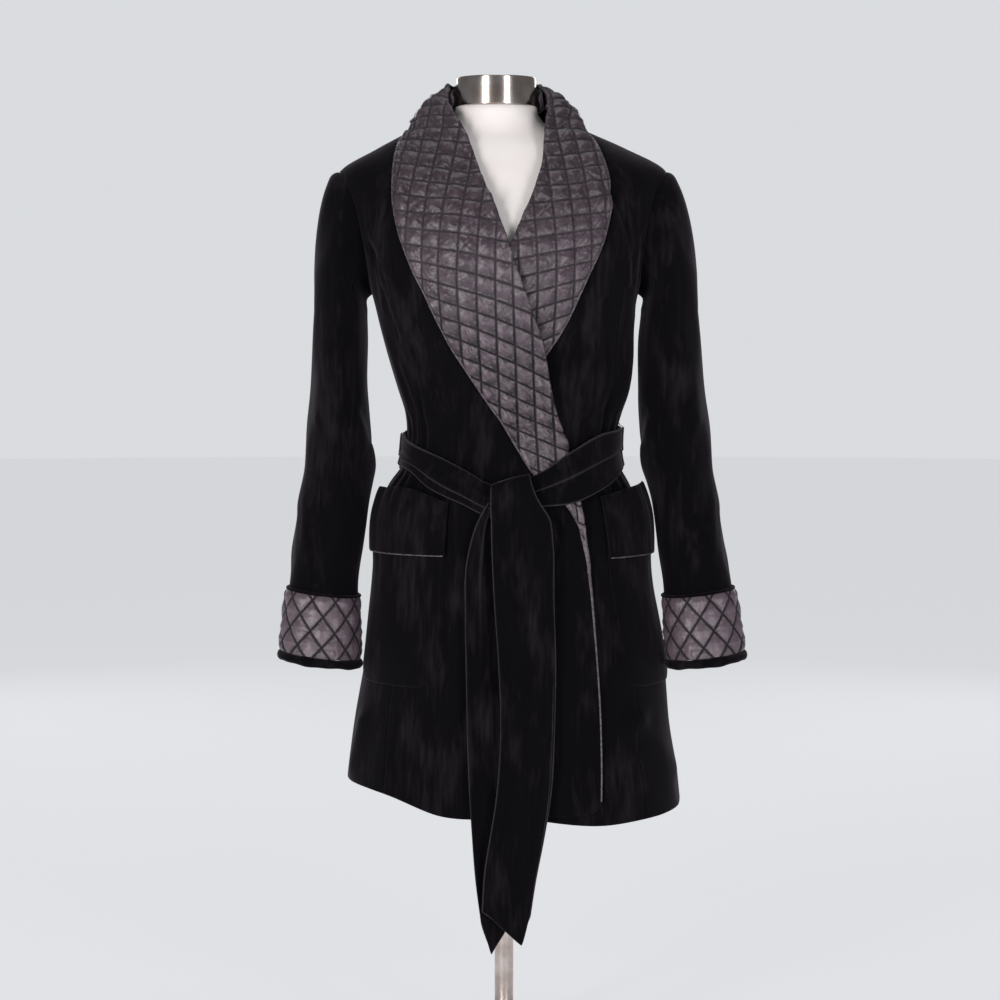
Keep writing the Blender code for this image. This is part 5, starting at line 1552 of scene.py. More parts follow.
    def front_facing(self) -> None:
        """Narrow satin facing that shows along the lapping front's edge, below the collar's end."""
        form, layers = self.shop.form, self.shop.layers
        z = np.linspace(self.facing_low, self.facing_high, 150)[:, None]
        share = spread(14, 0.006)[None, :]
        width = FACING("width", z)
        lean = np.degrees(width / form.fold_reach)
        edge = form.phi_at(OVER_EDGE("x", z), z) + 0.35
        phi = edge - lean * (1.0 - share)
        z = z + 0.0 * phi
        base = layers.over(phi, z) + layers.velvet * (1.0 - 0.75 * smooth((share - 0.80) / 0.20)) + 0.0001
        ridges = 0.0002 * np.sin(z * 2.0 * np.pi / 0.0042 + 3.0 * share)
        belly = 0.0004 + (0.0007 + ridges) * np.sin(np.pi * share)
        outer, inner = form.cloth(phi, z, base + belly), form.cloth(phi, z, base)
        trim = Shell("satin_front_facing", outer, inner).build(self.shop.finishes.cord)
        self.shop.keep(trim)


FACING = Table("z width", (
    (0.3, 0.0016), (0.42, 0.002), (0.5, 0.0026), (0.56, 0.0044), (0.6, 0.007), (0.63, 0.008),
))


NECK_COLLAR = Table("angle roll_z outer_z", (
    (90.0, 1.114, 1.068), (115.0, 1.118, 1.06), (140.0, 1.12, 1.052), (179.8, 1.121, 1.046),
))

COLLAR_STAND = Table("apart foot_z roll_z", (
    (0.0, 1.0815, 1.1205), (60.0, 1.0882, 1.119), (90.0, 1.0915, 1.113), (110.0, 1.0915, 1.104),
))


def neck_ring(angle: Array, half_width: Array | float, half_depth: Array | float, z: Array) -> Array:
    """Points round the neck at the same angles as the body.

    Args:
        angle: angles from the front middle, in degrees.
        half_width: half width of the ring.
        half_depth: half depth of the ring.
        z: its height.

    Returns:
        Points.
    """
    turn = np.radians(angle)
    x = -0.009 + half_width * np.sin(turn)
    y = 0.008 - half_depth * np.cos(turn)
    return np.stack([x, y, np.broadcast_to(z, x.shape)], axis=-1)


def cell_noise(first: Array, second: Array, seed: float) -> Array:
    """A steady number from -1 to 1 for each whole cell."""
    mixed = np.sin(np.floor(first) * 12.9898 + np.floor(second) * 78.233 + seed) * 43758.5453
    return 2.0 * (mixed - np.floor(mixed)) - 1.0


def quilt_height(first: Array, second: Array, rise: float) -> Array:
    """Height of the padding between two families of stitched lines.

    Args:
        first: cell number across, whole at each line of one family.
        second: cell number along, whole at each line of the other.
        rise: height of a plump cell's middle.

    Returns:
        Height over the stitched lines.
    """
    crown = np.abs(np.sin(np.pi * first) * np.sin(np.pi * second)) ** 0.55
    a, b = first - np.floor(first), second - np.floor(second)
    tilt = cell_noise(first, second, 1.0) * (a - b) + cell_noise(first, second, 2.0) * (a + b - 1.0)
    plump = 1.0 + 0.20 * cell_noise(first, second, 3.0)
    bend = 0.12 * np.sin(5.0 * (a - b) + 3.0 * cell_noise(first, second, 6.0))
    falling = np.exp(-(((a + b - 1.0 + bend) / 0.11) ** 2)) * cell_noise(first, second, 4.0)
    rising = np.exp(-(((a - b + bend) / 0.11) ** 2)) * cell_noise(first, second, 5.0)
    near = np.minimum(np.minimum(a, 1.0 - a), np.minimum(b, 1.0 - b))
    pucker = np.sin(22.0 * (a + b) + 9.0 * cell_noise(first, second, 7.0)) * np.exp(-((near / 0.16) ** 2))
    return rise * crown * (plump + 0.75 * tilt + 0.36 * (falling + rising) + 0.22 * pucker)


@dataclass
class ShawlCollar:
    """Quilted shawl collar in two halves, its stand, edge cords and quilting stitches."""

    shop: Workshop
    steps: int = 14
    lying_top: float = 1.070
    fall_lift: float = 0.00376
    belly: float = 0.0050
    wall: float = 0.0013
    rise: float = 0.0040
    edge_lift: float = 0.0022
    roll_radius: float = 0.0026
    cell_across: float = 0.0205
    cell_along: float = 0.0195
    top_slope: float = 8.0
    low_slope: float = 27.0
    low_fullness: float = 0.45
    full_below: float = 0.86
    full_reach: float = 0.14
    sash_top: float = 0.715
    sash_reach: float = 0.02
    sash_press: float = 0.55
    lap_press: float = 0.80
    roll_turn: tuple[float, float] = (205.0, 15.0)
    roll_steps: int = 16
    roll_wall: float = 0.0012
    roll_lead: tuple[float, float] = (-0.0075, -0.0005)
    # Columns of painted shade under the over collar's roll.
    roll_shade_from: float = 6.0
    roll_shade_reach: float = 8.0
    cloth_columns: int = 92
    neck_middle: tuple[float, float] = (-0.009, 0.008)
    edge_round: float = 0.0016
    cord_radius: float = 0.0011
    row_counts: dict[Side, int] = field(default_factory=lambda: {Side.RIGHT: 384, Side.LEFT: 270})

    def rails(self, side: Side, edge: Table, outline: Table,
              base: HeightField, rows: int) -> tuple[Array, Array, Array]:
        """Roll line and outer edge as matching rows, and how far each row is off the shoulders.

        Args:
            side: the wearer's side.
            edge: the free edge, by height.
            outline: the collar's outer edge, by height.
            base: height over the form of what it lies on.
            rows: how many rows.

        Returns:
            The roll line, the outer edge and the share of each row that is off the shoulders.
        """
        form = self.shop.form
        z_roll = np.linspace(outline.key[0] + 0.004, self.lying_top, self.steps)
        z_outer = np.linspace(outline.key[0], outline.key[-1], self.steps)
        roll_phi = form.phi_at(edge("x", z_roll), z_roll)
        outer_phi = form.phi_at(outline("x", z_outer), z_outer)
        plain = BodyForm(ripple=0.0)
        roll = plain.surface(roll_phi, z_roll)
        roll = roll + form.normal(roll_phi, z_roll) * base(roll_phi, z_roll)[:, None]
        outer = plain.surface(outer_phi, z_outer)
        outer = outer + form.normal(outer_phi, z_outer) * base(outer_phi, z_outer)[:, None]
        angle = side.value * NECK_COLLAR["angle"]
        ring = neck_ring(angle, 0.0560, 0.0545, NECK_COLLAR["roll_z"])
        fall_z = NECK_COLLAR["outer_z"]
        fall = form.surface(angle, fall_z) + form.normal(angle, fall_z) * self.fall_lift
        roll, outer = np.vstack([roll, ring]), np.vstack([outer, fall])
        air = np.concatenate([np.zeros(self.steps), np.ones(len(ring))])
        pace = np.linalg.norm(np.diff(outer + roll, axis=0), axis=1) / 2.0
        length = np.concatenate([[0.0], np.cumsum(pace)])
        at = np.linspace(0.0, length[-1], rows)
        roll = np.stack([curve(at, length, roll[:, k]) for k in range(3)], axis=-1)
        outer = np.stack([curve(at, length, outer[:, k]) for k in range(3)], axis=-1)
        return roll, outer, smooth(np.interp(at, length, air))

    def flat_pattern(self, roll: Array, outer: Array) -> tuple[Array, Array]:
        """The two edges laid flat, side by side, as the collar was cut.

        Args:
            roll: points along the roll line.
            outer: points along the outer edge.

        Returns:
            Both edges' points in a plane.
        """
        flat_roll, flat_outer = [np.zeros(2)], [np.array([np.linalg.norm(outer[0] - roll[0]), 0.0])]
        for k in range(len(roll) - 1):
            corner, across = flat_roll[-1], flat_outer[-1] - flat_roll[-1]
            flat_roll.append(self.third(corner, corner + across, roll[k + 1], roll[k], outer[k]))
            flat_outer.append(
                self.third(flat_roll[-1], flat_outer[-1], outer[k + 1], roll[k + 1], outer[k])
            )
        return np.array(flat_roll), np.array(flat_outer)

    def third(self, left: Array, right: Array, point: Array, near: Array, far: Array) -> Array:
        """Lays a triangle's third corner flat, above the line from left to right.

        Args:
            left: its flat first corner.
            right: its flat second corner.
            point: the third corner in space.
            near: the first corner in space.
            far: the second corner in space.

        Returns:
            The corner.
        """
        to_near, to_far = np.linalg.norm(point - near), np.linalg.norm(point - far)
        line = right - left
        width = max(float(np.linalg.norm(line)), 1e-9)
        along = (to_near**2 - to_far**2 + width**2) / (2.0 * width)
        up = math.sqrt(max(float(to_near**2 - along**2), 0.0))
        direction = line / width
        return left + direction * along + np.array([-direction[1], direction[0]]) * up

    def cells(self, side: Side, roll: Array, outer: Array, share: Array) -> tuple[Array, Array, Array]:
        """Cloth coordinates and the two cell numbers at each point.

        Args:
            side: the wearer's side.
            roll: points along the roll line.
            outer: points along the outer edge.
            share: shares across, from 0 to 1.

        Returns:
            Cloth coordinates, and cell numbers one way and the other.
        """
        flat_roll, flat_outer = self.flat_pattern(roll, outer)
        level = int(np.argmin(np.abs(roll[:, 2] - 0.97) + (roll[:, 1] > 0.0)))
        worn = (outer[level] - roll[level])[[0, 2]]
        laid = flat_outer[level] - flat_roll[level]
        if side is Side.RIGHT:
            flat_roll, flat_outer = flat_roll * [-1.0, 1.0], flat_outer * [-1.0, 1.0]
            laid = laid * [-1.0, 1.0]
        turn = math.atan2(worn[1], worn[0]) - math.atan2(laid[1], laid[0])
        spin = np.array([[math.cos(turn), math.sin(turn)], [-math.sin(turn), math.cos(turn)]])
        flat_roll, flat_outer = flat_roll @ spin, flat_outer @ spin
        shift = roll[level][[0, 2]] - flat_roll[level]
        cloth = (flat_roll + shift)[:, None] * (1 - share) + (flat_outer + shift)[:, None] * share
        x, z = cloth[..., 0], cloth[..., 1]
        slope = self.low_slope + (self.top_slope - self.low_slope) * smooth((z - 0.76) / 0.22)
        lean = z - side.value * np.tan(np.radians(slope)) * (x - side.value * 0.03)
        return cloth, x / self.cell_across + 0.35, lean / self.cell_along

    def fullness(self, level: Array, covered: Array) -> Array:
        """How full the padding is: fuller low down, pressed flat by the sash and by the lapping front.

        Args:
            level: heights of the points.
            covered: how far each point lies under the lapping front.

        Returns:
            Shares of the plain height.
        """
        over_sash = smooth((level - self.sash_top) / self.sash_reach)
        fuller = 1.0 + self.low_fullness * smooth((self.full_below - level) / self.full_reach) * over_sash
        fuller = fuller * (1.0 - self.sash_press * smooth((self.sash_top - level) / self.sash_reach))
        return fuller * (1.0 - self.lap_press * covered)

    def half(self, side: Side, edge: Table, outline: Table,
             base: HeightField) -> None:
        """One half of the collar with its cord and stitches.

        Args:
            side: the wearer's side.
            edge: the free edge, by height.
            outline: the collar's outer edge, by height.
            base: height over the form of what it lies on.
        """
        form, velvet = self.shop.form, self.shop.layers.velvet
        roll, outer_edge, air = self.rails(side, edge, outline, base, self.row_counts[side])
        width = float(np.linalg.norm(outer_edge - roll, axis=1).mean())
        flat_share = spread(self.cloth_columns, width, start=False)
        share = flat_share[None, :, None]
        chord = roll[:, None] * (1 - share) + outer_edge[:, None] * share
        shift = SECTIONS("shift", chord[..., 2])
        phi = np.degrees(np.arctan2(chord[..., 0] - shift, -chord[..., 1]))
        z = np.clip(chord[..., 2], SECTIONS.key[0], SECTIONS.key[-1] - 0.005)
        lying = form.cloth(phi, z, base(phi, z))
        away = (chord - [*self.neck_middle, 0.0]) * [1.0, 1.0, 0.0]
        bow = np.sin(np.pi * share) * self.belly
        flying = chord + (unit(away) + [0.0, 0.0, 1.0]) * bow
        weight = air[:, None, None]
        inner = lying * (1 - weight) + flying * weight
        normal = grid_normals(inner)
        normal = normal * np.sign(np.sum(normal * (inner - [0.0, 0.0, 0.878]), axis=-1).mean())

        cloth, first, second = self.cells(side, roll, outer_edge, share[0])
        apart = run_lengths(inner, 1)[:, -1:] - run_lengths(inner, 1)
        start = run_lengths(inner, 0)
        calm = smooth(apart / 0.005) * smooth(start / 0.006)
        level = inner[..., 2]
        covered = np.zeros_like(level)
        if side is Side.LEFT:
            covered = smooth((OVER_EDGE("x", level) - inner[..., 0] - 0.003) / 0.012)
        height = quilt_height(first, second, self.rise) * (0.25 + 0.75 * calm)
        height = self.wall + height * self.fullness(level, covered)
        from_roll = run_lengths(inner, 1)
        high_up = inner[..., 2] - self.lying_top
        stand = self.edge_lift * np.exp(-((from_roll / 0.007) ** 2)) * (1.0 - smooth(high_up / 0.02))
        inner = inner + normal * (stand * (1.0 - covered))[..., None]
        outer = inner + normal * height[..., None]

        out = unit(inner[:, :1] - inner[:, 4:5])
        turn = np.radians(np.linspace(*self.roll_turn, self.roll_steps))[None, :, None]
        top = height[:, :1, None]
        lift = self.roll_radius
        ring = out * lift * np.sin(turn) + normal[:, :1] * (top - lift + lift * np.cos(turn))
        thin = lift - self.roll_wall
        core = out * thin * np.sin(turn) + normal[:, :1] * (top - lift + thin * np.cos(turn))
        outer = np.concatenate([inner[:, :1] + ring, outer], axis=1)
        lower = np.concatenate([inner[:, :1] + core, inner], axis=1)
        lead = np.linspace(*self.roll_lead, self.roll_steps)
        lead_cloth = cloth[:, :1] + unit(cloth[:, 4:5] - cloth[:, :1]) * lead[None, :, None]
        cloth = np.concatenate([lead_cloth, cloth], axis=1)
        cells = np.stack([first, second], axis=-1)
        cells = np.concatenate([np.repeat(cells[:, :1], self.roll_steps, axis=1), cells], axis=1)

        name = f"collar_{side.word}"
        shell = Shell(f"quilted_{name}", outer, lower, cloth=cloth, quilt=cells)
        shell.round_edges(self.edge_round, "rb", 0.2)
        # Painted shade on the roll's underside, kept in the 'edge' numbers.
        roll_painted_shade = 1.0 - smooth((np.arange(outer.shape[1]) - self.roll_shade_from) / self.roll_shade_reach)
        shell.edge = np.repeat(roll_painted_shade[None, :], len(outer), axis=0)
        self.shop.sheet(shell, self.shop.finishes.satin, "draped", [f"front_{side.word}"], name)

        rim = (outer[:, -1] + lower[:, -1]) / 2.0 + normal[:, -1] * 0.0003
        finishes = self.shop.finishes
        cord = self.shop.paths.cord(f"satin_cord_{name}", [rim[::2]], self.cord_radius, finishes.cord)
        self.shop.keep(cord)
        lines = self.quilt_lines(inner, normal, first, second, flat_share)
        self.shop.keep(self.shop.paths.stitches(f"stitches_{name}", lines, finishes.thread))
        LOG.info("%s stands %.1f mm over the velvet", name, (velvet + self.wall) * 1000)

    def quilt_lines(self, inner: Array, normal: Array, first: Array, second: Array,
                    share: Array) -> list[Array]:
        """The stitched lines, laid in the quilting's grooves.

        Args:
            inner: points of the cloth's inner face.
            normal: outward directions.
            first: cell numbers one way.
            second: cell numbers the other way.
            share: shares across, from 0 to 1.

        Returns:
            Points along each line.
        """
        groove = inner + normal * (self.wall + 0.0002)
        rows = np.arange(len(groove))
        lines: list[Array] = []
        for number in range(math.ceil(first.min()), math.floor(first.max()) + 1):
            found = []
            for row in rows:
                values = first[row]
                order = values if values[-1] > values[0] else values[::-1]
                if order[0] < number < order[-1]:
                    at = np.interp(number, order, share if values[-1] > values[0] else share[::-1])
                    if 0.03 < at < 0.96:
                        found.append([np.interp(at, share, groove[row, :, k]) for k in range(3)])
                elif len(found) > 6:
                    lines.append(np.array(found))
                    found = []
                else:
                    found = []
            if len(found) > 6:
                lines.append(np.array(found))
        places = np.linspace(0.03, 0.96, 34)
        for number in range(math.ceil(second.min()), math.floor(second.max()) + 1):
            found = []
            for at in places:
                values = np.array([np.interp(at, share, second[row]) for row in rows[::3]])
                if values.min() < number < values.max():
                    order = np.argsort(values)
                    row = float(np.interp(number, values[order], rows[::3][order]))
                    low = int(row)
                    part = row - low
                    high = min(low + 1, len(groove) - 1)
                    line = groove[low] * (1 - part) + groove[high] * part
                    found.append([np.interp(at, share, line[:, k]) for k in range(3)])
            if len(found) > 4:
                lines += self.unbroken(np.array(found))
        return lines

    def unbroken(self, line: Array) -> list[Array]:
        """Splits a line where it jumps."""
        jumps = np.flatnonzero(np.linalg.norm(np.diff(line, axis=0), axis=1) > 0.012) + 1
        return [part for part in np.split(line, jumps) if len(part) > 3]

    def stand(self) -> None:
        """Plain satin band inside the collar's roll."""
        apart = np.linspace(-110.0, 110.0, 91)[None, :]
        rows = np.linspace(0.0, 1.0, 17)[:, None]
        foot = COLLAR_STAND("foot_z", np.abs(apart))
        roll = COLLAR_STAND("roll_z", np.abs(apart))
        z = foot + (roll - foot) * rows
        wide, deep = 0.0565 - 0.0030 * rows, 0.0530 - 0.0010 * rows
        angle = 180.0 + apart
        slack = 0.0006 * np.sin(np.radians(apart) * 9.0) * np.sin(np.pi * rows)
        outer = neck_ring(angle, wide + slack, deep + slack, z)
        inner = neck_ring(angle, wide + slack - 0.002, deep + slack - 0.002, z)
        shell = Shell("satin_collar_stand", outer, inner).round_edges(0.0016)
        self.shop.sheet(
            shell, self.shop.finishes.cord, "stretched", ["collar_right", "collar_left"], "collar_stand"
        )

    def build(self) -> None:
        """Both halves and the stand."""
        layers = self.shop.layers
        self.half(Side.RIGHT, OVER_EDGE, OVER_COLLAR, layers.over_collar)
        self.half(Side.LEFT, UNDER_EDGE, UNDER_COLLAR, layers.under_collar)
        self.stand()


class CuffSize(NamedTuple):
    """Middle and half width of a cuff at its top and bottom."""

    top_x: float
    bottom_x: float
    top_half: float
    bottom_half: float
    top_y: float
    bottom_y: float


SLEEVE_RINGS = {
    Side.RIGHT: Table("z outer inner y half_depth", (
        (0.542, 0.25, 0.169, -0.027, 0.045), (0.575, 0.248, 0.1655, -0.018, 0.05),
        (0.613, 0.243, 0.16, -0.009, 0.054), (0.66, 0.2365, 0.1545, 0.0, 0.059),
        (0.706, 0.231, 0.1545, 0.004, 0.063), (0.767, 0.226, 0.1585, 0.004, 0.069),
        (0.826, 0.2225, 0.158, 0.002, 0.0745), (0.858, 0.22, 0.1595, 0.0, 0.077),
    )),
    Side.LEFT: Table("z outer inner y half_depth", (
        (0.542, 0.2655, 0.1855, -0.024, 0.045), (0.575, 0.259, 0.1805, -0.014, 0.05),
        (0.613, 0.254, 0.176, -0.002, 0.054), (0.66, 0.2475, 0.1685, 0.007, 0.059),
        (0.706, 0.242, 0.16, 0.009, 0.063), (0.767, 0.2345, 0.156, 0.008, 0.069),
        (0.826, 0.229, 0.156, 0.005, 0.0745), (0.858, 0.225, 0.16, 0.002, 0.077),
    )),
}

SLEEVE_CREASES = tuple(Fold(*row) for row in (
    (70.0, 0.76, 118.0, 0.7, 0.008, -0.003), (52.0, 0.735, 100.0, 0.672, 0.007, 0.0024),
    (84.0, 0.69, 128.0, 0.64, 0.0075, -0.0026), (36.0, 0.64, 62.0, 0.57, 0.008, 0.0024),
    (96.0, 0.625, 84.0, 0.56, 0.007, -0.0024), (120.0, 0.86, 112.0, 0.78, 0.009, -0.0022),
    (64.0, 0.915, 78.0, 0.84, 0.009, -0.002), (28.0, 0.9, 40.0, 0.8, 0.011, 0.0018),
    (-70.0, 0.765, -112.0, 0.705, 0.008, -0.0028), (-48.0, 0.73, -96.0, 0.668, 0.0075, 0.0022),
    (-88.0, 0.68, -124.0, 0.63, 0.0075, -0.0024), (-60.0, 0.91, -76.0, 0.83, 0.009, -0.002),
    (-30.0, 0.64, -44.0, 0.565, 0.0085, -0.002), (150.0, 0.74, 190.0, 0.69, 0.008, -0.0026),
    (168.0, 0.7, 205.0, 0.655, 0.007, 0.002), (180.0, 0.85, 172.0, 0.77, 0.009, -0.002),
    (4.0, 0.62, 10.0, 0.552, 0.009, -0.0018),
))

CUFFS = {
    Side.RIGHT: CuffSize(-0.2095, -0.2125, 0.0430, 0.0470, -0.029, -0.0445),
    Side.LEFT: CuffSize(0.2255, 0.2325, 0.0425, 0.0455, -0.027, -0.0465),
}


@dataclass
class Sleeves:
    """Two-piece sleeves with their quilted turned back cuffs."""

    shop: Workshop
    panels: BodyPanels
    tilt: float = 7.0
    cuff_top: float = 0.5325
    cuff_bottom: float = 0.4630
    roll_bottom: float = 0.4530
    depth_ratio: float = 1.03
    ease_top: float = 0.590
    lip_gap: float = 0.0002
    lip_reach: float = 0.0030
    cap_rows: int = 34
    arm_rows: int = 104
    under_from: float = 120.0
    cell_across: float = 0.0283
    cell_up: float = 0.0344
    cell_start: float = 0.012
    cell_turn: float = 0.37
    quilt_rise: float = 0.0027
    arm_reach: float = 0.045
    crease_fade: float = 0.40
    lining: float = 0.0020

    def cuff_ring(self, side: Side, z: Array | float, outset: Array | float, turn: Array) -> Array:
        """A ring of the cuff, tilted with the sleeve.

        Args:
            side: the wearer's side.
            z: heights.
            outset: distance out from the cuff.
            turn: angles round the arm, in radians.

        Returns:
            Points.
        """
        cuff = CUFFS[side]
        t = (self.cuff_top - z) / (self.cuff_top - self.cuff_bottom)
        x = cuff.top_x + (cuff.bottom_x - cuff.top_x) * t
        y = cuff.top_y + (cuff.bottom_y - cuff.top_y) * t
        half = cuff.top_half + (cuff.bottom_half - cuff.top_half) * t + outset
        across = half * np.cos(turn)
        rise = across * math.tan(math.radians(self.tilt))
        deep = y - half * self.depth_ratio * np.sin(turn)
        return np.stack(np.broadcast_arrays(x + side.value * across, deep, z + rise), axis=-1)

    def arm_ring(self, side: Side, z: float, turn: Array) -> Array:
        """A ring of the arm, easing into the cuff.

        Args:
            side: the wearer's side.
            z: heights.
            turn: angles round the arm, in radians.

        Returns:
            Points.
        """
        rings = SLEEVE_RINGS[side]
        outer, inner = rings("outer", z), rings("inner", z)
        middle, half = (outer + inner) / 2.0, (outer - inner) / 2.0
        depth, y = rings("half_depth", z), rings("y", z)
        tilt = math.tan(math.radians(self.tilt)) * smooth((0.62 - z) / 0.07)
        across = half * np.cos(turn)
        x = side.value * (middle + across)
        free = np.stack([x, y - depth * np.sin(turn), z + across * tilt], axis=-1)
        held = self.cuff_ring(side, z, -0.0020 - self.shop.layers.gap, turn)
        weight = float(smooth((self.ease_top - z) / (self.ease_top - self.cuff_top)))
        return free * (1.0 - weight) + held * weight

    def grid(self, side: Side, turn: Array) -> Array:
        """Outer points of the sleeve, from the armhole down, at angles from its top.

        Args:
            side: the wearer's side.
            turn: angles round the arm, in radians.

        Returns:
            Points in rows.
        """
        sign, form = side.value, self.shop.form
        whole = np.linspace(0.0, 2.0 * math.pi, 72, endpoint=False)
        phi, z = self.panels.armhole(np.degrees(whole), sign)
        centre = form.surface(phi, z).mean(axis=0)
        phi, z = self.panels.armhole(np.degrees(turn), sign)
        normal = form.normal(phi, z)
        edge = form.surface(phi, z) + normal * self.shop.layers.velvet
        inward = unit(centre - edge)
        hole = edge + inward * self.lip_gap
        lip = edge - normal * (self.shop.layers.velvet + 0.0006) - inward * self.lip_reach
        corner = edge - normal * (self.shop.layers.velvet + 0.0004) + inward * self.lip_gap
        first = self.arm_ring(side, SLEEVE_RINGS[side].key[-1], turn)
        up = (1.0 + np.cos(turn)) / 2.0
        drop = 0.006 * up - 0.020 * (1 - up)
        leave = np.stack([sign * (0.035 + 0.050 * up), -0.030 * np.sin(turn), drop], axis=-1)
        reach = np.linalg.norm(first - hole, axis=1, keepdims=True)
        arrive = np.array([0.0, 0.0, -0.9]) * reach
        rows = [lip, corner]
        for t in spread(self.cap_rows, 0.12, end=False)[:-1]:
            start = (2 * t**3 - 3 * t**2 + 1) * hole + (t**3 - 2 * t**2 + t) * leave
            end = (-2 * t**3 + 3 * t**2) * first + (t**3 - t**2) * arrive
            rows.append(start + end)
        for z_level in np.linspace(SLEEVE_RINGS[side].key[-1], self.cuff_bottom + 0.004, self.arm_rows):
            rows.append(self.arm_ring(side, float(z_level), turn))
        return np.array(rows)

    def creases(self, grid: Array, turn: Array) -> Array:
        """Height of the creases, the sleeve head's soft roll and small unevenness.

        Args:
            grid: points in rows.
            turn: angles round the arm, in radians.

        Returns:
            Distances, out from the arm.
        """
        z = grid[..., 2]
        angle = np.degrees(turn)[None, :] + np.zeros_like(z)
        total = np.zeros_like(z)
        for wrap in (-360.0, 0.0, 360.0):
            total = total + fold_sum(SLEEVE_CREASES, angle + wrap, z, self.arm_reach, self.crease_fade)
        turn = np.radians(angle)
        elbow = np.exp(-(((z - 0.680) / 0.060) ** 2))
        long_fold = np.exp(-(((z - 0.600) / 0.090) ** 2))
        total = total + 0.0016 * np.cos(3.0 * turn + z * 60.0) * elbow
        total = total + 0.0018 * np.cos(2.0 * turn + 1.2) * long_fold
        total = total + 0.0005 * (np.sin(4.0 * turn + 29.0 * z) + np.sin(7.0 * turn - 41.0 * z + 1.0))
        run = run_lengths(grid, 0)
        head = 0.0008 * np.exp(-(((run - 0.016) / 0.007) ** 2)) * np.clip(np.cos(turn), 0.0, 1.0)
        return total * smooth((z - 0.545) / 0.030) * smooth((run - 0.005) / 0.02) + head

    def sleeve(self, side: Side) -> None:
        """Top sleeve and under sleeve.

        Args:
            side: the wearer's side.
        """
        layers = self.shop.layers
        span = math.radians(self.under_from)
        pieces = (
            ("top_sleeve", spread(60, 0.19) * 2.0 * span - span),
            ("under_sleeve", span + spread(32, 0.10) * (2.0 * math.pi - 2.0 * span)),
        )
        for name, turn in pieces:
            grid = self.grid(side, turn)
            normal = grid_normals(grid)
            ring_middle = np.array([self.grid_centre(grid, turn, row) for row in range(len(grid))])
            facing = np.sign(np.sum(normal * (grid - ring_middle[:, None]), axis=-1).mean())
            normal = normal * facing
            outer = grid + normal * self.creases(grid, turn)[..., None]
            inner = outer - normal * layers.velvet
            for layer in (outer, inner):
                layer[:, 0] += unit(layer[:, 1] - layer[:, 0]) * layers.sewn_gap / 2.0
                layer[:, -1] += unit(layer[:, -2] - layer[:, -1]) * layers.sewn_gap / 2.0
            shell = Shell(f"velvet_{name}_{side.word}", outer, inner).round_edges(0.0016, "lrt", 0.4)
            rests = [f"side_front_{side.word}", f"back_{side.word}"]
            self.shop.velvet(shell, "hung", rests, f"{name}_{side.word}")

    def grid_centre(self, grid: Array, turn: Array, row: int) -> Array:
        """Rough middle of the whole ring that a row belongs to.

        Args:
            grid: points in rows.
            turn: angles round the arm, in radians.
            row: the row's number.

        Returns:
            The middle.
        """
        side = Side.LEFT if grid[row, :, 0].mean() > 0.0 else Side.RIGHT
        z = float(np.clip(grid[row, :, 2].mean(), 0.542, 0.858))
        rings = SLEEVE_RINGS[side]
        x = side.value * float(rings("outer", z) + rings("inner", z)) / 2.0
        x = x if grid[row, :, 2].mean() < 0.90 else x - side.value * 0.02
        return np.array([x, float(rings("y", z)), float(grid[row, :, 2].mean())])

    def cuff(self, side: Side) -> None:
        """Quilted cuff, its stitches, the velvet roll below it and the cord along its top.

        Args:
            side: the wearer's side.
        """
        shop, finishes = self.shop, self.shop.finishes
        turn = np.linspace(0.0, 2.0 * math.pi, 181)[None, :]
        z = (self.cuff_bottom + (self.cuff_top - self.cuff_bottom) * spread(42, 0.07))[:, None]
        mean_half = (CUFFS[side].top_half + CUFFS[side].bottom_half) / 2.0
        count = round(2.0 * math.pi * mean_half / self.cell_across)
        around = turn / (2.0 * math.pi) * count
        upward = (z - self.cuff_bottom - self.cell_start) / self.cell_up
        first, second = around + upward + self.cell_turn, around - upward + self.cell_turn
        edge = np.minimum(z - self.cuff_bottom, self.cuff_top - z)
        calm = 0.30 + 0.70 * smooth(edge / 0.006)
        sag = 0.0008 * np.sin(3.0 * turn + 0.7) + 0.0006 * np.sin(7.0 * turn + 40.0 * z)
        height = quilt_height(first, second, self.quilt_rise) * calm + sag * 0.6 - 0.0006
        outer = self.cuff_ring(side, z, height, turn)[:, :-1]
        inner = self.cuff_ring(side, z, -0.0020, turn)[:, :-1]
        cloth = np.stack([turn * mean_half + 0.0 * z, z + 0.0 * turn], axis=-1)[:, :-1]
        cells = np.stack([first, second], axis=-1)[:, :-1]
        shell = Shell(f"quilted_cuff_{side.word}", outer, inner, ring=True, cloth=cloth, quilt=cells)
        shell.round_edges(0.0016, "bt", 0.3)
        rests = [f"top_sleeve_{side.word}", f"under_sleeve_{side.word}"]
        shop.sheet(shell, finishes.satin, "folded", rests, f"cuff_{side.word}")

        lines: list[Array] = []
        for number in range(count):
            for lean in (1.0, -1.0):
                level = np.linspace(self.cuff_bottom + 0.003, self.cuff_top - 0.003, 24)
                up = (level - self.cuff_bottom - self.cell_start) / self.cell_up
                angle = (number - self.cell_turn - lean * up) / count * 2.0 * math.pi
                lines.append(self.cuff_ring(side, level, -0.0003, angle))
        shop.keep(shop.paths.stitches(f"stitches_cuff_{side.word}", lines, finishes.thread))
        self.cuff_roll(side)
        top = self.cuff_ring(side, self.cuff_top + 0.0012, -0.0012, turn[0, ::2])
        top[-1] = top[0]
        cord = shop.paths.cord(f"velvet_cord_cuff_{side.word}", [top], 0.0019, finishes.velvet)
        shop.keep(cord)

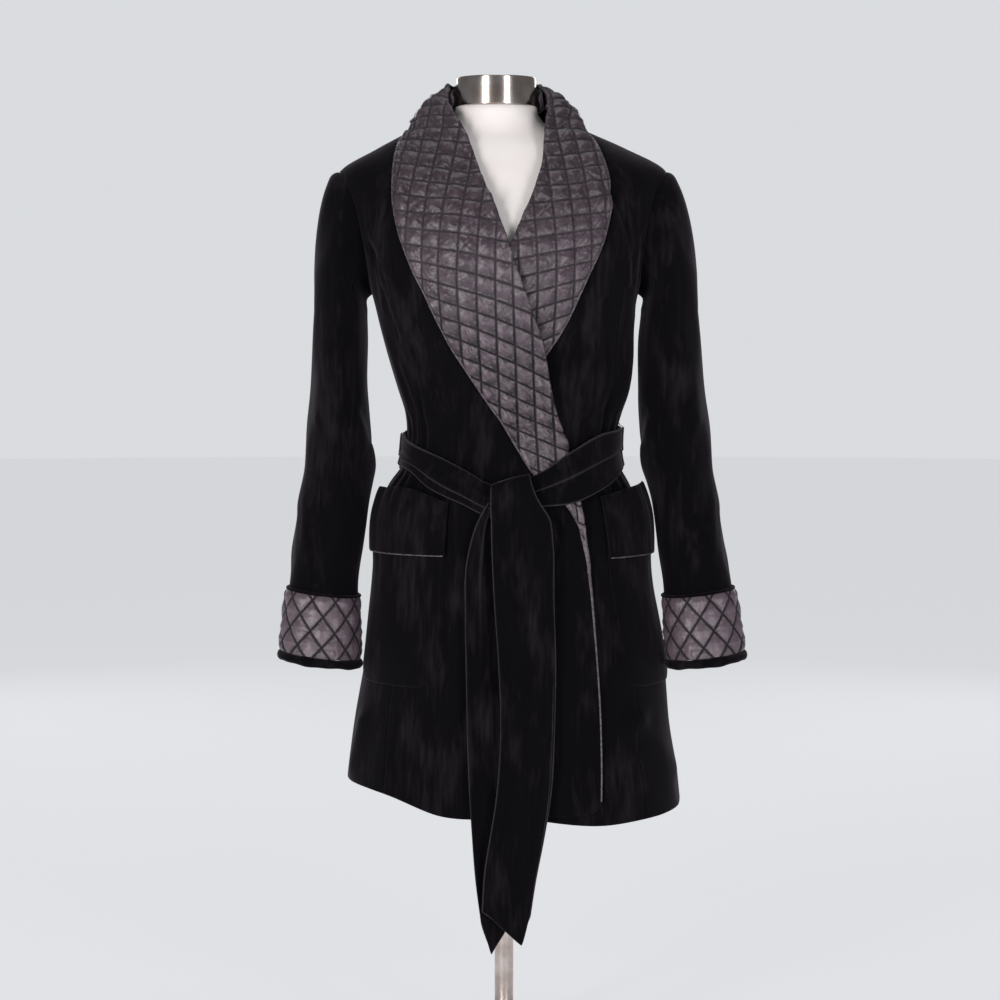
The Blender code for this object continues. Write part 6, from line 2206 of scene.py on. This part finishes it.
    def cuff_roll(self, side: Side) -> None:
        """Soft velvet roll along the cuff's lower edge.

        Args:
            side: the wearer's side.
        """
        shop = self.shop
        middle = (self.cuff_bottom + self.roll_bottom) / 2.0 - 0.0001
        radius = (self.cuff_bottom - self.roll_bottom) / 2.0 + 0.0003
        turn = np.linspace(0.0, 2.0 * math.pi, 160, endpoint=False)
        rings = []
        for round_it in np.linspace(0.0, 2.0 * math.pi, 18, endpoint=False):
            slack = 1.0 + 0.10 * np.sin(5.0 * turn + 1.0) + 0.06 * np.sin(11.0 * turn)
            level = middle + radius * math.sin(round_it) * slack
            rings.append(self.cuff_ring(side, level, radius * math.cos(round_it) - 0.003, turn))
        points = np.array(rings)
        faces = grid_faces(*points.shape[:2], tube=True)
        centre = points.mean(axis=0)
        out = np.cross(points[0, 1] - points[0, 0], points[1, 0] - points[0, 0])
        if float(out @ (points[0, 0] - centre[0])) < 0.0:
            faces = faces[:, ::-1]
        name = f"velvet_cuff_roll_{side.word}"
        piece = object_of(name, mesh_of(name, points.reshape(-1, 3), faces), shop.finishes.velvet)
        shop.keep(piece, f"cuff_roll_{side.word}")

    def build(self) -> None:
        """Both sleeves and cuffs."""
        for side in Side:
            self.sleeve(side)
            self.cuff(side)


class Pleat(NamedTuple):
    """A pressed pleat down a tail: its share of the width, its depth and the strength of the painted
    highlight along its fold.
    """

    s: float
    depth: float
    worn: float


KNOT = Table("z left right back front", (
    (0.629, -0.0125, 0.033, -0.129, -0.1385), (0.636, -0.013, 0.0325, -0.126, -0.1395),
    (0.648, -0.013, 0.032, -0.1235, -0.14), (0.657, -0.012, 0.0315, -0.1225, -0.137),
    (0.662, -0.008, 0.03, -0.122, -0.1325), (0.666, 0.004, 0.025, -0.1225, -0.1275),
))

FRONT_TAIL = Table("z left right y wave drop", (
    (0.669, -0.013, 0.025, -0.127, 0.0002, 0.016), (0.674, -0.0135, 0.0272, -0.1305, 0.0004, 0.014),
    (0.675, -0.014, 0.0285, -0.135, 0.0006, 0.012), (0.6715, -0.015, 0.0295, -0.1398, 0.001, 0.009),
    (0.662, -0.0155, 0.032, -0.1428, 0.0016, 0.006), (0.65, -0.0155, 0.0368, -0.1436, 0.0024, 0.003),
    (0.64, -0.0155, 0.0425, -0.143, 0.0032, 0.001), (0.6285, -0.015, 0.05, -0.1415, 0.004, 0.0),
    (0.6, -0.0145, 0.0548, -0.141, 0.005, 0.0), (0.542, -0.012, 0.056, -0.1455, 0.0055, 0.0),
    (0.458, -0.0065, 0.058, -0.153, 0.0055, 0.0), (0.4, -0.0045, 0.057, -0.157, 0.006, 0.0),
    (0.303, -0.01, 0.051, -0.1655, 0.0065, 0.0), (0.26, -0.016, 0.044, -0.1675, 0.0065, 0.0),
    (0.217, -0.022, 0.036, -0.168, 0.006, 0.0), (0.17, -0.025, 0.029, -0.168, 0.0055, 0.0),
))

BACK_TAIL = Table("z left right y wave drop", (
    (0.644, -0.018, -0.002, -0.129, 0.002, 0.0), (0.624, -0.029, -0.002, -0.1305, 0.0036, 0.0),
    (0.582, -0.0415, 0.006, -0.1337, 0.0044, 0.0), (0.515, -0.044, 0.008, -0.1385, 0.004, 0.0),
    (0.456, -0.043, 0.01, -0.144, 0.0038, 0.0), (0.361, -0.041, 0.012, -0.152, 0.0036, 0.0),
    (0.284, -0.037, 0.012, -0.1575, 0.0035, 0.0), (0.222, -0.032, 0.01, -0.159, 0.0035, 0.0),
    (0.174, -0.026, 0.006, -0.1595, 0.003, 0.0),
))

FRONT_TAIL_END = Table("s z", ((0.0, 0.189), (0.82, 0.15), (1.0, 0.183)))
BACK_TAIL_END = Table("s z", ((0.0, 0.174), (0.36, 0.137), (1.0, 0.173)))


@dataclass
class Sash:
    """The tied sash: three stretches round the waist, the knot and two hanging ends."""

    shop: Workshop
    side_lift: float = 0.0038
    front_lift: float = 0.0071
    side_phi: float = 91.0
    back_phi: float = 91.04
    knot_left: float = -8.9
    knot_right: float = 12.1
    layer_step: float = 0.0015
    loop_foot: float = 0.0034

    def lift(self, phi: Array) -> Array:
        """Inner face of the sash over the fronts and the collar."""
        over = smooth((phi + 78.0) / 52.0) * (1.0 - smooth((phi - 36.0) / 40.0))
        return self.side_lift + self.front_lift * over

    def plump(self, share: Array, step_at: float) -> Array:
        """Thickness of the folded sash by share of its width, with the step of its upper layer."""
        belly = np.sin(np.pi * np.clip(share, 0.0, 1.0)) ** 0.6 * 0.0016
        return 0.0024 + belly + self.layer_step * smooth((share - step_at) / 0.018)

    def band(self, name: str, start: float, end: float, count: int, step_at: float,
             node: str, rests: Sequence[str]) -> None:
        """One stretch round the waist, in two layers with soft lengthwise pleats.

        Args:
            name: its name.
            start: first angle, in degrees.
            end: last angle, in degrees.
            count: columns of points.
            step_at: share of its height at which the upper layer ends.
            node: the CAD node.
            rests: the CAD nodes it lies on.
        """
        form = self.shop.form
        phi = turned(start + (end - start) * spread(count, 0.22)[None, :])
        share = spread(40, 0.045)
        for near in (-0.02, -0.008, 0.004, 0.016):
            share = np.append(share, step_at + near)
        share = np.unique(share)[:, None]
        top, bottom = BELT("top", phi), BELT("bottom", phi)
        along = np.radians(phi) * 0.12
        z = bottom + (top - bottom) * share
        phi = np.repeat(phi, len(share), axis=0)
        plump = self.plump(share, step_at)
        pleats = 0.00055 * np.sin(2.0 * np.pi * (share * 2.6 + 9.0 * along)) * np.sin(np.pi * share)
        pleats = pleats + 0.0004 * np.sin(61.0 * along + 3.0 * share) * np.sin(np.pi * share)
        normal = form.normal(phi, z)
        inner = form.surface(phi, z) + normal * self.lift(phi)[..., None]
        outer = inner + normal * (plump + pleats)[..., None]
        # Painted sheen, partly wear, along its edges, and a painted highlight on the upper layer's folded
        # edge, through the 'edge' numbers.
        shell = Shell(name, outer, inner).round_edges(0.0018, "bt", 0.2, 0.85)
        painted_fold_highlight = np.exp(-(((share - step_at - 0.022) * 0.045 / 0.0010) ** 2)) + np.zeros_like(z)
        shell.edge = np.maximum(shell.edge, painted_fold_highlight * 0.6)
        self.shop.velvet(shell, "gathered", rests, node)

    def knot(self) -> None:
        """The knot's core, wrapped with soft pleats under the front tail."""
        sides, rings = 72, []
        for z in np.linspace(KNOT.key[0], KNOT.key[-1], 34):
            left, right = KNOT("left", z), KNOT("right", z)
            back, front = KNOT("back", z), KNOT("front", z)
            angle = np.linspace(0.0, 2.0 * math.pi, sides, endpoint=False)
            cos, sin = np.cos(angle), np.sin(angle)
            pleat = 1.0 + 0.03 * np.sin(5.0 * angle + 260.0 * z)
            x = (left + right) / 2.0 + (right - left) / 2.0 * np.sign(cos) * np.abs(cos) ** 0.65
            y = (back + front) / 2.0 + (back - front) / 2.0 * np.sign(sin) * np.abs(sin) ** 0.65 * pleat
            rings.append(np.stack([x, y, np.full(sides, z)], axis=-1))
        piece = solid_of_rings("velvet_knot", rings, self.shop.finishes.velvet)
        self.shop.keep(piece, "belt_knot")

    def tail(self, name: str, rows: Table, end: Table, bends: Sequence[float],
             pleat: Pleat, node: str, rests: Sequence[str]) -> None:
        """One hanging end with lengthwise folds and a pointed tip.

        Args:
            name: its name.
            rows: its edges, depth and waves, from the knot down.
            end: its pointed lower edge, by share across.
            bends: soft folds across its width, as counts.
            pleat: its pressed pleat.
            node: the CAD node.
            rests: the CAD nodes it lies on.
        """
        places = np.stack([rows[name] for name in ("left", "right", "y", "z", "wave", "drop")], axis=-1)
        steps = np.hypot(np.diff(places[:, 2]), np.diff(places[:, 3]))
        length = np.concatenate([[0.0], np.cumsum(steps)])
        fall = spread(140, length[-1])
        at = fall * length[-1]
        left, right, y, z, wave, drop = (curve(at, length, places[:, k])[:, None] for k in range(6))
        share = spread(38, 0.06)[None, :]
        end_z = np.interp(share, end["s"], end["z"])
        stretch = smooth((fall[:, None] - 0.55) / 0.45)
        z = z - drop * (1.0 - share) ** 1.4 + (end_z - rows["z"][-1]) * stretch
        x = left + (right - left) * share
        folds = sum(
            np.cos(2.0 * np.pi * (bend * share + 0.07 * k + 0.10 * np.sin(9.0 * z + 2.0 * k))) / (k + 1.0)
            for k, bend in enumerate(bends)
        )
        ripple = -folds * wave / 2.0 * 0.8
        pressed = pleat.depth * (1.0 - smooth((fall[:, None] - 0.10) / 0.75))
        ripple = ripple + pressed * smooth((share - pleat.s) / 0.05)
        ripple = ripple + 0.0012 * np.sin(55.0 * z + 3.0 * share) * smooth((0.60 - z) / 0.1)
        middle = np.stack([x, y + ripple, z], axis=-1)
        normal = grid_normals(middle)
        lead = np.sum(normal[40:, 20:24] * [0.0, -1.0, 0.0], axis=-1).mean()
        half = normal * np.sign(lead) * 0.0013
        # Painted sheen, partly wear, along its edges, and a painted highlight along the pleat's fold,
        # through the 'edge' numbers.
        shell = Shell(name, middle + half, middle - half).round_edges(0.0018, "lrbt", 0.3, 0.75)
        painted_fold_highlight = np.exp(-(((share - pleat.s + 0.01) / 0.018) ** 2)) * (1.0 - smooth(fall[:, None] / 0.45))
        shell.edge = np.maximum(shell.edge, painted_fold_highlight * pleat.worn)
        self.shop.velvet(shell, "hung", rests, node)

    def loop(self, side: Side) -> None:
        """Thin cloth loop over the sash at the side seam.

        Args:
            side: the wearer's side.
        """
        form, layers = self.shop.form, self.shop.layers
        middle = side.value * 92.0
        top = float(BELT("top", middle))
        bottom = float(BELT("bottom", middle))
        t = np.linspace(0.0, 1.0, 81)[:, None]
        phi = middle + np.linspace(-2.2, 2.2, 9)[None, :] + 0.0 * t
        z = bottom - self.loop_foot + (top - bottom + 2.0 * self.loop_foot) * t + 0.0 * phi
        share = (z - bottom) / (top - bottom)
        foot = layers.velvet + layers.seam_gap
        step_at = 0.26 if side is Side.RIGHT else 0.38
        over = self.side_lift + self.plump(share, step_at) + 0.0004
        step = smooth((share + 0.06) / 0.06) * smooth((1.06 - share) / 0.06)
        normal = form.normal(phi, z)
        lift = foot + (over - foot) * step
        inner = form.surface(phi, z) + normal * lift[..., None]
        crown = 0.0011 + 0.0006 * np.sqrt(np.clip(1.0 - ((phi - middle) / 2.2) ** 2, 0.0, 1.0))
        shell = Shell(f"velvet_belt_loop_{side.word}", inner + normal * crown[..., None], inner)
        shell.round_edges(0.0010, "lr", 0.4)
        rests = [f"side_front_{side.word}"]
        self.shop.velvet(shell, "stretched", rests, f"belt_loop_{side.word}")

    def build(self) -> None:
        """Every stretch, the knot, the ends and the loops."""
        self.band("velvet_sash_right", -self.side_phi, self.knot_left + 0.6, 110, 0.22,
                  "belt_right", ["front_right", "side_front_right"])
        self.band("velvet_sash_left", self.side_phi, self.knot_right - 0.6, 110, 0.46,
                  "belt_left", ["front_left", "side_front_left"])
        self.band("velvet_sash_back", self.back_phi, 360.0 - self.back_phi, 110, 0.34,
                  "belt_back", ["back_right", "back_left"])
        self.knot()
        self.tail("velvet_tail_front", FRONT_TAIL, FRONT_TAIL_END, (1.5, 2.6), Pleat(0.82, 0.0012, 0.0),
                  "belt_tail_front", ["belt_knot"])
        self.tail("velvet_tail_back", BACK_TAIL, BACK_TAIL_END, (1.0, 2.2), Pleat(0.34, 0.0034, 0.7),
                  "belt_tail_back", ["belt_knot"])
        for side in Side:
            self.loop(side)


def solid_of_rings(name: str, rings: Sequence[Array], material: bpy.types.Material) -> bpy.types.Object:
    """A closed piece from rings of points, one over the other from the bottom, with domed ends.

    Args:
        name: the piece's name.
        rings: the rings, each with as many points, turning anticlockwise seen from above.
        material: what it is made of.

    Returns:
        The piece.
    """
    points = np.array(rings)
    rows, columns = points.shape[:2]
    faces = [tuple(face) for face in grid_faces(rows, columns).tolist()]
    flat = points.reshape(-1, 3)
    last = (rows - 1) * columns
    faces += [(m, (m + columns - 1) % columns, len(flat)) for m in range(columns)]
    faces += [(last + m, last + (m + 1) % columns, len(flat) + 1) for m in range(columns)]
    ends = np.vstack([points[0].mean(axis=0), points[-1].mean(axis=0)])
    edge = points[0]
    area = np.sum(edge[:, 0] * np.roll(edge[:, 1], -1) - np.roll(edge[:, 0], -1) * edge[:, 1])
    if area < 0.0:
        faces = [tuple(reversed(face)) for face in faces]
    return object_of(name, mesh_of(name, np.vstack([flat, ends]), faces), material)


class PocketSize(NamedTuple):
    """A patch pocket: inner and outer edge by angle, its heights and how far its mouth gapes."""

    inner: float
    outer: float
    bottom: float
    patch_top: float
    cuff_bottom: float
    flare: float


POCKETS = {
    Side.RIGHT: PocketSize(-33.0, -84.0, 0.432, 0.630, 0.582, 0.006),
    Side.LEFT: PocketSize(49.5, 88.0, 0.430, 0.636, 0.578, 0.018),
}

POCKET_TOPS = {
    Side.RIGHT: Table("s z", ((0.0, 0.641), (0.3, 0.652), (1.0, 0.651))),
    Side.LEFT: Table("s z", ((0.0, 0.647), (0.3, 0.651), (1.0, 0.654))),
}


@dataclass
class Pockets:
    """Two patch pockets with turned down tops."""

    shop: Workshop
    bulge: float = 0.0030
    corner: float = 0.030
    gape: float = 0.0015
    edge_round: float = 0.0022
    # worn: painted sheen, partly wear, along the pocket's edges.
    worn: float = 0.10
    height: float = 0.20
    sewn_gap: float = 0.0003
    sewn_reach: float = 0.006
    widths: dict[Side, float] = field(default_factory=lambda: {Side.RIGHT: 0.10, Side.LEFT: 0.085})

    def stand_off(self, side: Side, phi: Array, z: Array) -> Array:
        """Inner face of the patch over the body.

        Args:
            side: the wearer's side.
            phi: angles from the front middle, in degrees.
            z: heights.

        Returns:
            Heights over the form.
        """
        size, layers = POCKETS[side], self.shop.layers
        s = (phi - size.inner) / (size.outer - size.inner)
        up = np.clip((z - size.bottom) / (size.patch_top - size.bottom), 0.0, 1.1)
        belly = self.bulge * np.sin(np.pi * np.clip(s, 0.0, 1.0)) * up
        flare = size.flare * np.clip(s, 0.0, 1.0) ** 2 * smooth((up - 0.45) / 0.65) * 0.55
        under = layers.over(phi, z) if side is Side.RIGHT else layers.under(phi, z)
        return under + layers.velvet + belly + flare

    def slouch(self, share: Array, rise: Array) -> Array:
        """Soft creases that hang from the mouth of the pocket.

        Args:
            share: shares across, from 0 to 1.
            rise: shares up, from 0 to 1.

        Returns:
            Distances, out from the patch.
        """
        total = np.zeros(np.broadcast(share, rise).shape)
        for start, end, low, width, height in (
            (0.10, 0.22, 0.35, 0.045, 0.0016),
            (0.30, 0.26, 0.20, 0.060, -0.0018),
            (0.55, 0.48, 0.30, 0.050, 0.0015),
            (0.78, 0.70, 0.15, 0.060, -0.0016),
            (0.92, 0.88, 0.40, 0.040, 0.0012),
        ):
            line = start + (end - start) * (1.0 - rise)
            fade = smooth((rise - low) / (1.0 - low))
            total = total + height * np.exp(-(((share - line) / width) ** 2)) * fade
        return total

    def patch(self, side: Side) -> None:
        """The patch, sewn down along its sides and bottom.

        Args:
            side: the wearer's side.
        """
        layers, size = self.shop.layers, POCKETS[side]
        width = self.widths[side]
        share, rise = spread(52, width)[None, :], spread(70, self.height)[:, None]
        phi = size.inner + (size.outer - size.inner) * share + 0.0 * rise
        bottom = size.bottom + self.corner * np.abs(2.0 * share - 1.0) ** 7
        z = bottom + (size.patch_top - bottom) * rise
        near = np.minimum(np.minimum(share, 1.0 - share) * width, rise * self.height)
        sewn = smooth(near / self.sewn_reach)
        lift = self.stand_off(side, phi, z) + self.sewn_gap + (layers.gap - self.sewn_gap) * sewn
        lift = lift + self.slouch(share, rise) * sewn
        shell = self.shop.laid(f"velvet_pocket_{side.word}", phi, z, lift)
        shell.round_edges(self.edge_round, "lrb", 0.1, self.worn)
        rests = [f"front_{side.word}", f"side_front_{side.word}"]
        self.shop.velvet(shell, "draped", rests, f"pocket_{side.word}")

    def turned_top(self, side: Side) -> None:
        """The turned down top and the satin cord along its lower edge.

        Args:
            side: the wearer's side.
        """
        layers, size = self.shop.layers, POCKETS[side]
        width = self.widths[side]
        share = -0.02 + 1.04 * spread(52, width)[None, :]
        rise = spread(30, 0.07)[:, None]
        phi = size.inner + (size.outer - size.inner) * share + 0.0 * rise
        top = POCKET_TOPS[side]("z", np.clip(share, 0.0, 1.0))
        z = size.cuff_bottom + (top - size.cuff_bottom) * rise
        wavy = 0.0009 * np.sin(9.0 * share + 1.0) * (1.0 - rise)
        lift = self.stand_off(side, phi, z) + layers.gap + layers.velvet + 0.0006
        lift = lift + self.gape * (1.0 - rise) + wavy + self.slouch(share, 0.6 + 0.4 * rise)
        shell = self.shop.laid(f"velvet_pocket_top_{side.word}", phi, z, lift)
        line = (shell.outer[0] + shell.inner[0]) / 2.0
        shell.round_edges(self.edge_round, "lrbt", 0.25, self.worn)
        node = f"pocket_cuff_{side.word}"
        self.shop.velvet(shell, "folded", [f"pocket_{side.word}"], node)
        cord = self.shop.paths.cord(
            f"satin_cord_pocket_{side.word}", [line[2:-2]], 0.0008, self.shop.finishes.cord
        )
        self.shop.keep(cord)

    def build(self) -> None:
        """Both pockets."""
        for side in Side:
            self.patch(side)
            self.turned_top(side)


FORM_INSET = Table("z inset", (
    (0.45, 0.012), (0.6, 0.014), (0.7, 0.01), (0.8, 0.008), (0.9, 0.006), (0.98, 0.005),
    (1.005, 0.004), (1.045, 0.0037), (1.06, 0.005), (1.075, 0.008), (1.094, 0.009),
))


@dataclass
class DressForm:
    """Jersey covered torso with a steel neck cap, on a pole and a round base."""

    shop: Workshop
    bottom: float = 0.450
    neck_top: float = 1.094
    neck_start: float = 1.052
    neck_radius: float = 0.047
    cap_radius: float = 0.0465
    cap_top: float = 1.128
    pole_radius: float = 0.011
    base_radius: float = 0.125
    base_height: float = 0.010

    def torso(self) -> None:
        """The smooth torso."""
        form = self.shop.form
        turn = np.linspace(-math.pi, math.pi, 128, endpoint=False)
        phi = np.degrees(np.arctan2(1.4 * np.sin(turn), np.cos(turn)))
        levels = np.concatenate([self.bottom + 0.02 * np.linspace(0.0, 1.0, 12) ** 1.6,
                                 np.linspace(0.475, self.neck_top, 84)])
        rings, around = [], []
        for z in levels:
            level = np.full(len(phi), z)
            inset = float(FORM_INSET("inset", z))
            shoulder = smooth((92.0 - np.abs(phi)) / 12.0) * smooth((z - 0.97) / 0.03)
            rounding = 0.020 * math.exp(-(z - self.bottom) / 0.006)
            direction = form.normal(phi, level) * [1.0, 1.0, float(smooth((z - 0.90) / 0.08))]
            depth = inset * (1.0 + shoulder) + rounding
            body = form.surface(phi, level) - unit(direction) * depth[:, None]
            neck = neck_ring(phi, self.neck_radius, self.neck_radius, level)
            weight = float(smooth((z - self.neck_start) / (self.neck_top - self.neck_start)))
            rings.append(body * (1 - weight) + neck * weight)
            around.append(turn * 0.13)
        piece = solid_of_rings("jersey_torso", rings, self.shop.finishes.jersey)
        layer = piece.data.uv_layers.new(name="cloth")
        height = np.repeat(levels[:, None], len(phi), axis=1)
        flat = np.stack([np.array(around), height], axis=-1).reshape(-1, 2)
        flat = np.vstack([flat, [[0.0, self.bottom], [0.0, self.neck_top]]])
        corners = np.zeros(len(piece.data.loops), np.int32)
        piece.data.loops.foreach_get("vertex_index", corners)
        layer.data.foreach_set("uv", flat[corners].astype(np.float32).reshape(-1))
        self.shop.keep(piece, "form_torso")

    def turned_piece(self, name: str, profile: Sequence[tuple[float, float]], centre: tuple[float, float],
                     material: bpy.types.Material, node: str, sides: int = 96) -> None:
        """A lathe turned piece.

        Args:
            name: its name.
            profile: radii and heights.
            centre: the axis's place.
            material: its material.
            node: the CAD node.
            sides: points in a ring.
        """
        angle = np.linspace(0.0, 2.0 * math.pi, sides, endpoint=False)
        rings = [
            np.stack([centre[0] + radius * np.cos(angle), centre[1] + radius * np.sin(angle),
                      np.full(sides, z)], axis=-1)
            for radius, z in profile
        ]
        self.shop.keep(solid_of_rings(name, rings, material), node)

    def bevelled(self, radius: float, low: float, high: float, edge: float) -> list[tuple[float, float]]:
        """Outline of a disc or cap with rounded rims.

        Args:
            radius: its radius.
            low: lowest height.
            high: highest height.
            edge: the rims' radius.

        Returns:
            Radii and heights.
        """
        steps = np.radians(np.linspace(0.0, 90.0, 7))
        side = radius - edge
        lower = [(side + edge * math.sin(s), low + edge - edge * math.cos(s)) for s in steps]
        upper = [(side + edge * math.cos(s), high - edge + edge * math.sin(s)) for s in steps]
        return [(side - edge * 2.0, low), *lower, *upper, (side - edge * 2.0, high)]

    def build(self) -> None:
        """Torso, cap, pole and base."""
        finishes = self.shop.finishes
        self.torso()
        cap = self.bevelled(self.cap_radius, self.neck_top + 0.0003, self.cap_top, 0.0016)
        self.turned_piece("steel_neck_cap", cap, (-0.009, 0.008), finishes.steel, "form_neck_cap")
        pole = self.bevelled(self.pole_radius, self.base_height + 0.0003, self.bottom - 0.0003, 0.0006)
        self.turned_piece("steel_pole", pole, (0.0, 0.0), finishes.dull_steel, "form_pole", 64)
        base = self.bevelled(self.base_radius, 0.0, self.base_height, 0.0025)
        self.turned_piece("steel_base", base, (0.0, 0.0), finishes.dull_steel, "form_base", 128)


@dataclass
class Studio:
    """Pale floor, soft light and the camera."""

    floor_sides: int = 96
    floor_radius: float = 14.0

    camera_place: Point = (-0.0047, -3.0, 0.837)
    camera_aim: Point = (-0.0047, 0.0, 0.638)
    lens: float = 92.5
    room_light: float = 0.16
    wall_colour: Point = (0.70, 0.715, 0.74)
    floor_glow: float = 0.88

    def floor(self) -> None:
        """Plain pale floor, level with the base's foot."""
        angle = np.linspace(0.0, 2.0 * math.pi, self.floor_sides, endpoint=False)
        rim = [self.floor_radius * np.cos(angle), self.floor_radius * np.sin(angle), 0.0 * angle]
        points = np.stack(rim, axis=-1)
        shader = Shader("pale_floor")
        tone = shader.noise(shader.place(), 0.8, 2.0)
        colours = (rgb(0.20, 0.20, 0.205), rgb(0.23, 0.23, 0.235))
        shader.set(
            Base_Color=shader.mix(tone, *colours),
            Roughness=0.9,
            Emission_Color=(*self.wall_colour, 1.0),
            Emission_Strength=self.floor_glow,
        )
        faces = [tuple(range(self.floor_sides))]
        object_of("studio_floor", mesh_of("studio_floor", points, faces), shader.material)

    def aimed(self, name: str, data: bpy.types.ID, place: Point, aim: Point) -> bpy.types.Object:
        """Puts a lamp or camera in the scene, turned towards a point.

        Args:
            name: the name it gets.
            data: the lamp or camera.
            place: where it stands.
            aim: where it points.

        Returns:
            The object.
        """
        thing = bpy.data.objects.new(name, data)
        thing.location = place
        direction = Vector(aim) - Vector(place)
        thing.rotation_euler = direction.to_track_quat("-Z", "Y").to_euler()
        bpy.context.collection.objects.link(thing)
        return thing

    def light(self, name: str, place: Point, aim: Point,
              size: tuple[float, float], power: float, colour: Point) -> None:
        """One softbox.

        Args:
            name: the name it gets.
            place: where it stands.
            aim: where it points.
            size: width and height.
            power: watts.
            colour: its colour.
        """
        lamp = bpy.data.lights.new(name, "AREA")
        lamp.shape = "RECTANGLE"
        lamp.size, lamp.size_y = size
        lamp.energy, lamp.color = power, colour
        self.aimed(name, lamp, place, aim)

    def camera(self) -> None:
        """The camera, in the photograph's place."""
        lens = bpy.data.cameras.new("photo_camera")
        lens.lens, lens.sensor_width = self.lens, 36.0
        bpy.context.scene.camera = self.aimed("photo_camera", lens, self.camera_place, self.camera_aim)

    def surround(self) -> None:
        """Dim room light, in front of a pale background."""
        world = bpy.data.worlds.new("studio")
        world.use_nodes = True
        tree = world.node_tree
        room = tree.nodes["Background"]
        room.inputs["Color"].default_value = (0.94, 0.97, 1.0, 1.0)
        room.inputs["Strength"].default_value = self.room_light
        wall = tree.nodes.new("ShaderNodeBackground")
        wall.inputs["Color"].default_value = (*self.wall_colour, 1.0)
        rays, mixed = tree.nodes.new("ShaderNodeLightPath"), tree.nodes.new("ShaderNodeMixShader")
        tree.links.new(rays.outputs["Is Camera Ray"], mixed.inputs[0])
        tree.links.new(room.outputs[0], mixed.inputs[1])
        tree.links.new(wall.outputs[0], mixed.inputs[2])
        tree.links.new(mixed.outputs[0], tree.nodes["World Output"].inputs["Surface"])
        bpy.context.scene.world = world

    def build(self) -> None:
        """World, lights, floor and camera."""
        bpy.context.scene.view_settings.view_transform = "Standard"
        self.surround()
        self.floor()
        aim = (0.0, 0.0, 0.78)
        white = (1.0, 1.0, 1.0)
        self.light("left_strip", (-1.65, -2.75, 1.15), aim, (0.55, 1.9), 56.0, (1.0, 0.985, 0.97))
        self.light("right_strip", (1.65, -2.75, 1.15), aim, (0.55, 1.9), 33.0, (0.98, 0.985, 1.0))
        self.light("top_softbox", (0.0, 0.3, 3.2), aim, (1.4, 1.4), 9.0, white)
        self.light("back_left_strip", (-1.3, 2.9, 1.5), aim, (0.7, 1.7), 13.0, white)
        self.light("back_right_strip", (1.3, 2.9, 1.5), aim, (0.7, 1.7), 13.0, white)
        self.camera()


def main() -> None:
    """Loads the frame, dresses it and sets up the studio."""
    logging.basicConfig(level=logging.INFO, format="%(message)s")
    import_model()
    form = BodyForm()
    shop = Workshop(form, Layers(form=form), Finishes(), PathWork())
    panels = BodyPanels(shop)
    panels.build()
    Sleeves(shop, panels).build()
    ShawlCollar(shop).build()
    Sash(shop).build()
    Pockets(shop).build()
    DressForm(shop).build()
    Studio().build()
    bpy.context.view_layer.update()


if __name__ == "__main__":
    main()
